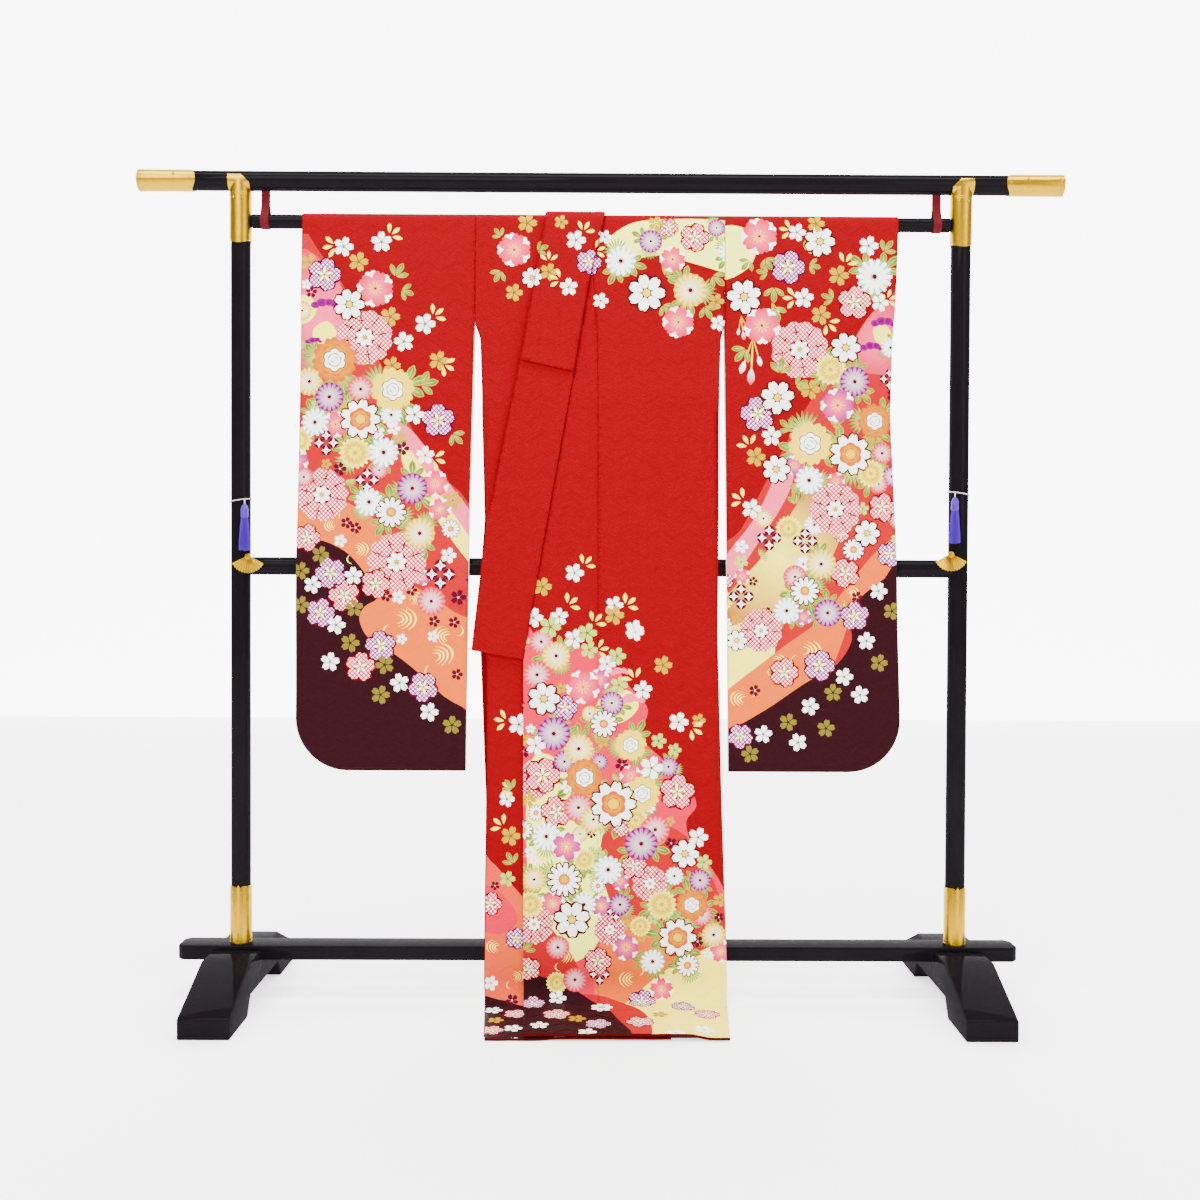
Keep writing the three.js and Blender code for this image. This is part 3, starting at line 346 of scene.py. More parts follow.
# ---------------------------------------------------------------- panels of cloth
@dataclass
class Panel:
    """A length of cloth as a flat outline and the form it takes.

    Places on it are (x, w). On the front w is v. Past TOP_V the cloth runs down the back: v is 2 TOP_V - w.

    Attributes:
        name: Name of the piece and of the CAD node that it stands for.
        outline: Corners of the cut, in order.
        wall: Thickness of the cloth.
    """

    name: str
    outline: Points = field(default_factory=lambda: np.zeros((0, 2)))
    wall: float = WALL

    def middle(self, x: Points, w: Points) -> Points:
        """Points on the middle of the cloth."""
        raise NotImplementedError

    def sewn_to(self, x: Points, w: Points) -> Points | None:
        """For places on the outline that are sewn across, the point midway to the other side, else nan."""
        return None

    def normal(self, x: Points, w: Points, step: float = 0.4) -> Points:
        """Unit normals on the cloth's outer face.

        Args:
            x: Places across.
            w: Places along the cloth.
            step: Distance between the places that are compared.

        Returns:
            The normals.
        """
        across = self.middle(x + step, w) - self.middle(x - step, w)
        along = self.middle(x, w + step) - self.middle(x, w - step)
        normal = np.cross(across, along)
        return normal / np.maximum(np.linalg.norm(normal, axis=1, keepdims=True), 1e-9)

    def outer(self, x: Points, w: Points) -> Points:
        """Points on the cloth's outer face."""
        return self.middle(x, w) + self.normal(x, w) * self.wall / 2

    def midway(self, x: Points, w: Points, sewn: Points) -> Points:
        """Points between the front and the back where they are sewn, and nan elsewhere."""
        return np.where(sewn[:, None], (self.middle(x, w) + self.middle(x, 2 * TOP_V - w)) / 2, np.nan)

    @staticmethod
    def split(w: Points) -> tuple[Points, Points]:
        """Height v of each w, and whether it is on the back."""
        is_back = w > TOP_V
        return np.where(is_back, 2 * TOP_V - w, w), is_back


def edge_run(edge: Callable[[Points], Points], low: float, high: float, step: float = 12.0,
             back: bool = False, shift: float = 0.0) -> Points:
    """Places along an edge from low to high.

    Args:
        edge: Reader of the edge's x at v.
        low: First height v.
        high: Last height v.
        step: Largest distance between places.
        back: Whether the edge is on the back.
        shift: Added to x.

    Returns:
        (x, w) rows.
    """
    count = max(2, int(abs(high - low) / step) + 1)
    v = np.linspace(low, high, count)
    return np.stack([edge(v) + shift, 2 * TOP_V - v if back else v], -1)


@dataclass
class FrontPanel(Panel):
    """A panel of the body's front, in the layer of its side.

    Attributes:
        hand: The side that it is on: LEFT is the under front.
    """

    hand: Hand = Hand.RIGHT

    @property
    def layer(self) -> Layer:
        """The layer that it is in."""
        return LAYERS[self.hand]

    def lift(self, x: Points, v: Points) -> Points:
        """How far its folds, the tuck and the floor bring it forward."""
        return body_folds(x, v, SHARE[self.layer.hang]) + tuck_step(v) + self.layer.settle(x, v)


@dataclass
class BodyPanel(FrontPanel):
    """Front, shoulder and back of one side of the body, in one length."""

    def __post_init__(self) -> None:
        """Lays out the cut."""
        front_low = floor_v(self.layer.hang, self.layer.level, HEM_Y)
        back_low = floor_v("back", 0.0, HEM_Y + BACK_HEM_STEP)
        factor = self.hand.value
        prefix = self.hand.word
        back_edge = EDGE["left_back"] if self.hand is Hand.LEFT else EDGE["right_outer"]
        pleat = -factor * PLEAT_HALF if self.hand is Hand.LEFT else -4.0
        neck = -15.0 if self.hand is Hand.LEFT else 5.0
        centre = rows((NECK_V, pleat), (-400, pleat))
        inner = edge_run(EDGE[prefix + "_inner"], front_low, TOP_V, shift=factor * GAP / 2)
        neck_back = np.array([[neck, 2 * TOP_V - NECK_V - 0.5]])
        down = edge_run(centre, NECK_V, back_low, back=True)
        up = edge_run(back_edge, back_low, TOP_V - 2, back=True)
        outer = edge_run(EDGE[prefix + "_outer"], TOP_V - 2, front_low)
        self.outline = np.vstack([inner, neck_back, down, up, outer])

    def middle(self, x: Points, w: Points) -> Points:
        """Points on the middle of the cloth.

        Args:
            x: Places across.
            w: Places along the cloth.

        Returns:
            Points in millimetres.
        """
        v, is_back = self.split(w)
        hang = self.layer.hang
        outer = EDGE[self.hand.word + "_outer"](v)
        back_outer = EDGE["left_back"](v) if self.hand is Hand.LEFT else outer
        lift = self.lift(x, v) - side_close(np.abs(x - outer), v, hang)
        front = drape(x, v, hang, Side.FRONT, level=self.layer.level, offset=lift)
        zone = smooth((PLEAT_HALF + 3 + PLEAT_BLEND - np.abs(x)) / PLEAT_BLEND)
        zone = zone * smooth((ROD_Z - v) / (ROD_Z - NECK_V))
        folds = body_folds(x, v, SHARE["back"]) * smooth((np.abs(x) - 60) / 50)
        shift = LAYER * zone * (self.hand.value + grounded(v))
        shift = shift + folds + side_close(np.abs(x - back_outer), v, hang)
        back = drape(x, v, "back", Side.BACK, offset=shift)
        return np.where(is_back[:, None], back, front)

    def sewn_to(self, x: Points, w: Points) -> Points | None:
        """Points midway to the other side along the side seam.

        Args:
            x: Places across.
            w: Places along the cloth.

        Returns:
            The points, with nan where nothing is sewn.
        """
        v, _ = self.split(w)
        outer = EDGE[self.hand.word + "_outer"](v)
        return self.midway(x, w, (np.abs(x - outer) < 4) & (v < SIDE_OPEN_V - 30) & (v > 60))


@dataclass
class OverlapPanel(FrontPanel):
    """The tapering panel sewn between a front and the collar."""

    def __post_init__(self) -> None:
        """Lays out the cut."""
        under = self.hand is Hand.LEFT
        low = floor_v(self.layer.hang, self.layer.level, HEM_Y)
        collar = EDGE["under_seam" if under else "collar_seam"]
        front = EDGE["under_front" if under else "overlap_front"]
        body = EDGE[self.hand.word + "_inner"]
        inset = self.hand.value * GAP / 2
        run = [edge_run(front, low, COLLAR_LOW_V, shift=inset),
               edge_run(collar, COLLAR_LOW_V + 12, OVERLAP_TOP, shift=inset),
               edge_run(body, OVERLAP_TOP, low, shift=-inset)]
        self.outline = np.vstack(run)

    def middle(self, x: Points, w: Points) -> Points:
        """Points on the middle of the cloth."""
        return drape(x, w, self.layer.hang, level=self.layer.level, offset=self.lift(x, w))


@dataclass
class CollarPanel(Panel):
    """The main collar or its cover, over the shoulder line to the back of the neck.

    Attributes:
        end_free: Height of the lower end at the free edge.
        end_seam: Height of the lower end at the seam.
        lift: How far it lies off the main collar's middle.
        curl: How far its lower end lifts.
        back_low: Height of its end on the back.
        inset: Room at its two edges.
    """

    end_free: float = 690.0
    end_seam: float = 673.0
    lift: float = 0.0
    curl: float = 0.0
    back_low: float = 1482.0
    inset: float = 0.0
    wall: float = COLLAR_WALL

    @property
    def top(self) -> float:
        """Where the collar turns over to the back."""
        return ROD_Z + COLLAR_R * math.pi / 2

    def __post_init__(self) -> None:
        """Lays out the cut."""
        turn = 2 * self.top
        seam = edge_run(EDGE["collar_seam"], self.end_seam, self.top, shift=-GAP / 2 - self.inset)
        free = edge_run(EDGE["collar_free"], self.top, self.end_free, shift=self.inset)
        back_v = np.linspace(self.top - 3, self.back_low, 12)
        seam_back = np.stack([EDGE["collar_seam"](back_v) - GAP / 2 - self.inset, turn - back_v], -1)
        free_back = np.stack([EDGE["collar_free"](back_v) + self.inset, turn - back_v], -1)
        end = np.linspace(0, 1, 8)[1:-1, None]
        low_end = free[-1] + (seam[0] - free[-1]) * end
        self.outline = np.vstack([seam, seam_back, free_back[::-1], free, low_end])

    def middle(self, x: Points, w: Points) -> Points:
        """Points on the middle of the cloth.

        Args:
            x: Places across.
            w: Places along the cloth.

        Returns:
            Points in millimetres.
        """
        is_back = w > self.top
        v = np.where(is_back, 2 * self.top - w, w)
        free, seam = EDGE["collar_free"](v), EDGE["collar_seam"](v)
        t = (x - free) / (seam - free)
        low = self.end_free + (self.end_seam - self.end_free) * np.clip(t, 0, 1)
        raised = self.lift + self.curl * smooth(1 - (v - low) / 26)
        edge = 1.6 * smooth((0.3 - t) / 0.3) * smooth((1500 - v) / 200)
        front = drape(x, v, "collar", Side.FRONT, COLLAR_R, offset=body_folds(x, v, 1.0) + edge + raised)
        back = drape(x, v, "collar_back", Side.BACK, COLLAR_R, offset=-raised)
        return np.where(is_back[:, None], back, front)


@dataclass
class UnderCollarPanel(Panel):
    """The collar of the under front, folded to half its width."""

    def __post_init__(self) -> None:
        """Lays out the cut."""
        low, top, width = 673.0, 1486.0, 55.0
        seam = edge_run(self.seam, low, top, shift=GAP / 2)
        self.outline = np.vstack([seam[::-1], seam + np.array([width, 0.0])])

    @staticmethod
    def seam(v: Points) -> Points:
        """x of the seam at v."""
        return np.where(v >= 1440, EDGE["left_inner"](v), EDGE["under_seam"](v))

    def middle(self, x: Points, w: Points) -> Points:
        """Points on the middle of the cloth."""
        return drape(x, w, "under", offset=body_folds(x, w, SHARE["under"]) + tuck_step(w))


@dataclass
class SleevePanel(Panel):
    """A sleeve: one length over the rod, sewn into a bag that is open at the cuff and along the inner edge.

    Attributes:
        hand: The side that it is on.
    """

    hand: Hand = Hand.LEFT

    def __post_init__(self) -> None:
        """Lays out the cut."""
        prefix = f"sleeve_{self.hand.word}_"
        self.inner_edge, self.outer_edge = EDGE[prefix + "inner"], EDGE[prefix + "outer"]
        turn = np.linspace(0, math.pi / 2, 13)
        corner_p = SLEEVE_WIDTH - SLEEVE_CORNER + SLEEVE_CORNER * np.sin(turn)
        corner_q = SLEEVE_LENGTH - SLEEVE_CORNER + SLEEVE_CORNER * np.cos(turn)
        side_q = np.linspace(SLEEVE_LENGTH - SLEEVE_CORNER, 0, 84)[1:]
        bottom_p = np.linspace(0, SLEEVE_WIDTH - SLEEVE_CORNER, 22)[:-1]
        inner_q = np.linspace(0, SLEEVE_LENGTH, 92)[1:]
        p = np.concatenate([bottom_p, corner_p, np.full(len(side_q), SLEEVE_WIDTH)])
        q = np.concatenate([np.full(len(bottom_p), SLEEVE_LENGTH), corner_q, side_q])
        front = self.flat(p, q)
        back = front[:-1][::-1] * (1, -1) + (0, 2 * TOP_V)
        inner = self.flat(np.zeros(len(inner_q)), inner_q)
        inner_back = inner[:-1][::-1] * (1, -1) + (0, 2 * TOP_V)
        top = self.flat(np.zeros(1), np.zeros(1))
        self.outline = np.vstack([front, back, inner_back, top, inner[:-1]])

    def flat(self, p: Points, q: Points) -> Points:
        """(x, v) of the place p from the inner edge and q down from the fold.

        Args:
            p: Distance from the inner edge.
            q: Distance down from the fold.

        Returns:
            The places.
        """
        v = TOP_V - q
        inner, outer = self.inner_edge(v), self.outer_edge(v)
        return np.stack([inner + (outer - inner) * p / SLEEVE_WIDTH, v], -1)

    def distance(self, x: Points, v: Points) -> Points:
        """Distance from a place to the bag's sewn edge.

        Args:
            x: Places across.
            v: Places up the cloth.

        Returns:
            The distances.
        """
        inner, outer = self.inner_edge(v), self.outer_edge(v)
        p = (x - inner) / (outer - inner) * SLEEVE_WIDTH
        q = TOP_V - v
        dx, dy = p - (SLEEVE_WIDTH - SLEEVE_CORNER), q - (SLEEVE_LENGTH - SLEEVE_CORNER)
        corner = SLEEVE_CORNER - np.hypot(dx, dy)
        straight = np.minimum(SLEEVE_WIDTH - p, SLEEVE_LENGTH - q)
        cuff = np.hypot(SLEEVE_WIDTH - p, SLEEVE_CUFF - q)
        return np.maximum(0, np.where(q < SLEEVE_CUFF, cuff,
                                      np.where((dx > 0) & (dy > 0), corner, straight)))

    def middle(self, x: Points, w: Points) -> Points:
        """Points on the middle of the cloth.

        Args:
            x: Places across.
            w: Places along the cloth.

        Returns:
            Points in millimetres.
        """
        v, is_back = self.split(w)
        side = np.where(is_back, 1.0, -1.0)
        front, back = HANG["sleeve_front"](v), HANG["sleeve_back"](v)
        t = np.clip(self.distance(x, v) / SLEEVE_EASE, 0, 1)
        half = SLEEVE_FOLD + ((back - front) / 2 - SLEEVE_FOLD) * np.sqrt(np.clip(1 - (1 - t) ** 2, 0, 1))
        y = (front + back) / 2 + side * half - fold_depth(SLEEVE_FOLDS[self.hand], x, v)
        hanging = np.stack([x, y, v], -1)
        angle = math.pi / 2 - (v - ROD_Z) / CLOTH_R
        over = np.stack([x, side * CLOTH_R * np.sin(angle), ROD_Z + CLOTH_R * np.cos(angle)], -1)
        return np.where((v > ROD_Z)[:, None], over, hanging)

    def sewn_to(self, x: Points, w: Points) -> Points | None:
        """Points midway to the other side along the bag's seam, and nan elsewhere."""
        v, _ = self.split(w)
        return self.midway(x, w, (self.distance(x, v) < 1.5) & (TOP_V - v > SLEEVE_CUFF - 1))


# ---------------------------------------------------------------- colours and patches of the print
def rgb(red: int, green: int, blue: int) -> Colour:
    """A colour from its 0 to 255 values, as linear light."""
    return tuple((c / 255) ** 2.2 for c in (red, green, blue))


class Dye(Enum):
    """Colours of the print."""

    RED = rgb(113, 1, 19)
    DEEP_RED = rgb(93, 4, 13)
    CORAL = rgb(158, 25, 30)
    SALMON = rgb(205, 89, 30)
    PINK = rgb(198, 25, 56)
    SOFT_PINK = rgb(233, 85, 115)
    ORCHID = rgb(139, 18, 112)
    PURPLE = rgb(88, 7, 79)
    MAROON = rgb(40, 20, 24)
    PLUM = rgb(70, 18, 35)
    ORANGE = rgb(179, 70, 7)
    YELLOW = rgb(229, 190, 10)
    CREAM = rgb(250, 232, 80)
    MIST = rgb(242, 246, 100)
    GOLD = rgb(179, 142, 16)
    OLIVE = rgb(112, 100, 39)
    WHITE = rgb(254, 253, 248)
    SKY = rgb(133, 200, 229)
    LEAF = rgb(52, 92, 44)
    PALE_LEAF = rgb(163, 190, 75)
    OUTLINE = rgb(65, 26, 23)


@dataclass(frozen=True)
class Tint:
    """Colour of a patch: one dye, or a change from one to another away from its middle.

    Attributes:
        inner: Colour at the middle.
        outer: Colour at the reach.
        start: Share of the reach over which the inner colour holds.
    """

    inner: Dye
    outer: Dye | None = None
    start: float = 0.0

    def at(self, share: Points) -> Points:
        """Colours at shares of the reach.

        Args:
            share: Shares of the reach.

        Returns:
            The result for each.
        """
        inner = np.array(self.inner.value)
        outer = np.array((self.outer or self.inner).value)
        t = np.clip((share - self.start) / max(1e-6, 1 - self.start), 0, 1)[:, None]
        return inner + (outer - inner) * t


def turned(angle: float) -> Points:
    """The matrix that turns rows of places by an angle."""
    return np.array([[math.cos(angle), math.sin(angle)], [-math.sin(angle), math.cos(angle)]])


@dataclass(frozen=True)
class Patch:
    """One piece of the print: a simple outline with its colour.

    Attributes:
        points: Outline about the motif's own middle.
        tint: Its colour.
        dots: How strongly tie-dye dots show on it.
        gilt: How much it is gilded.
        centre: Middle of the tint.
        reach: Distance over which the tint changes.
    """

    points: Points
    tint: Tint
    dots: float = 0.0
    gilt: float = 0.0
    centre: tuple[float, float] = (0.0, 0.0)
    reach: float = 1.0

    def moved(self, at: tuple[float, float], size: float, turn: float) -> "Patch":
        """The patch with its motif placed at a point, scaled and turned.

        Args:
            at: The point.
            size: Its size.
            turn: Its turn.

        Returns:
            The placed patch.
        """
        spin = turned(turn) * size
        centre = np.array(self.centre) @ spin + at
        return replace(self, points=self.points @ spin + at, centre=tuple(centre), reach=self.reach * size)


def petal(inner: float, outer: float, width: float, notch: float = 0.0, steps: int = 4,
          blunt: float = 0.1) -> Points:
    """Outline of a petal along +x.

    Args:
        inner: Radius at which it starts.
        outer: Radius at its tip.
        width: Its greatest width.
        notch: Depth of the notch in its tip.
        steps: Points along each side.
        blunt: Half width of its tip, as a share of its width.

    Returns:
        Its outline.
    """
    t = np.linspace(0, 1, steps + 1)[1:-1] if notch else np.linspace(0, 1, steps + 2)[1:-1]
    r = inner + (outer - inner) * t
    half = width / 2 * np.sin(math.pi * t ** 1.25 * 0.94) ** 0.75
    side = np.stack([r, half], -1)
    if notch:
        tip = np.array([[outer * 0.97, width * 0.3], [outer, width * 0.15], [outer - notch, 0]])
    else:
        tip = np.array([[outer, width * blunt]])
    top = np.vstack([side, tip])
    lower = (top[:-1] if notch else top) * (1, -1)
    return np.vstack([[[inner, 0]], lower, top[::-1]])


def spun(points: Points, count: int, phase: float = 0.0) -> list[Points]:
    """Copies of an outline turned evenly about the middle."""
    return [points @ turned(phase + 2 * math.pi * k / count) for k in range(count)]


def disc(radius: float, sides: int = 10, wave: float = 0.0, lobes: int = 1, squeeze: float = 1.0) -> Points:
    """A round outline, scalloped where wave is set.

    Args:
        radius: Its radius.
        sides: How many corners it has.
        wave: Depth of the scallops, as a share of the radius.
        lobes: How many scallops.
        squeeze: Its height, as a share of its width.

    Returns:
        The outline.
    """
    a = np.arange(sides) * 2 * math.pi / sides
    r = radius * (1 + wave * np.abs(np.sin(a * lobes / 2)) - wave)
    return np.stack([r * np.cos(a), r * np.sin(a) * squeeze], -1)


def flower(petals: Points, count: int, tint: Tint, phase: float = 0.0, dots: float = 0.0,
           gilt: float = 0.0) -> list[Patch]:
    """A ring of petals."""
    return [Patch(p, tint, dots=dots, gilt=gilt) for p in spun(petals, count, phase)]


def small_blossom(dye: Dye, line: Dye) -> list[Patch]:
    """A stencilled cherry blossom of five parted petals.

    Args:
        dye: Colour of its petals.
        line: Colour of its middle.

    Returns:
        Its patches, from the lowest.
    """
    gilt = 0.8 if dye in (Dye.GOLD, Dye.OLIVE) else 0.0
    made = flower(petal(0.1, 1.0, 0.68, 0.12), 5, Tint(dye), gilt=gilt)
    return made + [Patch(disc(0.12, 6), Tint(line))]


def sprig(dye: Dye) -> list[Patch]:
    """Three small leaves that part from one stem."""
    leaf = petal(0.24, 1.1, 0.36, steps=3, blunt=0.04)
    return [Patch(p, Tint(dye, Dye.CREAM), gilt=0.2) for k, p in enumerate(spun(leaf, 7, -0.9)) if k < 3]


def outlined() -> list[Patch]:
    """A large white blossom whose petals have fine gilt outlines.

    Returns:
        Its patches, from the lowest.
    """
    rim = flower(petal(0.06, 1.0, 0.8, 0.05), 7, Tint(Dye.OUTLINE), gilt=0.3)
    white = flower(petal(0.16, 0.92, 3.7 / 7, 0.05), 7, Tint(Dye.WHITE))
    return rim + white + [Patch(disc(0.25, 10), Tint(Dye.OUTLINE)),
                          Patch(disc(0.2, 9), Tint(Dye.YELLOW), gilt=0.4)]


def soft_blossom(dye: Dye) -> list[Patch]:
    """A shaded blossom over a second one with white petals.

    Args:
        dye: Colour at its petals' tips.

    Returns:
        Its patches, from the lowest.
    """
    under = flower(petal(0.1, 1.0, 0.8, 0.08), 5, Tint(Dye.WHITE), math.pi / 5)
    over = flower(petal(0.05, 0.97, 0.76, 0.1), 5, Tint(Dye.SOFT_PINK, dye, 0.2))
    return under + over + flower(petal(0.05, 0.42, 0.07, steps=2), 10, Tint(Dye.YELLOW))


def tied_blossom(dye: Dye, line: Dye) -> list[Patch]:
    """A plum blossom in tie-dye dots, with a stencilled centre.

    Args:
        dye: Colour of its petals.
        line: Colour of its outline and its middle.

    Returns:
        Its patches, from the lowest.
    """
    rim = flower(petal(0.0, 1.0, 1.06, 0.04), 5, Tint(line))
    fill = flower(petal(0.12, 0.94, 0.8, 0.04), 5, Tint(dye), dots=1.0)
    star = flower(petal(0.04, 0.46, 0.17, steps=2), 5, Tint(Dye.WHITE, Dye.CREAM), 0.3)
    star += flower(petal(0.02, 0.36, 0.12, steps=2), 5, Tint(Dye.GOLD), 0.3 + math.pi / 5, gilt=0.8)
    return rim + fill + [Patch(disc(0.42, 10, 0.2, 5), Tint(line))] + star


def tied_round(dye: Dye, line: Dye) -> list[Patch]:
    """A round double blossom in tie-dye dots, with lines between its petals.

    Args:
        dye: Colour of its petals.
        line: Colour of its lines and its middle.

    Returns:
        Its patches, from the lowest.
    """
    base = [Patch(disc(1.0, 48, 0.09, 12), Tint(dye), dots=1.0)]
    lines = flower(petal(0.3, 0.98, 0.05, steps=2), 8, Tint(line), 0.2)
    chevrons = flower(bow(0.62, 0.26, 0.045), 8, Tint(line), 0.2)
    eye = [Patch(disc(0.36, 10), Tint(line))] + flower(petal(0.06, 0.34, 0.2, steps=3), 7, Tint(Dye.WHITE))
    return base + lines + chevrons + eye + [Patch(disc(0.09, 6), Tint(Dye.GOLD))]


def bow(radius: float, half: float, thick: float, steps: int = 5) -> Points:
    """A thin arc about the middle, tapered at its ends.

    Args:
        radius: Its radius.
        half: Half its angle.
        thick: Its thickness at the middle.
        steps: Points along each side.

    Returns:
        Its outline.
    """
    a = np.linspace(-half, half, steps)
    swell = thick * np.cos(a / half * math.pi / 2 * 0.9)
    outer, inner = ((radius + side * swell / 2)[:, None] * np.stack([np.cos(a), np.sin(a)], -1)
                    for side in (1, -1))
    return np.vstack([outer, inner[::-1]])


def peony(dye: Dye) -> list[Patch]:
    """A peony: a frilled outer ring and an outlined heart of folded petals.

    Args:
        dye: Colour at its petals' tips.

    Returns:
        Its patches, from the lowest.
    """
    pale = Dye.CREAM if dye is Dye.YELLOW else Dye.YELLOW
    back = flower(petal(0.1, 1.0, 0.72, 0.08, 5), 8, Tint(pale, dye, -0.3), 0.2)
    ring = [Patch(disc(0.72, 28, 0.14, 7), Tint(pale, dye, 0.1), reach=0.72)]
    rim = [Patch(disc(0.54, 30, 0.2, 6), Tint(Dye.OUTLINE), gilt=0.4)]
    face = [Patch(disc(0.49, 30, 0.2, 6), Tint(Dye.WHITE))]
    curls = flower(bow(0.28, 0.75, 0.05), 5, Tint(Dye.OUTLINE), 0.1)
    return back + ring + rim + face + curls + flower(bow(0.13, 1.0, 0.045), 2, Tint(Dye.OUTLINE), 0.8)


def white_peony() -> list[Patch]:
    """A peony with outlined white petals round a coloured heart.

    Returns:
        Its patches, from the lowest.
    """
    rim = flower(petal(0.1, 1.0, 0.6, 0.06, 5), 9, Tint(Dye.OUTLINE), gilt=0.3)
    white = flower(petal(0.15, 0.93, 0.44, 0.06, 5), 9, Tint(Dye.WHITE))
    heart = [Patch(disc(0.55, 30, 0.16, 6), Tint(Dye.YELLOW, Dye.ORANGE, 0.1), reach=0.45)]
    return rim + white + heart + flower(bow(0.26, 0.7, 0.06), 5, Tint(Dye.ORANGE))


def daisy(dye: Dye) -> list[Patch]:
    """A chrysanthemum: coloured petals that pale towards a white middle.

    Args:
        dye: Colour of its petals.

    Returns:
        Its patches, from the lowest.
    """
    count = 16
    deep = {Dye.ORCHID: Dye.PURPLE, Dye.YELLOW: Dye.GOLD}.get(dye, dye)
    low = flower(petal(0.2, 0.97, 4.6 / count, steps=3, blunt=0.3), count, Tint(dye, deep, 0.5),
                 math.pi / count)
    top = flower(petal(0.1, 1.0, 3.5 / count, steps=3, blunt=0.3), count, Tint(Dye.WHITE, dye, -0.6))
    return low + top + [Patch(disc(0.13, 7), Tint(Dye.PLUM), gilt=0.2)]


def white_daisy() -> list[Patch]:
    """A chrysanthemum with white petals and fine sky-blue shade between them.

    Returns:
        Its patches, from the lowest.
    """
    count = 14
    back = [Patch(disc(0.93, 28, 0.1, count), Tint(Dye.LEAF, Dye.SKY, 0.3))]
    top = flower(petal(0.12, 1.0, 3.8 / count, steps=3, blunt=0.3), count, Tint(Dye.WHITE))
    return back + top + [Patch(disc(0.14, 7), Tint(Dye.PLUM))]


def bold_daisy() -> list[Patch]:
    """A white chrysanthemum with dark outlines round its petals.

    Returns:
        Its patches, from the lowest.
    """
    count = 13
    back = flower(petal(0.1, 1.0, 5.4 / count, steps=3, blunt=0.35), count, Tint(Dye.OUTLINE))
    top = flower(petal(0.18, 0.92, 3.5 / count, steps=3, blunt=0.3), count, Tint(Dye.WHITE))
    return back + top + [Patch(disc(0.32, 12), Tint(Dye.YELLOW, Dye.ORANGE), reach=0.3)]


def pompon() -> list[Patch]:
    """A full yellow chrysanthemum of many fine petals.

    Returns:
        Its patches, from the lowest.
    """
    back = flower(petal(0.2, 1.0, 0.36, steps=3), 18, Tint(Dye.GOLD, Dye.CREAM, 0.2))
    mid = flower(petal(0.1, 0.74, 0.28, steps=3), 14, Tint(Dye.GOLD, Dye.YELLOW, 0.1), 0.1)
    front = flower(petal(0.05, 0.46, 0.2, steps=2), 10, Tint(Dye.YELLOW, Dye.CREAM), 0.2)
    return back + mid + front + [Patch(disc(0.14, 8), Tint(Dye.GOLD))]


def leaf_trio() -> list[Patch]:
    """Three pointed leaves with pale edges and ribs.

    Returns:
        Their patches, from the lowest.
    """
    made = []
    for turn, size in ((-0.85, 0.95), (0.85, 0.95), (0.0, 1.12)):
        spin = turned(turn) * size
        made += [Patch(petal(0.08, 1.1, 0.44, steps=4, blunt=0.03) @ spin, Tint(Dye.GOLD), gilt=0.4),
                 Patch(petal(0.14, 1.02, 0.34, steps=4, blunt=0.03) @ spin,
                       Tint(Dye.PALE_LEAF, Dye.LEAF, -0.4)),
                 Patch(petal(0.15, 0.95, 0.045, steps=2) @ spin, Tint(Dye.PALE_LEAF))]
    return made


def sedge() -> list[Patch]:
    """A fan of narrow needles."""
    needle = petal(0.1, 1.0, 0.13, steps=2)
    return [Patch(needle @ turned(a), Tint(Dye.PALE_LEAF, Dye.LEAF, 0.3)) for a in np.linspace(-1.1, 1.1, 9)]


def shippo() -> list[Patch]:
    """Linked circles: a lozenge of cells that each hold a white star.

    Returns:
        Their patches, from the lowest.
    """
    made = []
    star = np.array([[0.3, 0], [0.09, 0.09], [0, 0.3], [-0.09, 0.09], [-0.3, 0], [-0.09, -0.09], [0, -0.3],
                     [0.09, -0.09]])
    for place in ((0, 0.62), (-0.62, 0), (0.62, 0), (0, -0.62)):
        made += [Patch(disc(0.44, 12) + place, Tint(Dye.PLUM)), Patch(star * 1.35 + place, Tint(Dye.WHITE)),
                 Patch(disc(0.09, 5) + place, Tint(Dye.GOLD), gilt=0.6)]
    return made


def puff(dye: Dye) -> list[Patch]:
    """A small cloud of overlapping rounds.

    Args:
        dye: Colour at the middle of each.

    Returns:
        Its patches, from the lowest.
    """
    tint = Tint(dye, Dye.ORCHID if dye is Dye.PURPLE else Dye.SOFT_PINK, 0.4)
    rounds = ((-0.62, -0.05, 0.36), (-0.1, 0.14, 0.44), (0.45, 0.16, 0.38), (0.8, -0.04, 0.24))
    return [Patch(disc(r, 12, squeeze=0.75) + (x, y), tint, centre=(x, y), reach=r) for x, y, r in rounds]


def ripple() -> list[Patch]:
    """Curling lines of flowing water.

    Returns:
        Their patches.
    """
    lines = ((0.25, 1.5, 0.2), (0.45, 1.25, 0.1), (0.66, 1.05, 0.0), (0.86, 0.8, -0.05))
    made = [Patch(bow(r, half, 0.07, 8) * (1.35, 0.8) + (x, 0), Tint(Dye.CREAM)) for r, half, x in lines]
    return made + [Patch(bow(0.5, 0.9, 0.06, 7) * (-1.35, 0.8) + (0.3, -0.55), Tint(Dye.CREAM))]


def buds() -> list[Patch]:
    """Three buds that hang from fine stems.

    Returns:
        Their patches, from the lowest.
    """
    made = []
    for turn, long in ((-1.9, 0.8), (-1.62, 1.0), (-1.3, 0.62)):
        spin = turned(turn) * long
        made += [Patch(petal(0.0, 0.8, 0.045, steps=2) @ spin, Tint(Dye.YELLOW)),
                 Patch(petal(0.66, 1.04, 0.17, steps=3) @ spin, Tint(Dye.WHITE, Dye.PINK, 0.6))]
    return made


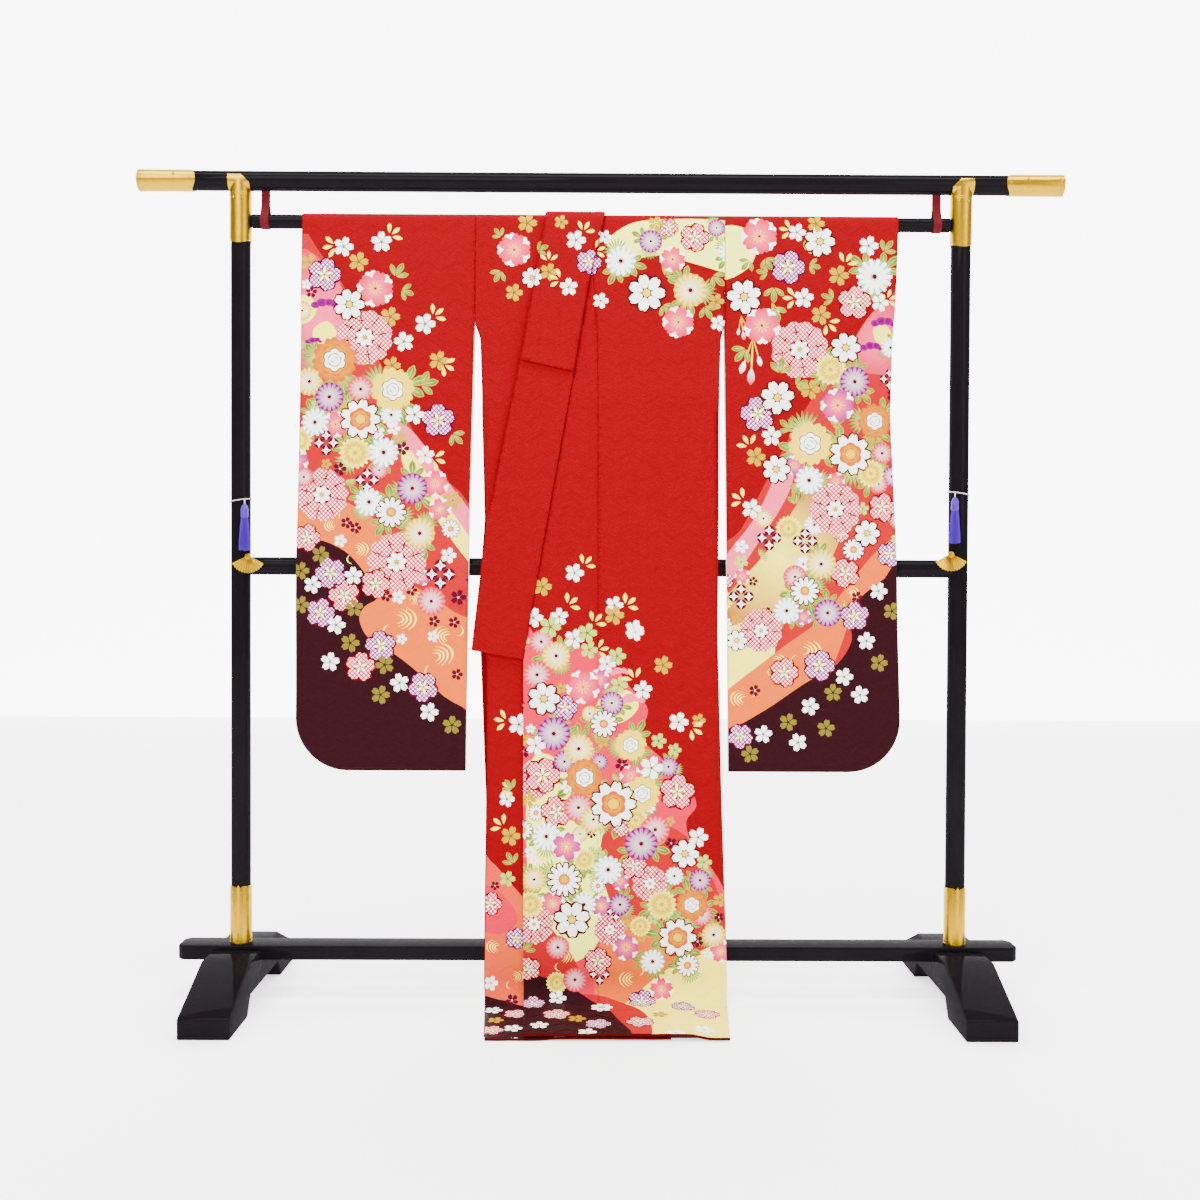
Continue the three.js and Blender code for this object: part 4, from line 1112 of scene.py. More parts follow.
class Motif(Enum):
    """The print's motifs: what draws each about its own middle at a radius of one, and its dyes."""

    WHITE_CHERRY = (small_blossom, Dye.WHITE, Dye.LEAF)
    GOLD_CHERRY = (small_blossom, Dye.GOLD, Dye.LEAF)
    OLIVE_CHERRY = (small_blossom, Dye.OLIVE, Dye.MAROON)
    PLUM_CHERRY = (small_blossom, Dye.PLUM, Dye.WHITE)
    GREEN_CHERRY = (small_blossom, Dye.PALE_LEAF, Dye.LEAF)
    SPRIG = (sprig, Dye.YELLOW)
    OUTLINED = (outlined,)
    SOFT = (soft_blossom, Dye.PINK)
    ORCHID = (soft_blossom, Dye.ORCHID)
    TIED_PINK = (tied_blossom, Dye.PINK, Dye.DEEP_RED)
    TIED_LAVENDER = (tied_blossom, Dye.ORCHID, Dye.PLUM)
    TIED_ROUND = (tied_round, Dye.PINK, Dye.DEEP_RED)
    ORANGE_PEONY = (peony, Dye.ORANGE)
    YELLOW_PEONY = (peony, Dye.YELLOW)
    WHITE_PEONY = (white_peony,)
    PURPLE_DAISY = (daisy, Dye.ORCHID)
    YELLOW_DAISY = (daisy, Dye.YELLOW)
    PINK_DAISY = (daisy, Dye.PINK)
    WHITE_DAISY = (white_daisy,)
    BOLD_DAISY = (bold_daisy,)
    POMPON = (pompon,)
    LEAVES = (leaf_trio,)
    SEDGE = (sedge,)
    SHIPPO = (shippo,)
    PUFF = (puff, Dye.PURPLE)
    PINK_PUFF = (puff, Dye.SOFT_PINK)
    RIPPLE = (ripple,)
    BUDS = (buds,)


LIBRARY = {motif: motif.value[0](*motif.value[1:]) for motif in Motif}


# ---------------------------------------------------------------- the print laid out on the cloth
# The layout is noted in chart steps: across from the left and down from the top of a 1200-step square that
# frames the whole rack from the front.
CHART_STEP = 1.949
CHART_MIDDLE, CHART_ROD = 600.5, 225.0
CHART_ROD_V = 1520.0


def charted(across: float, down: float) -> tuple[float, float]:
    """(x, v) in millimetres of a place on the chart."""
    return (across - CHART_MIDDLE) * CHART_STEP, CHART_ROD_V - (down - CHART_ROD) * CHART_STEP


def curve(*corners: tuple[float, float], steps: int = 4) -> Points:
    """A smooth closed outline through places on the chart.

    Args:
        corners: Places on the chart.
        steps: Places from one corner to the next.

    Returns:
        The outline in millimetres.
    """
    knots = np.array([charted(*c) for c in corners])
    count = len(knots)
    made = []
    for k in range(count):
        p0, p1, p2, p3 = (knots[(k + d) % count] for d in (-1, 0, 1, 2))
        for t in np.arange(steps) / steps:
            made.append(0.5 * (2 * p1 + (p2 - p0) * t + (2 * p0 - 5 * p1 + 4 * p2 - p3) * t ** 2
                               + (3 * p1 - p0 - 3 * p2 + p3) * t ** 3))
    return np.array(made)


@dataclass(frozen=True)
class Spot:
    """A motif at a place on the chart.

    Attributes:
        motif: What is drawn.
        across: Its place across.
        down: Its place down.
        size: Its radius in chart steps.
        turn: How far it is turned, in degrees.
    """

    motif: Motif
    across: float
    down: float
    size: float
    turn: float = 0.0


@dataclass
class Print:
    """A design in the order in which it is laid down.

    Attributes:
        fields: Grounds of colour, from the lowest.
        fill: Outline inside which loose motifs fill the gaps, or none.
        spots: Motifs placed one by one, from the lowest.
        fillers: Motifs that fill the gaps.
        seed: Start of the filling.
        count: How many places are tried.
    """

    fields: list[tuple[Points, Tint]] = field(default_factory=list)
    fill: list[Points] = field(default_factory=list)
    spots: list[Spot] = field(default_factory=list)
    fillers: tuple[Motif, ...] = ()
    seed: int = 1
    count: int = 0

    def patches(self) -> list[Patch]:
        """Everything that is printed, from the lowest, in millimetres on the cloth.

        Returns:
            The patches.
        """
        made = [Patch(points, tint, centre=tuple(points.mean(0)), reach=float(np.ptp(points, 0).max()) / 2)
                for points, tint in self.fields]
        taken = [(*charted(s.across, s.down), s.size * CHART_STEP) for s in self.spots]
        chance = random.Random(self.seed)
        loose: list[tuple] = []
        for area in self.fill:
            low, high = area.min(0), area.max(0)
            for _ in range(self.count):
                x, v = (chance.uniform(low[k], high[k]) for k in (0, 1))
                motif = chance.choice(self.fillers)
                size = chance.uniform(9, 14) if motif in SMALL else chance.uniform(15, 27)
                if not inside(area, x, v):
                    continue
                if any(math.hypot(x - a, v - b) < 0.72 * (r + size) for a, b, r in taken):
                    continue
                taken.append((x, v, size))
                loose.append((motif, x, v, size, chance.uniform(0, 6.3)))
        leafy: list[tuple] = []
        for spot in self.spots:
            if spot.motif in LEAFY:
                x, v = charted(spot.across, spot.down)
                base = chance.uniform(0, 6.3)
                size = spot.size * CHART_STEP
                for k in range(3):
                    turn = base + k * 2.1 + chance.uniform(-0.4, 0.4)
                    leafy.append((Motif.LEAVES if k else Motif.SEDGE, x + 0.62 * size * math.cos(turn),
                                  v + 0.62 * size * math.sin(turn), size * 0.95, turn))
        placed = [(s.motif, *charted(s.across, s.down), s.size * CHART_STEP, math.radians(s.turn))
                  for s in self.spots]
        for motif, x, v, size, turn in leafy + loose + placed:
            made.extend(patch.moved((x, v), size, turn) for patch in LIBRARY[motif])
        return made

    def mirrored(self, seed: int) -> "Print":
        """The design in mirror image about the middle line, for the back.

        Args:
            seed: Start of the filling.

        Returns:
            The mirrored design.
        """
        spots = [replace(s, across=2 * CHART_MIDDLE - s.across, turn=180 - s.turn) for s in self.spots]
        fields = [(points[::-1] * (-1, 1), tint) for points, tint in self.fields]
        return replace(self, fields=fields, fill=[p[::-1] * (-1, 1) for p in self.fill], spots=spots,
                       seed=seed)


SMALL = {Motif.WHITE_CHERRY, Motif.GOLD_CHERRY, Motif.OLIVE_CHERRY, Motif.PLUM_CHERRY, Motif.GREEN_CHERRY,
         Motif.SPRIG}
LEAFY = {Motif.ORANGE_PEONY, Motif.YELLOW_PEONY, Motif.WHITE_PEONY, Motif.POMPON, Motif.WHITE_DAISY,
         Motif.PURPLE_DAISY, Motif.BOLD_DAISY, Motif.YELLOW_DAISY}


def inside(area: Points, x: float, v: float) -> bool:
    """Tests whether a place lies inside an outline.

    Args:
        area: The outline.
        x: The place's x.
        v: The place's v.

    Returns:
        Whether it does.
    """
    x1, v1 = area[:, 0], area[:, 1]
    x2, v2 = np.roll(x1, -1), np.roll(v1, -1)
    crosses = (v1 > v) != (v2 > v)
    at = x1 + (v - v1) * (x2 - x1) / np.where(v2 == v1, 1e-9, v2 - v1)
    return bool(np.count_nonzero(crosses & (x < at)) % 2)


# ---------------------------------------------------------------- meshes of the cloth
def counter_clockwise(points: Points) -> Points:
    """The outline in counter-clockwise order.

    Args:
        points: The outline.

    Returns:
        The outline.
    """
    x, y = points[:, 0], points[:, 1]
    area = np.sum(x * np.roll(y, -1) - np.roll(x, -1) * y)
    return points if area > 0 else points[::-1]


def densified(points: Points, step: float = 8.0) -> Points:
    """A closed outline with places added, so that none of its sides is longer than a step.

    Args:
        points: The outline.
        step: The longest side that is left.

    Returns:
        The denser outline.
    """
    ahead = np.roll(points, -1, axis=0)
    made = []
    for start, end in zip(points, ahead, strict=True):
        count = max(1, math.ceil(float(np.hypot(*(end - start))) / step))
        made.extend(start + (end - start) * k / count for k in range(count))
    return np.array(made)


MARGIN = 2.0  # how far beyond the cut a patch is still kept


@dataclass
class Weaver:
    """Turns a panel's flat cut and its print into a mesh in the panel's form.

    Attributes:
        panel: The panel.
        front: Print on its front.
        back: Print on its back.
        ground: Colour of the bare cloth.
        spacing: Distance between places on the bare cloth.
    """

    panel: Panel
    front: Print | None = None
    back: Print | None = None
    ground: Tint = Tint(Dye.RED)
    spacing: float = 9.0

    def flat_mesh(self) -> tuple[Points, Points, list[int], list[Patch]]:
        """Meshes the flat cut, with the outline of every patch in it.

        Returns:
            Corners, triangles, the patch that shows on each triangle (or -1), and the patches.
        """
        outline = densified(counter_clockwise(self.panel.outline))
        low, high = outline.min(0), outline.max(0)
        turn = getattr(self.panel, "top", TOP_V)
        patches = self.front.patches() if self.front else []
        if self.back:
            for patch in self.back.patches():
                points = patch.points * (1, -1) + (0, 2 * turn)
                centre = (patch.centre[0], 2 * turn - patch.centre[1])
                patches.append(replace(patch, points=points, centre=centre))
        near_low, near_high = low - MARGIN, high + MARGIN
        kept = [p for p in patches if (p.points.max(0) > near_low).all()
                and (p.points.min(0) < near_high).all()]
        corners: list[tuple[float, float]] = [tuple(p) for p in outline]
        faces = [list(range(len(outline)))]
        for patch in kept:
            start = len(corners)
            corners.extend(tuple(p) for p in densified(counter_clockwise(patch.points)))
            faces.append(list(range(start, len(corners))))
        xs = np.arange(low[0] + self.spacing / 2, high[0], self.spacing)
        for w in self.levels(low[1], high[1], turn):
            corners.extend((float(x), float(w)) for x in xs)
        made = delaunay_2d_cdt([Vector(c) for c in corners], [], faces, 1, 1e-4, True)
        points = np.array([tuple(v) for v in made[0]])
        triangles, shown = [], []
        for face, owners in zip(made[2], made[5], strict=True):
            if 0 not in owners:
                continue
            triangles.append(face)
            shown.append(max(owners) - 1)
        return points, np.array(triangles), shown, kept

    def levels(self, low: float, high: float, turn: float) -> list[float]:
        """Places of the rows: closer where the cloth bends over the rod, at its tuck and on the floor.

        Args:
            low: The first place.
            high: The last place.
            turn: Where the cloth turns over the rod.

        Returns:
            The places.
        """
        made, w = [], low + self.spacing / 2
        while w < high:
            made.append(w)
            v = w if w < turn else 2 * turn - w
            near_rod = abs(w - turn) < 42
            bends = v < 75 or 1150 < v < 1240
            w += 3.0 if near_rod else 5.0 if bends else self.spacing
        return made

    def build(self, name: str, thick: float) -> Piece:
        """Makes the cloth's outer face with its print, and the turned edge round it.

        Args:
            name: Name of the piece.
            thick: How far the edge turns in.

        Returns:
            The piece.
        """
        flat, triangles, shown, patches = self.flat_mesh()
        places = self.panel.outer(flat[:, 0], flat[:, 1])
        normals = self.panel.normal(flat[:, 0], flat[:, 1])
        colours, marks = self.paint(flat, triangles, shown, patches)
        edges = open_edges(triangles)
        rim = sorted({k for edge in edges for k in edge})
        where = {k: len(places) + n for n, k in enumerate(rim)}
        rim_places = places[rim] - normals[rim] * thick
        middle = self.panel.sewn_to(flat[rim, 0], flat[rim, 1])
        if middle is not None:
            sewn = ~np.isnan(middle[:, 0])
            rim_places[sewn] = (middle + normals[rim] * (self.panel.wall / 2))[sewn]
        quads = [(b, a, where[a], where[b]) for a, b in edges]
        obj, loops = cloth(name, np.vstack([places, rim_places]), triangles.tolist() + quads,
                           np.vstack([flat, flat[rim]]))
        count = len(triangles) * 3
        print_colours = np.ones((len(loops), 4))
        print_colours[:count, :3] = colours.reshape(-1, 3)
        print_colours[count:, :3] = self.rim_colours(edges, triangles, colours)
        mark_colours = np.zeros((len(loops), 4))
        mark_colours[:, 3] = 1
        mark_colours[:count, :2] = np.repeat(marks, 3, axis=0)
        for word, values in (("Print", print_colours), ("Marks", mark_colours)):
            attribute = obj.data.color_attributes.new(word, "FLOAT_COLOR", "CORNER")
            attribute.data.foreach_set("color", values.ravel())
        log.info("%s: %d triangles of printed cloth", name, len(triangles) + 2 * len(quads))
        return obj

    def paint(self, flat: Points, triangles: Points, shown: list[int],
              patches: list[Patch]) -> tuple[Points, Points]:
        """Lays the patches' colours on the triangles.

        Args:
            flat: Corners on the flat cloth.
            triangles: The corners of each triangle.
            shown: The patch that shows on each, or -1.
            patches: The patches.

        Returns:
            Colour of each triangle's corners, and each triangle's dots and gilding.
        """
        shown = np.array(shown)
        colours = np.empty((len(triangles), 3, 3))
        marks = np.zeros((len(triangles), 2))
        colours[:] = np.array(self.ground.inner.value)
        order = np.argsort(shown, kind="stable")
        starts = np.searchsorted(shown[order], np.arange(len(patches) + 1))
        for k, patch in enumerate(patches):
            mine = order[starts[k]:starts[k + 1]]
            if not len(mine):
                continue
            corner = flat[triangles[mine]].reshape(-1, 2)
            share = np.linalg.norm(corner - patch.centre, axis=1) / max(patch.reach, 1e-6)
            colours[mine] = patch.tint.at(share).reshape(-1, 3, 3)
            marks[mine] = (patch.dots, patch.gilt)
        return colours, marks

    @staticmethod
    def rim_colours(edges: list[tuple[int, int]], triangles: Points, colours: Points) -> Points:
        """Colour of each corner of the turned edge: that of the cloth beside it.

        Args:
            edges: The open edges.
            triangles: The corners of each triangle.
            colours: Colours of the cloth.

        Returns:
            The colours.
        """
        own = {}
        for t, triangle in enumerate(triangles.tolist()):
            for k in range(3):
                own[(triangle[k], triangle[(k + 1) % 3])] = (t, k)
        made = []
        for edge in edges:
            t, k = own[edge]
            a, b = colours[t, k], colours[t, (k + 1) % 3]
            made.extend([b, a, a, b])
        return np.array(made).reshape(-1, 3)


def open_edges(triangles: Points) -> list[tuple[int, int]]:
    """Edges with a triangle on one side only, in that triangle's order.

    Args:
        triangles: The corners of each triangle.

    Returns:
        The edges.
    """
    seen: dict[tuple[int, int], tuple[int, int]] = {}
    for triangle in triangles.tolist():
        for k in range(3):
            a, b = triangle[k], triangle[(k + 1) % 3]
            key = (min(a, b), max(a, b))
            if key in seen:
                seen[key] = (-1, -1)
            else:
                seen[key] = (a, b)
    return [edge for edge in seen.values() if edge[0] >= 0]


def linked(name: str, data: bpy.types.ID) -> Piece:
    """An object in the scene with a mesh or other data.

    Args:
        name: Its name.
        data: The data.

    Returns:
        The object.
    """
    obj = bpy.data.objects.new(name, data)
    bpy.context.scene.collection.objects.link(obj)
    return obj


def cloth(name: str, vertices: Points, faces: list, flat: Points) -> tuple[Piece, Points]:
    """Makes a smooth piece of cloth whose UV map is its flat cut.

    Args:
        name: Its name.
        vertices: Its corners in millimetres.
        faces: Its faces.
        flat: Each corner's place on the cut.

    Returns:
        The piece, and the corner that each of its mesh loops is on.
    """
    mesh = bpy.data.meshes.new(name)
    mesh.from_pydata((vertices * MM).tolist(), [], faces)
    loops = np.zeros(len(mesh.loops), int)
    mesh.loops.foreach_get("vertex_index", loops)
    mesh.uv_layers.new(name="Cloth").data.foreach_set("uv", (flat[loops] * MM).ravel())
    mesh.polygons.foreach_set("use_smooth", [True] * len(mesh.polygons))
    mesh.update()
    return linked(name, mesh), loops


LINING_SPACING = 8.0


def lining(panel: Panel, name: str) -> Piece:
    """Makes the plain inner face of a panel, which looks inwards.

    Args:
        panel: The panel.
        name: Name of the piece.

    Returns:
        The piece.
    """
    flat, triangles, _, _ = Weaver(panel, spacing=LINING_SPACING).flat_mesh()
    x, w = flat[:, 0], flat[:, 1]
    places = panel.middle(x, w) - panel.normal(x, w) * (panel.wall / 2 - 0.05)
    return cloth(name, places, triangles[:, ::-1].tolist(), flat)[0]


M = Motif
COLLAGE = (M.PINK_DAISY, M.YELLOW_DAISY, M.WHITE_DAISY, M.TIED_PINK, M.POMPON, M.SOFT, M.ORCHID,
           M.BOLD_DAISY, M.LEAVES, M.SEDGE, M.WHITE_CHERRY, M.GOLD_CHERRY, M.PLUM_CHERRY, M.GREEN_CHERRY,
           M.PURPLE_DAISY)
SCATTER = (M.WHITE_CHERRY, M.GOLD_CHERRY, M.PLUM_CHERRY, M.WHITE_CHERRY)


def spots(motif: Motif, *places: Place) -> list[Spot]:
    """Spots of one motif.

    Args:
        motif: The motif.
        places: (across, down, size) or (across, down, size, turn) of each.

    Returns:
        The spots.
    """
    return [Spot(motif, *place) for place in places]


def sleeve_left_print() -> Print:
    """Front of the left sleeve: a slanting drift of flowers over water, above a dark hem.

    Returns:
        The design.
    """
    drift = curve((294, 262), (322, 258), (342, 286), (362, 330), (392, 388), (412, 430), (440, 474),
                  (476, 528), (476, 720), (294, 640))
    fields = [
        (drift, Tint(Dye.CORAL)),
        (curve((290, 255), (326, 266), (344, 300), (342, 345), (318, 372), (290, 380)),
         Tint(Dye.SOFT_PINK, Dye.PINK)),
        (curve((292, 300), (306, 296), (316, 308), (308, 322), (292, 322)), Tint(Dye.CREAM)),
        (curve((312, 330), (326, 322), (336, 334), (326, 346), (314, 344)), Tint(Dye.CREAM)),
        (curve((392, 420), (416, 436), (446, 480), (478, 524), (478, 562), (444, 520), (404, 462)),
         Tint(Dye.SOFT_PINK)),
        (curve((404, 446), (424, 470), (452, 512), (478, 552), (478, 572), (440, 524), (404, 470)),
         Tint(Dye.CREAM)),
        (curve((290, 502), (330, 498), (352, 506), (374, 520), (386, 546), (398, 574), (430, 596),
               (454, 612), (478, 634), (478, 730), (290, 640)), Tint(Dye.SALMON)),
        (curve((288, 566), (304, 550), (318, 541), (345, 552), (363, 571), (373, 589), (377, 600),
               (366, 607), (360, 618), (364, 632), (374, 643), (396, 656), (418, 673), (445, 697),
               (478, 726), (478, 812), (288, 812)), Tint(Dye.MAROON)),
    ]
    placed = spots(M.PUFF, (322, 305, 13), (312, 342, 9))
    placed += spots(M.RIPPLE, (352, 552, 15, 10), (392, 620, 22), (454, 640, 18, 160), (430, 660, 22, 20),
                    (338, 524, 12, 200), (408, 604, 14, 30))
    placed += spots(M.PLUM_CHERRY, (347, 524, 6), (356, 529, 6), (412, 591, 6), (387, 597, 6),
                    (435, 622, 6), (455, 623, 6), (458, 675, 6), (459, 598, 8), (402, 449, 7),
                    (340, 470, 7))
    placed += spots(M.GOLD_CHERRY, (357, 262, 10), (308, 263, 9), (389, 317, 10), (391, 366, 9),
                    (438, 361, 10), (453, 501, 9.5), (399, 436, 7))
    placed += spots(M.TIED_ROUND, (364, 338, 28), (322, 496, 27, 20), (397, 563, 30, 10))
    placed += spots(M.TIED_PINK, (307, 539, 14), (376, 585, 15), (345, 597, 16, 30), (361, 668, 15, 10))
    placed += spots(M.TIED_LAVENDER, (323, 275, 17), (438, 421, 17, 20), (331, 574, 16, 40), (321, 614, 15),
                    (381, 647, 15.5, 25), (424, 688, 15.5, 50))
    placed += spots(M.SHIPPO, (326, 444, 12), (367, 481, 11), (441, 575, 14))
    placed += spots(M.LEAVES, (394, 277, 13, 60), (400, 290, 11, -20), (420, 385, 15, 10),
                    (452, 434, 12, -45), (314, 356, 13, 130), (343, 380, 12, -60))
    placed += spots(M.PINK_DAISY, (360, 390, 13), (432, 602, 14.5), (303, 478, 10))
    placed += spots(M.YELLOW_DAISY, (308, 382, 14), (420, 534, 15.5))
    placed += spots(M.PURPLE_DAISY, (329, 398, 15), (412, 489, 16))
    placed += spots(M.WHITE_DAISY, (314, 423, 14), (383, 453, 15), (369, 503, 14))
    placed += spots(M.POMPON, (355, 454, 16))
    placed += spots(M.BOLD_DAISY, (391, 513, 16))
    placed += spots(M.ORANGE_PEONY, (334, 361, 23))
    placed += spots(M.YELLOW_PEONY, (392, 390, 22))
    placed += spots(M.WHITE_PEONY, (360, 420, 21))
    placed += spots(M.SOFT, (374, 289, 18.5))
    placed += spots(M.OUTLINED, (348, 305, 16.5))
    placed += spots(M.WHITE_CHERRY, (342, 247, 10), (380, 242, 10.5, 20), (424, 324, 10.5),
                    (403, 342, 10, 30), (414, 415, 10), (425, 456, 9.5, 15), (341, 542, 6.5), (313, 586, 9),
                    (354, 577, 9, 20), (337, 626, 9.5), (331, 663, 9.5, 10), (400, 684, 9.5, 30),
                    (430, 713, 9.5), (449, 556, 8), (399, 598, 7), (402, 640, 5.5), (434, 637, 6),
                    (393, 429, 7))
    placed += spots(M.OLIVE_CHERRY, (321, 556, 9), (301, 572, 9), (301, 606, 9), (355, 609, 9, 20),
                    (351, 644, 9.5), (385, 666, 9.5, 40), (381, 696, 9.5), (453, 726, 9.5, 15))
    placed += spots(M.SPRIG, (334, 246, 12, 190), (388, 236, 12, 40), (432, 317, 12, 40),
                    (442, 364, 12, -30), (433, 459, 12, -20))
    crowd = curve((296, 300), (326, 300), (352, 344), (380, 386), (404, 424), (436, 472), (474, 532),
                  (474, 590), (432, 588), (400, 566), (386, 540), (372, 516), (350, 502), (296, 506))
    return Print(fields, [crowd], placed, COLLAGE, 3, 300)


def sleeve_right_print() -> Print:
    """Front of the right sleeve: blossoms that hang down to a drift of flowers, above a dark hem.

    Returns:
        The design.
    """
    drift = curve((910, 300), (884, 306), (862, 326), (848, 352), (822, 384), (802, 414), (784, 448),
                  (768, 478), (742, 528), (720, 566), (720, 740), (910, 600))
    fields = [
        (drift, Tint(Dye.CORAL)),
        (curve((720, 228), (744, 226), (756, 244), (748, 266), (720, 276)), Tint(Dye.MIST)),
        (curve((912, 296), (880, 304), (858, 332), (846, 362), (880, 372), (912, 360)),
         Tint(Dye.SOFT_PINK, Dye.PINK)),
        (curve((874, 326), (888, 322), (894, 334), (880, 342)), Tint(Dye.CREAM)),
        (curve((800, 430), (782, 462), (756, 516), (720, 566), (720, 596), (760, 540), (792, 486)),
         Tint(Dye.SOFT_PINK)),
        (curve((826, 468), (800, 500), (770, 548), (720, 606), (720, 640), (790, 600), (840, 540)),
         Tint(Dye.CREAM, Dye.CORAL)),
        (curve((720, 640), (748, 622), (776, 640), (764, 684), (720, 706)), Tint(Dye.CREAM)),
        (curve((912, 530), (880, 548), (852, 580), (820, 620), (780, 650), (720, 700), (720, 742),
               (820, 690), (860, 600), (912, 580)), Tint(Dye.SALMON)),
        (curve((914, 556), (886, 577), (861, 597), (851, 618), (853, 640), (838, 664), (808, 682),
               (776, 704), (746, 722), (716, 742), (716, 812), (914, 812)), Tint(Dye.MAROON)),
    ]
    placed = spots(M.BUDS, (741, 314, 24, 10), (753, 336, 46), (772, 300, 20, 20))
    placed += spots(M.PUFF, (884, 320, 13), (872, 345, 12))
    placed += spots(M.RIPPLE, (800, 650, 20), (750, 700, 16, 170), (772, 664, 14, 20), (846, 596, 13, 30))
    placed += spots(M.PLUM_CHERRY, (858, 596, 6), (742, 640, 7), (768, 612, 6), (756, 690, 6), (896, 392, 7))
    placed += spots(M.TIED_ROUND, (800, 348, 29), (836, 508, 26, 15), (762, 630, 22, 30))
    placed += spots(M.TIED_LAVENDER, (788, 265, 17.5), (758, 413, 18, 30), (891, 553, 13),
                    (856, 615, 15, 20), (821, 665, 16), (742, 736, 13, 50))
    placed += spots(M.TIED_PINK, (855, 300, 17.5, 10), (884, 506, 15), (846, 572, 15, 40), (786, 672, 15))
    placed += spots(M.SHIPPO, (770, 537, 12), (806, 540, 12), (742, 596, 12), (892, 376, 10))
    placed += spots(M.LEAVES, (765, 256, 11, -60), (750, 258, 11, -130), (806, 249, 11, 45),
                    (809, 263, 10, -10), (768, 271, 10, 170), (774, 285, 13, -90), (884, 249, 12, 50),
                    (834, 297, 11, 160), (774, 305, 13, -70), (746, 347, 14, -130), (780, 372, 14, 80),
                    (796, 384, 11, 20), (792, 428, 12, 140), (832, 424, 12, 30))
    placed += spots(M.PINK_DAISY, (884, 451, 11), (796, 576, 12), (880, 482, 10))
    placed += spots(M.POMPON, (831, 368, 15.5), (872, 472, 14))
    placed += spots(M.PURPLE_DAISY, (855, 380, 15.5), (829, 612, 14))
    placed += spots(M.WHITE_DAISY, (875, 274, 18), (810, 479, 14), (788, 610, 13), (893, 344, 10))
    placed += spots(M.YELLOW_DAISY, (822, 563, 15))
    placed += spots(M.BOLD_DAISY, (806, 590, 15))
    placed += spots(M.ORCHID, (838, 404, 17))
    placed += spots(M.ORANGE_PEONY, (876, 419, 18))
    placed += spots(M.YELLOW_PEONY, (811, 442, 22))
    placed += spots(M.WHITE_PEONY, (851, 453, 22))
    placed += spots(M.SOFT, (759, 234, 18.5), (762, 324, 18.5, 20))
    placed += spots(M.OUTLINED, (820, 239, 16.5), (744, 295, 18.5, 20), (846, 346, 16), (778, 396, 18, 10),
                    (777, 468, 15), (868, 532, 14), (738, 640, 11))
    placed += spots(M.WHITE_CHERRY, (797, 230, 9), (869, 243, 10), (804, 296, 10, 10), (881, 300, 9),
                    (772, 435, 10, 20), (752, 508, 10), (742, 546, 7), (880, 590, 9), (868, 640, 9, 15),
                    (846, 676, 9), (862, 694, 9, 30), (812, 706, 9), (765, 734, 9, 10), (800, 742, 9, 40))
    placed += spots(M.GOLD_CHERRY, (816, 221, 9), (839, 273, 10.5), (821, 313, 10), (811, 388, 10),
                    (756, 456, 10))
    placed += spots(M.OLIVE_CHERRY, (894, 610, 9), (881, 662, 9), (835, 692, 9, 20), (790, 722, 9),
                    (752, 754, 9, 30), (828, 728, 9, 10))
    placed += spots(M.SPRIG, (791, 228, 11, 170), (845, 262, 12, 60), (796, 296, 12, 180),
                    (827, 320, 12, -45), (888, 297, 10, 20), (750, 446, 12, 120), (744, 500, 12, 150))
    crowd = curve((902, 330), (868, 350), (838, 384), (812, 412), (792, 446), (776, 480), (748, 530),
                  (724, 570), (724, 636), (770, 632), (806, 618), (846, 582), (870, 550), (902, 530))
    return Print(fields, [crowd], placed, COLLAGE, 5, 300)


def shoulder_spots() -> list[Spot]:
    """Flowers on the shoulders and the collar.

    Returns:
        Their spots.
    """
    placed = spots(M.LEAVES, (664, 275, 14, 40), (712, 274, 13, -40), (630, 275, 12, 120),
                   (704, 305, 12, -60), (500, 270, 11, -120), (536, 250, 10, 20), (500, 236, 9, 130),
                   (662, 304, 11, -50))
    placed += spots(M.TIED_PINK, (694, 236, 15), (668, 226, 10))
    placed += spots(M.TIED_LAVENDER, (588, 262, 13))
    placed += spots(M.WHITE_DAISY, (620, 260, 15), (730, 250, 12))
    placed += spots(M.PURPLE_DAISY, (650, 240, 12), (716, 226, 9))
    placed += spots(M.YELLOW_DAISY, (690, 289, 17))
    placed += spots(M.SOFT, (672, 258, 13), (678, 321, 16), (513, 249, 17))
    placed += spots(M.OUTLINED, (646, 292, 20), (740, 296, 18), (531, 277, 11))
    placed += spots(M.WHITE_CHERRY, (575, 240, 10), (568, 287, 9, 20), (600, 300, 8), (718, 322, 8),
                    (604, 236, 7))
    placed += spots(M.GOLD_CHERRY, (526, 222, 10), (548, 272, 9), (513, 292, 9), (716, 300, 8),
                    (655, 222, 8), (560, 222, 7))
    placed += spots(M.SPRIG, (582, 232, 11, 60), (560, 280, 11, 160), (594, 250, 10, 20), (548, 262, 10, 90))
    return placed


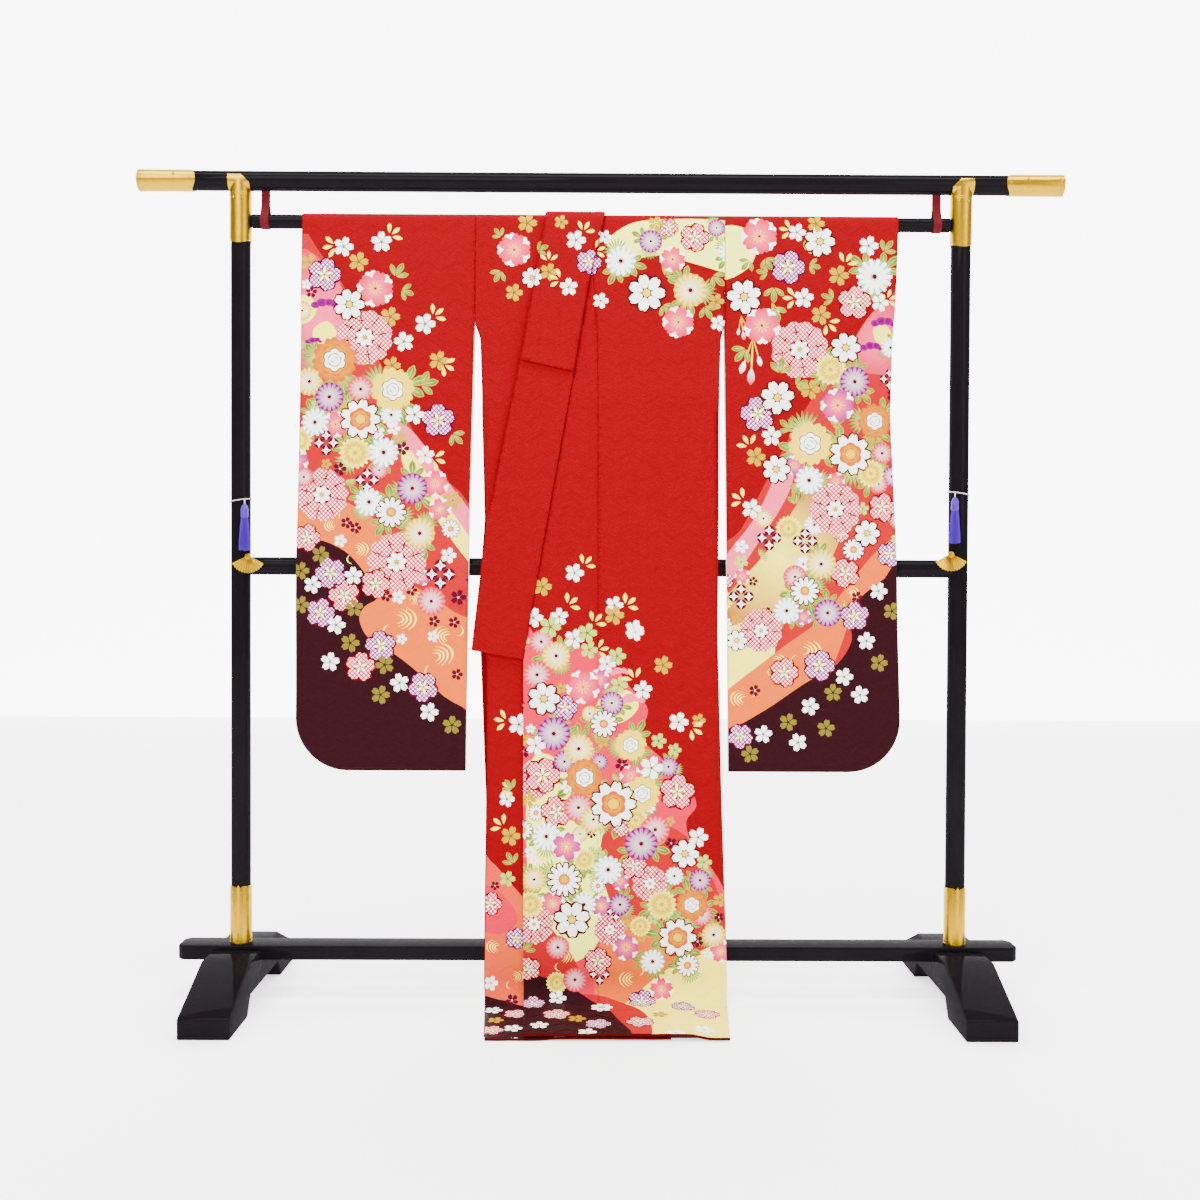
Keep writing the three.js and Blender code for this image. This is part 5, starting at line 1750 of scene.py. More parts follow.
def body_print() -> Print:
    """Front of the body: flowers on one shoulder, and a drift that widens to the hem.

    Returns:
        The design.
    """
    drift = curve((510, 650), (545, 646), (578, 647), (602, 653), (618, 668), (630, 686), (648, 706),
                  (646, 722), (636, 732), (656, 752), (674, 768), (692, 790), (698, 806), (688, 822),
                  (695, 846), (712, 866), (726, 890), (736, 930), (742, 1110), (510, 1110))
    fields = [
        (curve((606, 244), (622, 226), (652, 218), (720, 218), (756, 228), (756, 262), (732, 272),
               (700, 264), (660, 254), (628, 258)), Tint(Dye.MIST)),
        (drift, Tint(Dye.PINK)),
        (curve((532, 762), (556, 758), (578, 790), (606, 832), (610, 900), (596, 950), (562, 962),
               (536, 920), (528, 840)), Tint(Dye.MIST)),
        (curve((506, 880), (530, 872), (548, 920), (580, 968), (560, 996), (506, 990)), Tint(Dye.CORAL)),
        (curve((600, 700), (628, 690), (640, 706), (624, 722), (600, 722)), Tint(Dye.CREAM)),
        (curve((604, 836), (644, 822), (688, 836), (716, 882), (730, 934), (700, 962), (650, 944),
               (612, 902)), Tint(Dye.CORAL)),
        (curve((606, 930), (640, 916), (668, 940), (676, 990), (650, 1030), (600, 1010)), Tint(Dye.SALMON)),
        (curve((634, 1000), (684, 962), (744, 952), (744, 1112), (600, 1112), (612, 1040)), Tint(Dye.CREAM)),
        (curve((560, 1010), (600, 996), (636, 1018), (650, 1060), (640, 1112), (560, 1112)),
         Tint(Dye.CORAL)),
        (curve((508, 982), (545, 978), (580, 992), (604, 1016), (618, 1050), (626, 1112), (508, 1112)),
         Tint(Dye.MAROON)),
    ]
    placed = shoulder_spots()
    placed += spots(M.RIPPLE, (690, 1000, 20), (560, 960, 14, 20), (640, 980, 16, 180), (716, 1050, 20, 10))
    placed += spots(M.PINK_PUFF, (632, 700, 14), (620, 672, 10))
    placed += spots(M.TIED_ROUND, (536, 780, 20), (652, 884, 18), (536, 925, 20, 20), (612, 930, 16))
    placed += spots(M.SHIPPO, (618, 912, 9), (602, 975, 10))
    placed += spots(M.TIED_PINK, (544, 776, 18), (558, 812, 16, 30), (679, 792, 18, 10), (600, 962, 14),
                    (636, 866, 13, 20), (560, 1040, 14, 10), (706, 1030, 13), (640, 1060, 14, 40))
    placed += spots(M.TIED_LAVENDER, (566, 708, 13), (644, 1004, 14), (536, 1010, 13, 20), (600, 1066, 13),
                    (684, 1016, 12))
    placed += spots(M.PINK_DAISY, (542, 642, 12), (538, 675, 14), (580, 808, 15), (657, 830, 15),
                    (588, 752, 10), (704, 915, 11), (560, 948, 12))
    placed += spots(M.YELLOW_DAISY, (557, 656, 14), (580, 749, 15), (595, 820, 13), (716, 935, 12),
                    (536, 880, 12))
    placed += spots(M.PURPLE_DAISY, (555, 734, 17), (613, 703, 12), (670, 767, 10), (643, 844, 17),
                    (702, 880, 11), (622, 905, 11))
    placed += spots(M.WHITE_DAISY, (548, 837, 14), (610, 870, 14), (586, 905, 12), (655, 962, 12))
    placed += spots(M.BOLD_DAISY, (605, 724, 14), (566, 880, 18), (690, 966, 12))
    placed += spots(M.POMPON, (532, 905, 13), (664, 905, 15), (586, 860, 11))
    placed += spots(M.ORCHID, (568, 847, 15), (628, 948, 13), (600, 680, 11))
    placed += spots(M.SOFT, (584, 687, 17, 10), (632, 776, 11), (664, 990, 12, 20))
    placed += spots(M.ORANGE_PEONY, (586, 778, 19), (694, 905, 16))
    placed += spots(M.YELLOW_PEONY, (644, 794, 18), (632, 745, 16))
    placed += spots(M.WHITE_PEONY, (615, 804, 24), (680, 938, 20))
    placed += spots(M.OUTLINED, (545, 699, 17), (687, 854, 15), (574, 920, 19, 15), (604, 1020, 12))
    placed += spots(M.WHITE_CHERRY, (534, 618, 10), (560, 617, 9, 20), (509, 633, 10), (575, 639, 10),
                    (608, 664, 9), (635, 629, 9.5), (644, 690, 9.5, 15), (680, 722, 10), (700, 837, 10),
                    (653, 768, 12), (537, 746, 10), (575, 573, 9.5), (636, 632, 9), (615, 605, 9),
                    (520, 1040, 9), (560, 1000, 9), (545, 1070, 9, 20), (590, 1088, 9), (700, 1074, 10),
                    (672, 1090, 9))
    placed += spots(M.GREEN_CHERRY, (491, 643, 8), (522, 641, 9), (551, 627, 11), (588, 633, 10),
                    (590, 650, 9), (618, 656, 9), (620, 685, 9), (660, 741, 8), (676, 750, 7),
                    (706, 862, 8))
    placed += spots(M.GOLD_CHERRY, (543, 587, 9.5), (615, 615, 10), (664, 665, 9.5), (497, 600, 9),
                    (700, 720, 7), (530, 800, 8), (722, 900, 7), (580, 1052, 9), (660, 1040, 8))
    placed += spots(M.SPRIG, (528, 608, 12, 120), (568, 606, 12, 40), (499, 624, 12, 140),
                    (594, 624, 12, 50), (598, 650, 11, 10), (626, 606, 12, 40), (636, 680, 12, 120),
                    (692, 727, 12, -30), (584, 566, 11, 50))
    crowd = curve((516, 650), (560, 650), (606, 664), (622, 690), (630, 730), (668, 772), (686, 808),
                  (684, 846), (712, 884), (726, 930), (716, 966), (640, 960), (600, 980), (516, 960))
    return Print(fields, [crowd], placed, COLLAGE, 8, 460)


def body_left_print() -> Print:
    """Front of the under side: the shoulder's flowers and a narrow drift at the hem.

    Returns:
        The design.
    """
    low = curve((470, 858), (492, 862), (512, 884), (536, 910), (560, 930), (680, 960), (680, 1112),
                (470, 1112))
    fields = [
        (low, Tint(Dye.SALMON, Dye.PINK)),
        (curve((470, 884), (500, 892), (520, 920), (500, 936), (470, 920)), Tint(Dye.PINK)),
        (curve((470, 1004), (500, 1000), (530, 1010), (600, 1030), (680, 1060), (680, 1112), (470, 1112)),
         Tint(Dye.MAROON)),
    ]
    placed = shoulder_spots()
    placed += spots(M.RIPPLE, (504, 950, 14, 170), (512, 980, 12, 10))
    placed += spots(M.TIED_PINK, (492, 905, 12), (520, 1030, 12), (500, 1075, 12))
    placed += spots(M.TIED_LAVENDER, (518, 940, 11), (540, 1060, 12))
    placed += spots(M.WHITE_CHERRY, (520, 725, 11), (509, 633, 10), (493, 985, 7), (498, 1020, 9),
                    (520, 1070, 9), (508, 800, 8))
    placed += spots(M.GOLD_CHERRY, (497, 600, 10), (512, 837, 10), (502, 1048, 8))
    placed += spots(M.GREEN_CHERRY, (491, 643, 8), (509, 880, 8))
    placed += spots(M.SPRIG, (508, 722, 12, 170), (505, 828, 12, 140), (499, 624, 12, 140),
                    (514, 790, 11, 200))
    placed += spots(M.LEAVES, (514, 790, 10, 130), (515, 865, 11, 120))
    return Print(fields, [low], placed, SCATTER, 9, 60)


class Layouts:
    """The kimono's design: for each panel, the prints of its front and back."""

    def __init__(self) -> None:
        """Draws every design and pairs the fronts with the backs."""
        body, left, right = body_print(), sleeve_left_print(), sleeve_right_print()
        self.plain = (None, None)
        self.body = (body, body.mirrored(21))
        self.body_left = (body_left_print(), body.mirrored(21))
        self.overlap = (body, None)
        self.cover = (Print(spots=shoulder_spots()), None)
        self.sleeve_left = (left, right.mirrored(31))
        self.sleeve_right = (right, left.mirrored(33))


# ---------------------------------------------------------------- materials
def set_value(shader: bpy.types.Node, **values: float | tuple) -> None:
    """Sets sockets of a shader by name, where spaces in a name are written as underscores.

    Args:
        shader: The shader.
    """
    for name, value in values.items():
        shader.inputs[name.replace("_", " ")].default_value = value


class Tree:
    """A material's or a group's nodes, with short ways to add them."""

    def __init__(self, tree: bpy.types.NodeTree) -> None:
        """Keeps the nodes."""
        self.tree = tree

    def add(self, kind: str, **settings: object) -> bpy.types.Node:
        """Adds a node and sets its properties.

        Args:
            kind: Type of the node, without its ShaderNode prefix.
            settings: Properties by name.

        Returns:
            The node.
        """
        node = self.tree.nodes.new("ShaderNode" + kind)
        for name, value in settings.items():
            setattr(node, name, value)
        return node

    def link(self, start: bpy.types.NodeSocket, end: bpy.types.NodeSocket) -> None:
        """Joins two sockets."""
        self.tree.links.new(start, end)

    def math(self, operation: str, *terms: object) -> bpy.types.NodeSocket:
        """Adds a calculation on sockets or numbers.

        Args:
            operation: The operation.
            terms: Sockets or numbers.

        Returns:
            The result.
        """
        node = self.add("Math", operation=operation)
        for slot, term in enumerate(terms):
            if isinstance(term, bpy.types.NodeSocket):
                self.link(term, node.inputs[slot])
            else:
                node.inputs[slot].default_value = term
        return node.outputs[0]

    def mix(self, share: object, low: object, high: object) -> bpy.types.NodeSocket:
        """Adds a mix of two colours.

        Args:
            share: How much of the second colour shows.
            low: First colour.
            high: Second colour.

        Returns:
            The mixed colour.
        """
        node = self.add("Mix", data_type="RGBA")
        for slot, term in ((0, share), (6, low), (7, high)):
            if isinstance(term, bpy.types.NodeSocket):
                self.link(term, node.inputs[slot])
            else:
                node.inputs[slot].default_value = term if slot == 0 else (*term, 1.0)
        return node.outputs[2]

    def bump(self, shader: bpy.types.Node, height: bpy.types.NodeSocket, strength: float,
             distance: float) -> None:
        """Gives a shader a relief.

        Args:
            shader: The shader.
            height: Where the height comes from.
            strength: How strongly it shows.
            distance: Its depth in metres.
        """
        bump = self.add("Bump")
        bump.inputs["Strength"].default_value = strength
        bump.inputs["Distance"].default_value = distance
        self.link(height, bump.inputs["Height"])
        self.link(bump.outputs[0], shader.inputs["Normal"])


def new_group(name: str, *outputs: str) -> tuple[Tree, bpy.types.NodeSocket, bpy.types.Node, bpy.types.Node]:
    """Starts a shader node group that takes the flat place in metres.

    Args:
        name: Its name.
        outputs: Names of the values that it puts out.

    Returns:
        Its nodes, the place, the node that puts the values out, and the place's parts.
    """
    group = bpy.data.node_groups.new(name, "ShaderNodeTree")
    group.interface.new_socket(name="Place", in_out="INPUT", socket_type="NodeSocketVector")
    for word in outputs:
        group.interface.new_socket(name=word, in_out="OUTPUT", socket_type="NodeSocketFloat")
    tree = Tree(group)
    ends, out = group.nodes.new("NodeGroupInput"), group.nodes.new("NodeGroupOutput")
    parts = tree.add("SeparateXYZ")
    tree.link(ends.outputs[0], parts.inputs[0])
    return tree, ends.outputs[0], out, parts


WEAVE_PERIOD, WEAVE_LINE = 0.057, 0.0062  # metres: the figure's repeat, and the pitch of its lines
WEAVE_SLOPE, WEAVE_BREAK = 0.62, 0.84
TIE_PITCH, TIE_SIZE = 0.0062, 0.29
TIE_SHARE, GILT_SHARE = 0.8, 0.55
SILK_HEIGHT = 0.0006  # metres
SILK_SHEEN, SILK_GLOSS = 0.015, 0.025


def fence_weave() -> bpy.types.NodeTree:
    """A figured weave: fine lines that turn in a broken zigzag, as height and as painted sheen.

    Returns:
        The group.
    """
    tree, place, out, parts = new_group("Fence weave", "Height", "Grain")
    x, v = parts.outputs[0], parts.outputs[1]
    turn = tree.math("PINGPONG", x, WEAVE_PERIOD / 2)
    stripe = tree.math("DIVIDE", tree.math("MULTIPLY_ADD", turn, WEAVE_SLOPE, v), WEAVE_LINE)
    centred = tree.math("MULTIPLY_ADD", tree.math("FRACT", stripe), 2.0, -1.0)
    ridge = tree.math("SUBTRACT", 1.0, tree.math("ABSOLUTE", centred))
    block = tree.math("DIVIDE", tree.math("MULTIPLY_ADD", turn, WEAVE_SLOPE, v), WEAVE_LINE * 6)
    step = tree.math("GREATER_THAN", tree.math("FRACT", block), WEAVE_BREAK)
    ridge = tree.math("MULTIPLY", ridge, tree.math("SUBTRACT", 1.0, step))
    noise = tree.add("TexNoise")
    noise.inputs["Scale"].default_value = 900
    noise.inputs["Detail"].default_value = 2
    tree.link(place, noise.inputs["Vector"])
    tree.link(ridge, out.inputs[0])
    tree.link(noise.outputs[0], out.inputs[1])
    return tree.tree


def tie_dots() -> bpy.types.NodeTree:
    """Rows of small tie-dye squares: a mask that is 1 on each pale dot.

    Returns:
        The group.
    """
    tree, _, out, parts = new_group("Tie dots", "Mask")
    masks = []
    for sign in (1.0, -1.0):
        lane = tree.math("MULTIPLY_ADD", parts.outputs[1], sign, parts.outputs[0])
        wave = tree.math("FRACT", tree.math("DIVIDE", lane, TIE_PITCH * 1.414))
        masks.append(tree.math("ABSOLUTE", tree.math("SUBTRACT", wave, 0.5)))
    near = tree.math("MAXIMUM", masks[0], masks[1])
    tree.link(tree.math("LESS_THAN", near, TIE_SIZE), out.inputs[0])
    return tree.tree


def new_material(name: str) -> tuple[bpy.types.Material, Tree, bpy.types.Node]:
    """Starts a material.

    Args:
        name: Its name.

    Returns:
        The material, its nodes and its shader.
    """
    made = bpy.data.materials.new(name)
    made.use_nodes = True
    return made, Tree(made.node_tree), made.node_tree.nodes["Principled BSDF"]


@dataclass(frozen=True)
class SilkFinish:
    """Printed figured silk.

    Attributes:
        name: Name of the material.
        colour: Colour where the piece carries no print, or None to read the print.
        roughness: Roughness of the weave's grounds.
        relief: Strength of the woven figure's relief.
    """

    name: str
    colour: Colour | None = None
    roughness: float = 0.62
    relief: float = 0.5

    def material(self, groups: dict[str, bpy.types.NodeTree]) -> bpy.types.Material:
        """Builds the material from the shared groups.

        Args:
            groups: The groups.

        Returns:
            The material.
        """
        made, tree, shader = new_material(self.name)
        place = tree.add("UVMap", uv_map="Cloth")
        weave = tree.add("Group", node_tree=groups["weave"])
        tree.link(place.outputs[0], weave.inputs[0])
        if self.colour is None:
            paint = tree.add("Attribute", attribute_name="Print")
            marks = tree.add("Attribute", attribute_name="Marks")
            split = tree.add("SeparateColor")
            tree.link(marks.outputs[0], split.inputs[0])
            dots = tree.add("Group", node_tree=groups["dots"])
            tree.link(place.outputs[0], dots.inputs[0])
            tied = tree.math("MULTIPLY", tree.math("MULTIPLY", dots.outputs[0], split.outputs[0]), TIE_SHARE)
            colour = tree.mix(tied, paint.outputs[0], Dye.WHITE.value)
            tree.link(tree.math("MULTIPLY", split.outputs[1], GILT_SHARE), shader.inputs["Metallic"])
        else:
            colour = tree.mix(0.0, self.colour, self.colour)
        # Painted sheen: the woven figure's ridges are painted lighter into the base colour, and the grain
        # adds random tone.
        shade = tree.math("MULTIPLY_ADD", weave.outputs[0], 0.07, 0.95)
        shade = tree.math("MULTIPLY_ADD", weave.outputs[1], 0.08, tree.math("SUBTRACT", shade, 0.04))
        toned = tree.add("Mix", data_type="RGBA", blend_type="MULTIPLY")
        toned.inputs[0].default_value = 1.0
        tree.link(colour, toned.inputs[6])
        grey = tree.add("CombineColor")
        for slot in range(3):
            tree.link(shade, grey.inputs[slot])
        tree.link(grey.outputs[0], toned.inputs[7])
        tree.link(toned.outputs[2], shader.inputs["Base Color"])
        tree.bump(shader, weave.outputs[0], self.relief, SILK_HEIGHT)
        rough = tree.math("MULTIPLY_ADD", weave.outputs[0], -0.12, self.roughness)
        tree.link(rough, shader.inputs["Roughness"])
        set_value(shader, Sheen_Weight=SILK_SHEEN, Sheen_Roughness=0.4, Specular_IOR_Level=SILK_GLOSS)
        set_value(shader, Specular_Tint=(1.0, 0.12, 0.1, 1.0), Sheen_Tint=(1.0, 0.1, 0.08, 1.0))
        return made


@dataclass(frozen=True)
class HardFinish:
    """Lacquer, gilt metal, strap or silk thread.

    Attributes:
        name: Name of the material.
        colour: Its main colour.
        second: Colour of its fine variation.
        roughness: Its roughness.
        metallic: 1 for metal.
        coat: Weight of a clear coat.
        scale: Scale of the variation, or 0 for none.
        stretch: How far the variation is drawn out along each axis.
        relief: Depth of its surface relief in metres.
        share: How much of the second colour shows.
        gloss: Its specular level.
    """

    name: str
    colour: Colour
    second: Colour
    roughness: float
    metallic: float = 0.0
    coat: float = 0.0
    scale: float = 40.0
    stretch: tuple[float, float, float] = (1.0, 1.0, 1.0)
    relief: float = 0.0
    share: float = 0.5
    gloss: float = 0.5

    def material(self) -> bpy.types.Material:
        """Builds the material.

        Returns:
            The material.
        """
        made, tree, shader = new_material(self.name)
        place = tree.add("TexCoord")
        drawn = tree.add("Mapping")
        drawn.inputs["Scale"].default_value = self.stretch
        tree.link(place.outputs["Object"], drawn.inputs[0])
        noise = tree.add("TexNoise")
        noise.inputs["Scale"].default_value = self.scale
        noise.inputs["Detail"].default_value = 4
        tree.link(drawn.outputs[0], noise.inputs["Vector"])
        share = tree.math("MULTIPLY", noise.outputs[0], self.share)
        tree.link(tree.mix(share, self.colour, self.second), shader.inputs["Base Color"])
        rough = tree.math("MULTIPLY_ADD", noise.outputs[0], 0.12, self.roughness - 0.06)
        tree.link(rough, shader.inputs["Roughness"])
        if self.relief:
            tree.bump(shader, noise.outputs[0], 0.6, self.relief)
        set_value(shader, Metallic=self.metallic, Coat_Weight=self.coat, Coat_Roughness=0.05,
                  Specular_IOR_Level=self.gloss)
        return made


@dataclass
class Palette:
    """All the materials, by name."""

    made: dict[str, bpy.types.Material] = field(default_factory=dict)

    def __post_init__(self) -> None:
        """Makes the groups that finishes share, then every finish."""
        groups = {"weave": fence_weave(), "dots": tie_dots()}
        silks = (
            SilkFinish("printed silk"),
            SilkFinish("collar silk", Dye.RED.value),
            SilkFinish("white lining", rgb(244, 232, 226), relief=0.1),
            SilkFinish("red lining", Dye.DEEP_RED.value, relief=0.15),
        )
        for silk in silks:
            self.made[silk.name] = silk.material(groups)
        hard = (
            HardFinish("hem", rgb(66, 2, 7), rgb(44, 2, 5), 0.6, scale=260, stretch=(0.3, 1, 1),
                       relief=0.0004, gloss=0.03),
            HardFinish("lacquer", rgb(20, 18, 20), rgb(28, 25, 27), 0.4, scale=14, coat=0.04, gloss=0.0),
            HardFinish("gilt", rgb(176, 136, 5), rgb(140, 104, 3), 0.32, 1.0, scale=160, relief=0.0004),
            HardFinish("strap", rgb(84, 18, 28), rgb(44, 8, 16), 0.85, scale=900, relief=0.0006,
                       stretch=(1, 1, 0.3), gloss=0.1),
            HardFinish("tassel", rgb(78, 22, 168), rgb(46, 10, 110), 0.55, scale=300, stretch=(1, 1, 0.04),
                       relief=0.0005, share=0.9, gloss=0.2),
            HardFinish("cord", rgb(196, 192, 202), rgb(120, 116, 130), 0.5, scale=500, relief=0.0003),
        )
        for finish in hard:
            self.made[finish.name] = finish.material()

    def dress(self, obj: Piece, name: str) -> Piece:
        """Gives a piece one material.

        Args:
            obj: The piece.
            name: Its name.

        Returns:
            The piece.
        """
        obj.data.materials.clear()
        obj.data.materials.append(self.made[name])
        return obj


# ---------------------------------------------------------------- hard pieces
def only(obj: Piece) -> Piece:
    """Makes a piece the only one that is selected, and active.

    Args:
        obj: The piece.

    Returns:
        The piece.
    """
    bpy.ops.object.select_all(action="DESELECT")
    obj.select_set(True)
    bpy.context.view_layer.objects.active = obj
    return obj


def joined(obj: Piece, others: Sequence[Piece]) -> Piece:
    """Joins other pieces to a piece.

    Args:
        obj: The piece.
        others: The other pieces.

    Returns:
        The piece.
    """
    only(obj)
    for other in others:
        other.select_set(True)
    bpy.ops.object.join()
    return obj


def from_faces(name: str, vertices: Sequence[Place], faces: Sequence[Sequence[int]]) -> Piece:
    """A piece made of corners in millimetres and faces.

    Args:
        name: Its name.
        vertices: Its corners in millimetres.
        faces: The corners of each face.

    Returns:
        The piece.
    """
    mesh = bpy.data.meshes.new(name)
    mesh.from_pydata([tuple(Vector(v) * MM) for v in vertices], [], faces)
    return linked(name, mesh)


def turned_out(obj: Piece) -> Piece:
    """Turns all faces of a piece outwards.

    Args:
        obj: The piece.

    Returns:
        The piece.
    """
    only(obj)
    bpy.ops.object.mode_set(mode="EDIT")
    bpy.ops.mesh.select_all(action="SELECT")
    bpy.ops.mesh.normals_make_consistent(inside=False)
    bpy.ops.object.mode_set(mode="OBJECT")
    return obj


def place_in_mesh(obj: Piece) -> Piece:
    """Moves a piece's place into its mesh, so that its object is at the origin.

    Args:
        obj: The piece.

    Returns:
        The piece.
    """
    only(obj)
    bpy.ops.object.transform_apply(location=True, rotation=True, scale=True)
    return obj


def apply_modifier(obj: Piece, name: str) -> None:
    """Applies one modifier of a piece."""
    only(obj)
    bpy.ops.object.modifier_apply(modifier=name)


def bevel(obj: Piece, width: float, segments: int = 3) -> Piece:
    """Rounds a piece's sharp edges by a width in millimetres.

    Args:
        obj: The piece.
        width: Width of the rounding.
        segments: How many steps it has.

    Returns:
        The piece.
    """
    modifier = obj.modifiers.new("Bevel", "BEVEL")
    modifier.width = width * MM
    modifier.segments = segments
    modifier.limit_method = "ANGLE"
    apply_modifier(obj, "Bevel")
    return obj


def boolean(obj: Piece, cutter: Piece, operation: str) -> Piece:
    """Cuts a piece with another, which is removed.

    Args:
        obj: The piece.
        cutter: The piece that cuts it.
        operation: What is done.

    Returns:
        The piece.
    """
    modifier = obj.modifiers.new("Cut", "BOOLEAN")
    modifier.object = cutter
    modifier.operation = operation
    modifier.solver = "EXACT"
    apply_modifier(obj, "Cut")
    bpy.data.objects.remove(cutter)
    return obj


def smooth_by_angle(obj: Piece, degrees: float = 35.0) -> Piece:
    """Shades a piece smooth, apart from its sharp edges.

    Args:
        obj: The piece.
        degrees: Angle above which an edge stays sharp.

    Returns:
        The piece.
    """
    only(obj)
    bpy.ops.object.shade_smooth_by_angle(angle=math.radians(degrees))
    return obj


class Axis(Enum):
    """Direction of a round piece, as the turn that brings Z to it."""

    X = (0.0, math.pi / 2, 0.0)
    Y = (math.pi / 2, 0.0, 0.0)
    Z = (0.0, 0.0, 0.0)


def round_bar(name: str, axis: Axis, radius: float, middle: Place, length: float, sides: int = 72,
              soft: float = 0.0) -> Piece:
    """A round bar.

    Args:
        name: Its name.
        axis: Its direction.
        radius: Its radius in millimetres.
        middle: Its middle in millimetres.
        length: Its length in millimetres.
        sides: How many sides stand for the round.
        soft: Width of the bevel at its ends.

    Returns:
        The bar.
    """
    bpy.ops.mesh.primitive_cylinder_add(vertices=sides, radius=radius * MM, depth=length * MM,
                                        location=Vector(middle) * MM, rotation=axis.value)
    obj = place_in_mesh(bpy.context.active_object)
    obj.name = obj.data.name = name
    if soft:
        bevel(obj, soft)
    return smooth_by_angle(obj)


def block(name: str, low: Place, high: Place) -> Piece:
    """A box between two corners in millimetres.

    Args:
        name: Its name.
        low: Its lowest corner.
        high: Its highest corner.

    Returns:
        The box.
    """
    low_corner, high_corner = Vector(low) * MM, Vector(high) * MM
    bpy.ops.mesh.primitive_cube_add(size=1, location=(low_corner + high_corner) / 2)
    obj = bpy.context.active_object
    obj.scale = high_corner - low_corner
    obj.name = obj.data.name = name
    return place_in_mesh(obj)


def prism(name: str, outline: Outline, axis: Axis, low: float, high: float) -> Piece:
    """A flat outline pushed out along an axis.

    Args:
        name: Its name.
        outline: Corners: (X, Z) for a push along Y, (Y, Z) for one along X, and (X, Y) for one along Z.
        axis: Direction of the push.
        low: Where it starts, in millimetres.
        high: Where it ends.

    Returns:
        The piece.
    """
    place = {Axis.Y: 1, Axis.X: 0, Axis.Z: 2}[axis]
    corners = [(*c[:place], low, *c[place:]) for c in outline]
    obj = only(from_faces(name, corners, [range(len(outline))]))
    bpy.ops.object.mode_set(mode="EDIT")
    bpy.ops.mesh.select_all(action="SELECT")
    move = Vector([(high - low) * MM if k == place else 0 for k in range(3)])
    bpy.ops.mesh.extrude_region_move(TRANSFORM_OT_translate={"value": move})
    bpy.ops.object.mode_set(mode="OBJECT")
    return turned_out(obj)


def arc(cx: float, cz: float, rx: float, rz: float, start: float, end: float,
        steps: int = 16) -> list[tuple]:
    """Points of an arc, with angles in degrees.

    Args:
        cx: The middle's first coordinate.
        cz: The middle's second coordinate.
        rx: Reach along the first.
        rz: Reach along the second.
        start: First angle.
        end: Last angle.
        steps: How many steps it has.

    Returns:
        The points.
    """
    made = []
    for k in range(steps + 1):
        a = math.radians(start + (end - start) * k / steps)
        made.append((cx + rx * math.cos(a), cz + rz * math.sin(a)))
    return made


# ---------------------------------------------------------------- sub-assemblies
@dataclass
class Assembly:
    """A group of pieces that is dressed and logged together.

    Attributes:
        palette: Its materials.
    """

    palette: Palette

    def finish_piece(self, obj: Piece, material: str, slot: str, *nodes: str) -> Piece:
        """Dresses a finished piece, joins it to the part and logs it.

        Args:
            obj: The piece.
            material: Name of its material.
            slot: The record's slot that its finish comes from. It is not used.
            nodes: CAD nodes that it stands for.

        Returns:
            The piece.
        """
        self.palette.dress(obj, material)
        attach(obj, "root")
        if nodes:
            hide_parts(*nodes)
        log.info("%s: %d faces, %s", obj.name, len(obj.data.polygons), material)
        return obj


POST_X, POST_R = 709.0, 19.0
TOP_RAIL_Z, TOP_RAIL_R, TOP_RAIL_HALF = 1609.0, 19.0, 908.0
MID_RAIL_Z, MID_RAIL_R = 853.0, 17.5
BASE_HALF, BASE_DEPTH, BASE_LOW, BASE_HIGH = 827.0, 60.0, 79.0, 107.0
GOLD_WALL = 1.8
POST_SEAT = POST_R + GAP
POST_COVER = POST_SEAT + GOLD_WALL
STRANDS, STRAND_R = 150, 0.62
FAN_PIVOT = {Hand.LEFT: 873.0, Hand.RIGHT: 883.0}
TASSEL_TOP = {Hand.LEFT: 973.0, Hand.RIGHT: 993.0}


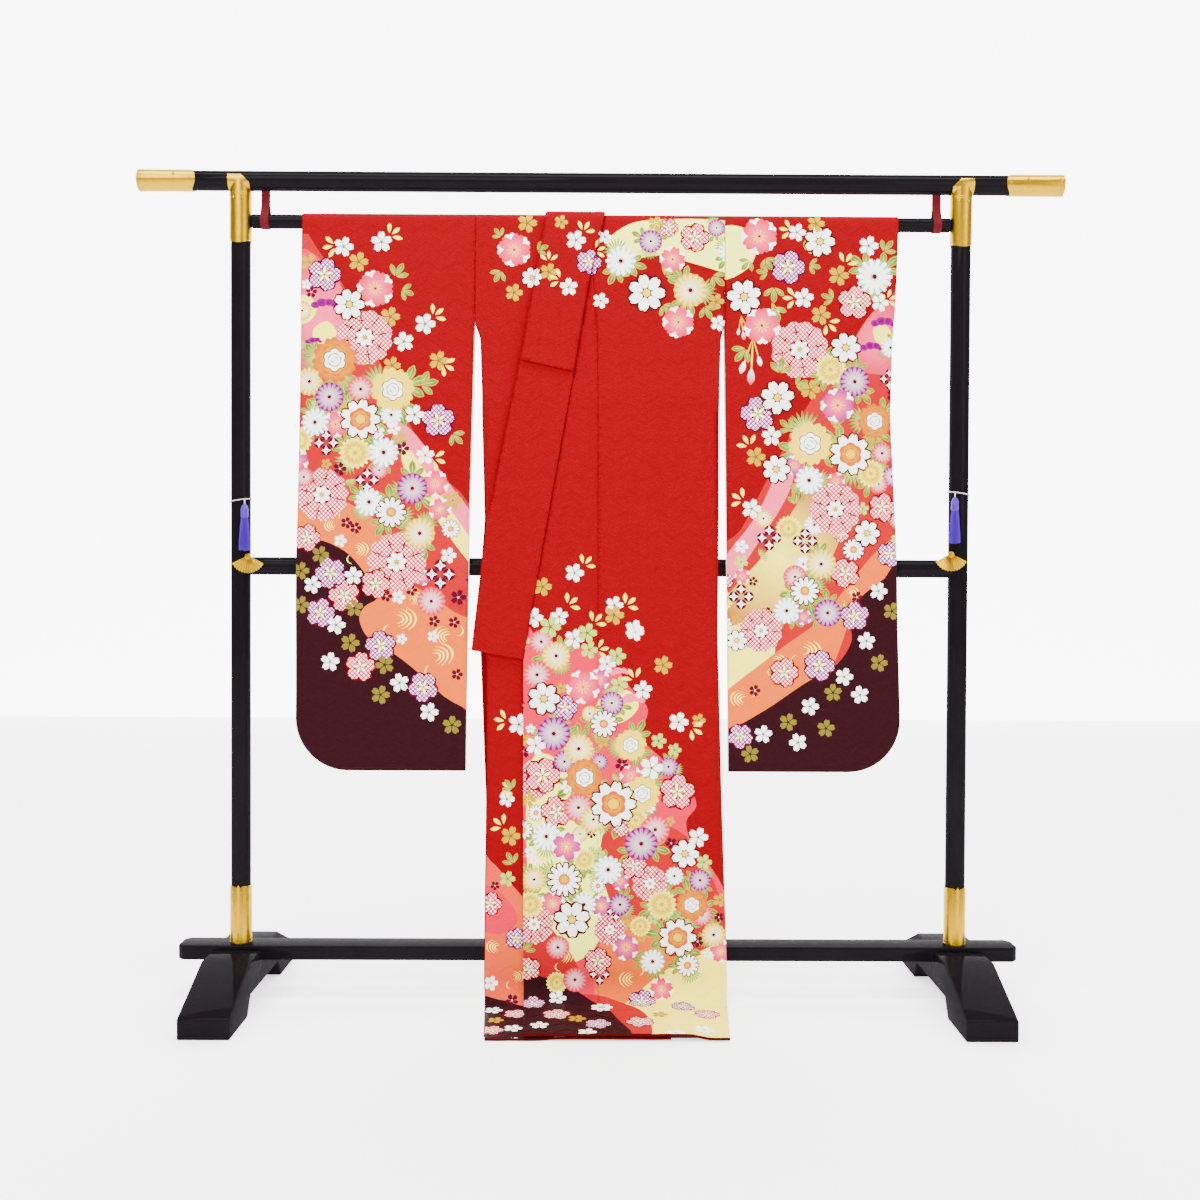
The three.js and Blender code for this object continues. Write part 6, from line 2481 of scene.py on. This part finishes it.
@dataclass
class Rack(Assembly):
    """The lacquered rack: rails, posts, feet and the hanging rod."""

    def build(self) -> None:
        """Makes every lacquered piece."""
        bars = {
            "top_rail": (Axis.X, TOP_RAIL_R, (0, 0, TOP_RAIL_Z), 2 * (TOP_RAIL_HALF - GOLD_WALL - GAP), 1.5),
            "hanging_rod": (Axis.X, ROD_R, (0, 0, ROD_Z), 2 * ROD_HALF, 4.0),
            "mid_rail": (Axis.X, MID_RAIL_R, (0, 0, MID_RAIL_Z), 2 * (POST_X - POST_R + 6), 0.0),
        }
        for name, (axis, radius, middle, length, soft) in bars.items():
            obj = round_bar(name + "_lacquer", axis, radius, middle, length, soft=soft)
            self.finish_piece(obj, "lacquer", "black_lacquer", name)
        for hand in Hand:
            low, high = BASE_HIGH + GAP, TOP_RAIL_Z - 12
            obj = round_bar(f"post_{hand.word}_lacquer", Axis.Z, POST_R,
                            (hand.value * POST_X, 0, (low + high) / 2), high - low)
            self.finish_piece(obj, "lacquer", "black_lacquer", f"post_{hand.word}")
            self.foot(hand)
        self.base_rail()

    def base_rail(self) -> None:
        """Makes the flat rail whose chamfered ends are let into the feet."""
        x, y, chamfer = BASE_HALF, BASE_DEPTH / 2, 11.0
        outline = [(-x + chamfer, -y), (x - chamfer, -y), (x, -y + chamfer), (x, y - chamfer),
                   (x - chamfer, y), (-x + chamfer, y), (-x, y - chamfer), (-x, -y + chamfer)]
        obj = bevel(prism("base_rail_lacquer", outline, Axis.Z, BASE_LOW, BASE_HIGH), 2.2, 4)
        self.finish_piece(smooth_by_angle(obj), "lacquer", "black_lacquer", "base_rail")

    def foot(self, hand: Hand) -> None:
        """Makes a foot: a flat middle, sloping toes and an arch under it.

        Args:
            hand: The side.
        """
        half, toe, top, flat, arch_foot, arch_top, arch_z, width = 250, 38.5, 99, 103, 128, 106, 35, 95
        outline = [(-half, 0), (-arch_foot, 0), (-arch_top, arch_z), (arch_top, arch_z), (arch_foot, 0),
                   (half, 0), (half, toe), (flat, top), (-flat, top), (-half, toe)]
        x = hand.value * POST_X
        obj = prism(f"foot_{hand.word}_lacquer", outline, Axis.X, x - width / 2, x + width / 2)
        reach = width / 2 + 10
        seat = block("seat", (x - reach, -BASE_DEPTH / 2 - GAP, BASE_LOW - GAP),
                     (x + reach, BASE_DEPTH / 2 + GAP, 140))
        bevel(boolean(obj, seat, "DIFFERENCE"), 3.0, 4)
        self.finish_piece(smooth_by_angle(obj), "lacquer", "black_lacquer", f"foot_{hand.word}")


@dataclass
class Gilding(Assembly):
    """Gilt caps, collars and fans."""

    def build(self) -> None:
        """Makes every gilt piece on both sides."""
        for hand in Hand:
            self.top_cap(hand)
            self.top_collar(hand)
            self.bottom_collar(hand)
            self.fan(hand)

    def shell(self, name: str, bars: Sequence[Piece], bores: Sequence[Piece], outline: Outline) -> Piece:
        """Joins bars, bores them and cuts them to an outline in the front view.

        Args:
            name: Its name.
            bars: The bars.
            bores: What is bored out.
            outline: The outline, as (X, Z) places.

        Returns:
            The shell.
        """
        obj = bars[0]
        for other in bars[1:]:
            boolean(obj, other, "UNION")
        for bore in bores:
            boolean(obj, bore, "DIFFERENCE")
        boolean(obj, prism("outline", outline, Axis.Y, -60, 60), "INTERSECT")
        obj.name = obj.data.name = name
        bevel(obj, 0.45, 2)
        return smooth_by_angle(obj, 40)

    def nails(self, obj: Piece, places: Outline) -> Piece:
        """Adds round nail heads on the front and back of a shell, at (X, Z) places.

        Args:
            obj: The shell.
            places: Places in the front view.

        Returns:
            The shell with its nails.
        """
        made = []
        for x, z in places:
            for side in Side:
                bpy.ops.mesh.primitive_uv_sphere_add(segments=14, ring_count=8, radius=2.1 * MM,
                                                     location=Vector((x, side.value * POST_COVER, z)) * MM)
                head = bpy.context.active_object
                head.scale = (1, 0.55, 1)
                made.append(smooth_by_angle(place_in_mesh(head)))
        return joined(obj, made)

    def bands(self, obj: Piece, axis: Axis, radius: float, places: Sequence[Place],
              thick: float = 0.8) -> Piece:
        """Adds fine chased rings round a shell.

        Args:
            obj: The shell.
            axis: Their direction.
            radius: Their radius.
            places: Their middles.
            thick: Half their thickness.

        Returns:
            The shell with its rings.
        """
        made = []
        for place in places:
            bpy.ops.mesh.primitive_torus_add(major_radius=radius * MM, minor_radius=thick * MM,
                                             major_segments=72, minor_segments=8,
                                             location=Vector(place) * MM, rotation=axis.value)
            made.append(smooth_by_angle(place_in_mesh(bpy.context.active_object)))
        return joined(obj, made)

    def top_cap(self, hand: Hand) -> None:
        """Makes the cap on one end of the top rail, with a rounded tongue at its inner end.

        Args:
            hand: The side.
        """
        length, tongue, half = 115.0, 26.0, 24.0
        factor = hand.value
        inner = TOP_RAIL_HALF - length
        radius = TOP_RAIL_R + GAP + GOLD_WALL
        middle = factor * (TOP_RAIL_HALF - length / 2)
        bar = round_bar("cap", Axis.X, radius, (middle, 0, TOP_RAIL_Z), length)
        bore_middle = factor * (inner - 20 + (length + 20 - GOLD_WALL) / 2)
        bore = round_bar("bore", Axis.X, TOP_RAIL_R + GAP, (bore_middle, 0, TOP_RAIL_Z),
                         length + 20 - GOLD_WALL)
        end = TOP_RAIL_HALF + 10
        outline = arc(inner + tongue, TOP_RAIL_Z, tongue, half, 90, 270)
        outline += [(end, TOP_RAIL_Z - half), (end, TOP_RAIL_Z + half)]
        if hand is Hand.LEFT:
            outline = [(-x, z) for x, z in outline][::-1]
        obj = self.shell(f"top_cap_{hand.word}_gilt", [bar], [bore], outline)
        rings = [(factor * x, 0, TOP_RAIL_Z) for x in (TOP_RAIL_HALF - 4, TOP_RAIL_HALF - 9)]
        obj = self.bands(obj, Axis.X, radius - 0.1, rings)
        obj = self.nails(obj, [(factor * (inner + 9), TOP_RAIL_Z), (factor * (inner + 42), TOP_RAIL_Z + 9),
                               (factor * (inner + 42), TOP_RAIL_Z - 9)])
        self.finish_piece(obj, "gilt", "gilt_metal", f"top_cap_{hand.word}")

    def top_collar(self, hand: Hand) -> None:
        """Makes the collar where a post meets the top rail, with a slanted corner and a rounded tongue.

        Args:
            hand: The side.
        """
        low, high, tongue, half, slant = 1484.0, 1617.0, 12.0, 21.0, 16.0
        x = hand.value * POST_X
        upright = round_bar("upright", Axis.Z, POST_COVER, (x, 0, (low + TOP_RAIL_Z) / 2), TOP_RAIL_Z - low)
        across = round_bar("across", Axis.X, POST_COVER, (x, 0, TOP_RAIL_Z), 2 * half)
        length = TOP_RAIL_Z - low
        bores = [round_bar("bore", Axis.Z, POST_SEAT, (x, 0, (low + TOP_RAIL_Z) / 2 - 4), length + 8),
                 round_bar("bore", Axis.X, POST_SEAT, (x, 0, TOP_RAIL_Z), 4 * half)]
        left_cut, right_cut = (slant, 0) if hand is Hand.RIGHT else (0, slant)
        outline = arc(x, low + tongue, half, tongue, 180, 360)
        outline += [(x + half, high - right_cut), (x + half - right_cut - 0.01, high),
                    (x - half + left_cut + 0.01, high), (x - half, high - left_cut)]
        obj = self.shell(f"top_collar_{hand.word}_gilt", [upright, across], bores, outline)
        obj = self.nails(obj, [(x, low + 10), (x - 9, 1572), (x + 9, 1572), (x, 1540)])
        obj = self.bands(obj, Axis.Z, POST_COVER - 0.25, [(x, 0, 1583), (x, 0, 1579)], 0.7)
        self.finish_piece(obj, "gilt", "gilt_metal", f"top_collar_{hand.word}")

    def bottom_collar(self, hand: Hand) -> None:
        """Makes the collar at a post's foot, with a cusped top edge.

        Args:
            hand: The side.
        """
        low, high, cusp, half, lobe_x, lobe = BASE_HIGH + GAP, 224.0, 9.0, 22.0, 12.0, 10.0
        x = hand.value * POST_X
        bar = round_bar("bar", Axis.Z, POST_COVER, (x, 0, (low + high) / 2), high - low)
        bore = round_bar("bore", Axis.Z, POST_SEAT, (x, 0, (low + high) / 2), high - low + 10)
        outline = [(x - half, low - 1), (x + half, low - 1), (x + half, high - cusp * 0.8)]
        outline += arc(x + lobe_x, high - cusp, lobe, cusp * 0.75, 20, 150, 8) + [(x, high)]
        outline += arc(x - lobe_x, high - cusp, lobe, cusp * 0.75, 30, 160, 8)
        outline.append((x - half, high - cusp * 0.8))
        obj = self.shell(f"bottom_collar_{hand.word}_gilt", [bar], [bore], outline)
        rings = [(x, 0, low + 3), (x, 0, low + 9), (x, 0, high - 24), (x, 0, high - 28)]
        obj = self.bands(obj, Axis.Z, POST_COVER - 0.25, rings, 0.7)
        obj = self.nails(obj, [(x - 9, high - 14), (x + 9, high - 14), (x, low + 20)])
        self.finish_piece(obj, "gilt", "gilt_metal", f"bottom_collar_{hand.word}")

    def fan(self, hand: Hand) -> None:
        """Makes the small pleated fan that hangs where a post meets the middle rail.

        Args:
            hand: The side.
        """
        pivot_z = FAN_PIVOT[hand]
        radius, spread, ribs, thick, pleat = 35.0, 1.1, 13, 2.4, 1.1
        back, x0 = -POST_R - GAP, hand.value * 690.0
        columns, rings = ribs * 2, (0.16, 0.45, 0.72, 0.94, 1.0)
        vertices, faces = [], []
        for front in (True, False):
            for k in range(columns + 1):
                angle = -spread + 2 * spread * k / columns
                for r in rings:
                    reach = radius * (r * (1 - 0.05 * ((k + 1) % 2)) if r == 1.0 else r)
                    y = back - thick + (pleat if k % 2 else 0) if front else back
                    vertices.append((x0 + reach * math.sin(angle), y, pivot_z - reach * math.cos(angle)))
        count, sheet_size = len(rings), (columns + 1) * len(rings)
        for k in range(columns):
            for r in range(count - 1):
                a, b, c, d = k * count + r, (k + 1) * count + r, (k + 1) * count + r + 1, k * count + r + 1
                faces += [(a, d, c, b), tuple(n + sheet_size for n in (a, b, c, d))]
                if r == 0:
                    faces.append((a, b, b + sheet_size, a + sheet_size))
                if r == count - 2:
                    faces.append((d, d + sheet_size, c + sheet_size, c))
                if k == 0:
                    faces.append((a, a + sheet_size, d + sheet_size, d))
                if k == columns - 1:
                    faces.append((b, c, c + sheet_size, b + sheet_size))
        obj = turned_out(from_faces(f"fan_{hand.word}_gilt", vertices, faces))
        knob = round_bar("knob", Axis.Y, 6.0, (x0, back - 1.9, pivot_z - 2), 3.8, 40, 0.8)
        obj = smooth_by_angle(joined(obj, [knob]), 20)
        self.finish_piece(obj, "gilt", "gilt_metal", f"fan_{hand.word}")


def tube(name: str, line: Sequence[Place], radius: float, sides: int = 8,
         smooth_line: bool = True) -> Piece:
    """A round cord along a line, as a mesh.

    Args:
        name: Its name.
        line: Points in millimetres.
        radius: Its radius in millimetres.
        sides: Sides of its section, a multiple of 4.
        smooth_line: Whether the line is a curve through the points.

    Returns:
        The cord.
    """
    data = bpy.data.curves.new(name, "CURVE")
    data.dimensions = "3D"
    data.bevel_depth = radius * MM
    data.bevel_resolution = max(0, sides // 4 - 1)
    data.use_fill_caps = True
    spline = data.splines.new("NURBS" if smooth_line else "POLY")
    spline.points.add(len(line) - 1)
    for point, place in zip(spline.points, line, strict=True):
        point.co = (*(Vector(place) * MM), 1.0)
    if smooth_line:
        spline.order_u = 3
        spline.use_endpoint_u = True
        spline.resolution_u = 6
    only(linked(name, data))
    bpy.ops.object.convert(target="MESH")
    obj = bpy.context.active_object
    obj.data.polygons.foreach_set("use_smooth", [True] * len(obj.data.polygons))
    return obj


@dataclass
class Hangings(Assembly):
    """The rod's straps, and the tassels with their cords."""

    def build(self) -> None:
        """Makes the hangings on both sides."""
        for hand in Hand:
            self.strap(hand)
            self.tassel(hand)
            self.tassel_cord(hand)

    def strap(self, hand: Hand) -> None:
        """Makes the cloth loop that carries one end of the rod.

        Args:
            hand: The side.
        """
        width, thick = 16.5, 1.5
        inner, x = ROD_R + GAP, hand.value * 660.0
        outer, top = inner + thick, TOP_RAIL_Z - TOP_RAIL_R - GAP
        line = [(-1.9, top), (-1.9, ROD_Z + inner * 2.25)]
        line += arc(0, ROD_Z, (inner + outer) / 2, (inner + outer) / 2, 155, 385, 40)
        line += [(1.9, ROD_Z + inner * 2.25), (1.9, top)]
        vertices = []
        for k, (y, z) in enumerate(line):
            before, after = line[max(0, k - 1)], line[min(len(line) - 1, k + 1)]
            along = Vector((after[0] - before[0], after[1] - before[1])).normalized()
            for side in (-1, 1):
                for edge in (-1, 1):
                    vertices.append((x + edge * width / 2, y - side * along.y * thick / 2,
                                     z + side * along.x * thick / 2))
        faces = []
        for k in range(len(line) - 1):
            a, b = 4 * k, 4 * k + 4
            faces += [(a, a + 1, b + 1, b), (a + 2, b + 2, b + 3, a + 3), (a, b, b + 2, a + 2),
                      (a + 1, a + 3, b + 3, b + 1)]
        last = 4 * (len(line) - 1)
        faces += [(0, 2, 3, 1), (last, last + 1, last + 3, last + 2)]
        obj = bevel(turned_out(from_faces(f"strap_{hand.word}_cloth", vertices, faces)), 0.35, 2)
        self.finish_piece(smooth_by_angle(obj, 30), "strap", "strap_cloth", f"strap_{hand.word}")

    def tassel(self, hand: Hand) -> None:
        """Makes a tassel: a bound head and a skirt of fine strands that are fused in it.

        Args:
            hand: The side.
        """
        top = TASSEL_TOP[hand]
        x, y, length, head_r, skirt_r = hand.value * 693.0, -33.0, 92.0, 7.5, 12.0
        profile = [(0.2, 0.2), (2.6, -0.4), (5.2, -3.4), (6.8, -8), (7.5, -12), (6.9, -16), (6.2, -18.2),
                   (7.2, -20), (7.5, -24), (6.0, -27), (0.2, -27)]
        vertices, faces, sides = [], [], 28
        for r, z in profile:
            for k in range(sides):
                a = 2 * math.pi * k / sides
                vertices.append((x + r * math.cos(a), y + r * math.sin(a), top + z))
        for j in range(len(profile) - 1):
            for k in range(sides):
                a, b = j * sides + k, j * sides + (k + 1) % sides
                faces.append((a, a + sides, b + sides, b))
        faces += [tuple(range(sides)),
                  tuple(reversed(range((len(profile) - 1) * sides, len(profile) * sides)))]
        golden = math.pi * (3 - math.sqrt(5))
        chance = random.Random(11 + hand.value)
        for n in range(STRANDS):
            share = math.sqrt((n + 0.5) / STRANDS)
            a = n * golden
            root = head_r * 0.82 * share
            tip = (skirt_r - 1.2) * share * chance.uniform(0.94, 1.04)
            end = -length + chance.uniform(0, 3.0) + 2.0 * share
            start = len(vertices)
            for t in (0.0, 0.3, 0.7, 1.0):
                r = root + (tip - root) * (1 - (1 - t) ** 1.6)
                for k in range(3):
                    b = a + 2 * math.pi * k / 3
                    vertices.append((x + r * math.cos(a) + STRAND_R * math.cos(b),
                                     y + r * math.sin(a) + STRAND_R * math.sin(b),
                                     top - 24 + (end + 24) * t))
            for j in range(3):
                for k in range(3):
                    p, q = start + 3 * j + k, start + 3 * j + (k + 1) % 3
                    faces.append((p, p + 3, q + 3, q))
            faces.append((start + 11, start + 10, start + 9))
        obj = from_faces(f"tassel_{hand.word}_silk", vertices, faces)
        binding = []
        for z in (-17.0, -18.6, -20.2):
            bpy.ops.mesh.primitive_torus_add(major_radius=6.9 * MM, minor_radius=0.8 * MM,
                                             major_segments=28, minor_segments=6,
                                             location=Vector((x, y, top + z)) * MM)
            binding.append(place_in_mesh(bpy.context.active_object))
        self.finish_piece(smooth_by_angle(joined(obj, binding), 50), "tassel", "tassel_silk",
                          f"tassel_{hand.word}")

    def tassel_cord(self, hand: Hand) -> None:
        """Makes the cord that is wound round the post and drops to the tassel.

        Args:
            hand: The side.
        """
        top = TASSEL_TOP[hand]
        thick, factor, z = 1.1, hand.value, top + 9.0
        ring = []
        for k in range(49):
            a = 2 * math.pi * k / 48
            local = (POST_SEAT + thick + 0.3) * math.cos(a)
            ring.append((factor * POST_X + local, (POST_SEAT + thick + 0.2) * math.sin(a),
                         z - factor * 0.16 * local))
        loop = tube("loop", ring, thick, 8, smooth_line=False)
        drop = tube("drop", [(factor * (POST_X - 9), -19.2, z + 1.4),
                             (factor * (POST_X - 12), -24, z + 1.5), (factor * 693.5, -31, z - 1),
                             (factor * 693, -33, top)], thick, 8)
        joined(loop, [drop])
        loop.name = loop.data.name = f"tassel_cord_{hand.word}_silk"
        self.finish_piece(loop, "cord", "silver_cord", f"tassel_cord_{hand.word}")


@dataclass(frozen=True)
class Cut:
    """The flat cut of a panel.

    Attributes:
        width: Width in metres.
        length: Length in metres.
        area: Flat area in square metres, where the cut isn't a rectangle.
        held: How it is held.
        rests_on: What it rests on.
    """

    width: float
    length: float
    area: float | None = None
    held: str = "hung"
    rests_on: tuple[str, ...] = ("hanging_rod",)


@dataclass
class Kimono(Assembly):
    """The kimono, panel by panel."""

    def build(self) -> None:
        """Makes every panel with its lining."""
        collar = CollarPanel("collar_over")
        lift = COLLAR_WALL / 2 + GAP + WALL / 2
        cover = CollarPanel("collar_cover", end_free=1257, end_seam=1235, lift=lift, curl=2.6,
                            back_low=1494, inset=1.2, wall=WALL)
        layouts = Layouts()
        panels = (
            (BodyPanel("body_left", hand=Hand.LEFT), "red lining", layouts.body_left, Cut(0.32, 3.4)),
            (BodyPanel("body_right", hand=Hand.RIGHT), "red lining", layouts.body, Cut(0.32, 3.4)),
            (OverlapPanel("overlap_left", hand=Hand.LEFT), "red lining", layouts.plain,
             Cut(0.15, 1.62, 0.19, rests_on=("body_left",))),
            (OverlapPanel("overlap_right", hand=Hand.RIGHT), "red lining", layouts.overlap,
             Cut(0.15, 1.62, 0.19, rests_on=("body_right",))),
            (collar, "collar silk", layouts.plain, Cut(0.112, 0.9, held="folded", rests_on=("body_right",))),
            (cover, "collar silk", layouts.cover, Cut(0.11, 0.34, rests_on=("collar_over",))),
            (UnderCollarPanel("collar_under"), "collar silk", layouts.plain,
             Cut(0.055, 0.82, held="folded", rests_on=("body_left",))),
            (SleevePanel("sleeve_left", hand=Hand.LEFT), "white lining", layouts.sleeve_left,
             Cut(0.34, 2.2)),
            (SleevePanel("sleeve_right", hand=Hand.RIGHT), "white lining", layouts.sleeve_right,
             Cut(0.34, 2.2)),
        )
        for panel, inside, layout, cut in panels:
            obj = Weaver(panel, *layout).build(panel.name + "_silk", panel.wall - 0.1)
            slot = "collar_silk" if "collar_" in panel.name else "red_silk"
            self.finish_piece(obj, "printed silk", slot, panel.name)
            inner = self.finish_piece(lining(panel, panel.name + "_lining"), inside, "red_silk")
        self.hem_rolls()

    def hem_rolls(self) -> None:
        """Makes the padded rolls along the hems of the two fronts."""
        runs = {
            Hand.LEFT: (-205.0, 131.0, 2.2),
            Hand.RIGHT: (-135.5, 237.0, 0.2),
        }
        for hand, (start, end, drop) in runs.items():
            line = []
            for x in np.linspace(start, end, 60):
                rise = float(LAYERS[hand].settle(np.array(x), np.array(-200.0)))
                cloth_z = FLOOR_Z + LAYERS[hand].level + rise
                swell = 0.15 * math.sin(x / 9.0) + 0.12 * math.sin(x / 23.0 + 1)
                line.append((x, HEM_Y - GAP - HEM_ROLL_R, max(HEM_ROLL_R + 0.1, cloth_z - drop) + swell))
            obj = tube(f"hem_roll_{hand.word}_silk", line, HEM_ROLL_R, 16)
            self.finish_piece(obj, "hem", "hem_silk", f"hem_roll_{hand.word}")


# ---------------------------------------------------------------- view, light and floor
@dataclass(frozen=True)
class View:
    """The camera, worked out from the rack's corners.

    Attributes:
        place: Where it stands, in metres.
        pitch: How far it looks down, in degrees.
        yaw: How far it turns to the right, in degrees.
        roll: How far it leans to the right, in degrees.
        lens: Focal length on a 36 mm sensor.
    """

    place: tuple[float, float, float] = (-0.01273, -2.528, 0.83307)
    pitch: float = 1.01
    yaw: float = 0.30
    roll: float = 0.26
    lens: float = 38.32

    def build(self) -> None:
        """Makes the camera and looks through it."""
        data = bpy.data.cameras.new("camera")
        data.lens, data.sensor_width = self.lens, 36.0
        camera = linked("camera", data)
        pitch, yaw, roll = (math.radians(a) for a in (self.pitch, self.yaw, self.roll))
        ahead = Vector((math.sin(yaw) * math.cos(pitch), math.cos(yaw) * math.cos(pitch), -math.sin(pitch)))
        right = Vector((math.cos(yaw), -math.sin(yaw), 0.0))
        up = right.cross(ahead)
        across = right * math.cos(roll) + up * math.sin(roll)
        upward = -right * math.sin(roll) + up * math.cos(roll)
        turn = Matrix((across, upward, -ahead)).transposed()
        camera.matrix_world = Matrix.Translation(self.place) @ turn.to_4x4()
        bpy.context.scene.camera = camera


ROOM_SIZE = 20.0  # metres
WALL_PLACE = (0, 5, 3)  # beyond every place from which the part is looked at
FLOOR_GLOW, WALL_GLOW, ROOM_LIGHT = 1.5, 6.0, 0.8


def area_light(name: str, place: Place, aim: Place, size: tuple[float, float], power: float) -> Piece:
    """A soft rectangular light that points at a place.

    Args:
        name: Its name.
        place: Where it is, in metres.
        aim: Where it points.
        size: Its width and height in metres.
        power: Its power in watts.

    Returns:
        The light.
    """
    data = bpy.data.lights.new(name, "AREA")
    data.shape, data.size, data.size_y, data.energy = "RECTANGLE", size[0], size[1], power
    lamp = linked(name, data)
    lamp.location = place
    lamp.rotation_euler = (Vector(aim) - Vector(place)).to_track_quat("-Z", "Y").to_euler()
    return lamp


def pale_ground(name: str, glow: float) -> bpy.types.Material:
    """A plain pale material for the floor and the wall, with a soft light of its own where glow is set.

    Args:
        name: Its name.
        glow: Strength of its own light.

    Returns:
        The material.
    """
    made, _, shader = new_material(name)
    set_value(shader, Base_Color=(0.93, 0.93, 0.94, 1), Roughness=0.7, Specular_IOR_Level=0.2,
              Emission_Color=(1, 1, 1, 1), Emission_Strength=glow)
    return made


def studio() -> None:
    """Makes the pale floor, the glowing wall far behind it, and the light."""
    for name, middle, turn, glow in (("floor", (0, 0, 0), 0.0, FLOOR_GLOW),
                                     ("back_wall", WALL_PLACE, math.pi / 2, WALL_GLOW)):
        bpy.ops.mesh.primitive_plane_add(size=ROOM_SIZE, location=middle, rotation=(turn, 0, 0))
        sheet = bpy.context.active_object
        sheet.name = name
        sheet.data.materials.append(pale_ground("pale " + name, glow))
    world = bpy.data.worlds.new("room")
    world.use_nodes = True
    world.node_tree.nodes["Background"].inputs[0].default_value = (1, 1, 1, 1)
    world.node_tree.nodes["Background"].inputs[1].default_value = ROOM_LIGHT
    bpy.context.scene.world = world
    area_light("key", (-1.4, -3.4, 3.4), (0, 0, 1.3), (2.4, 2.0), 205)
    area_light("fill", (2.6, -2.6, 2.0), (0, 0, 1.1), (2.0, 2.0), 70)
    area_light("top", (0, -0.9, 4.2), (0, -0.6, 0), (4.2, 1.2), 330)


def main() -> None:
    """Builds the whole part."""
    logging.basicConfig(level=logging.INFO, format="%(message)s")
    for obj in list(bpy.data.objects):
        bpy.data.objects.remove(obj)
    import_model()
    palette = Palette()
    Rack(palette).build()
    Gilding(palette).build()
    Hangings(palette).build()
    Kimono(palette).build()
    studio()
    View().build()


if __name__ == "__main__":
    main()
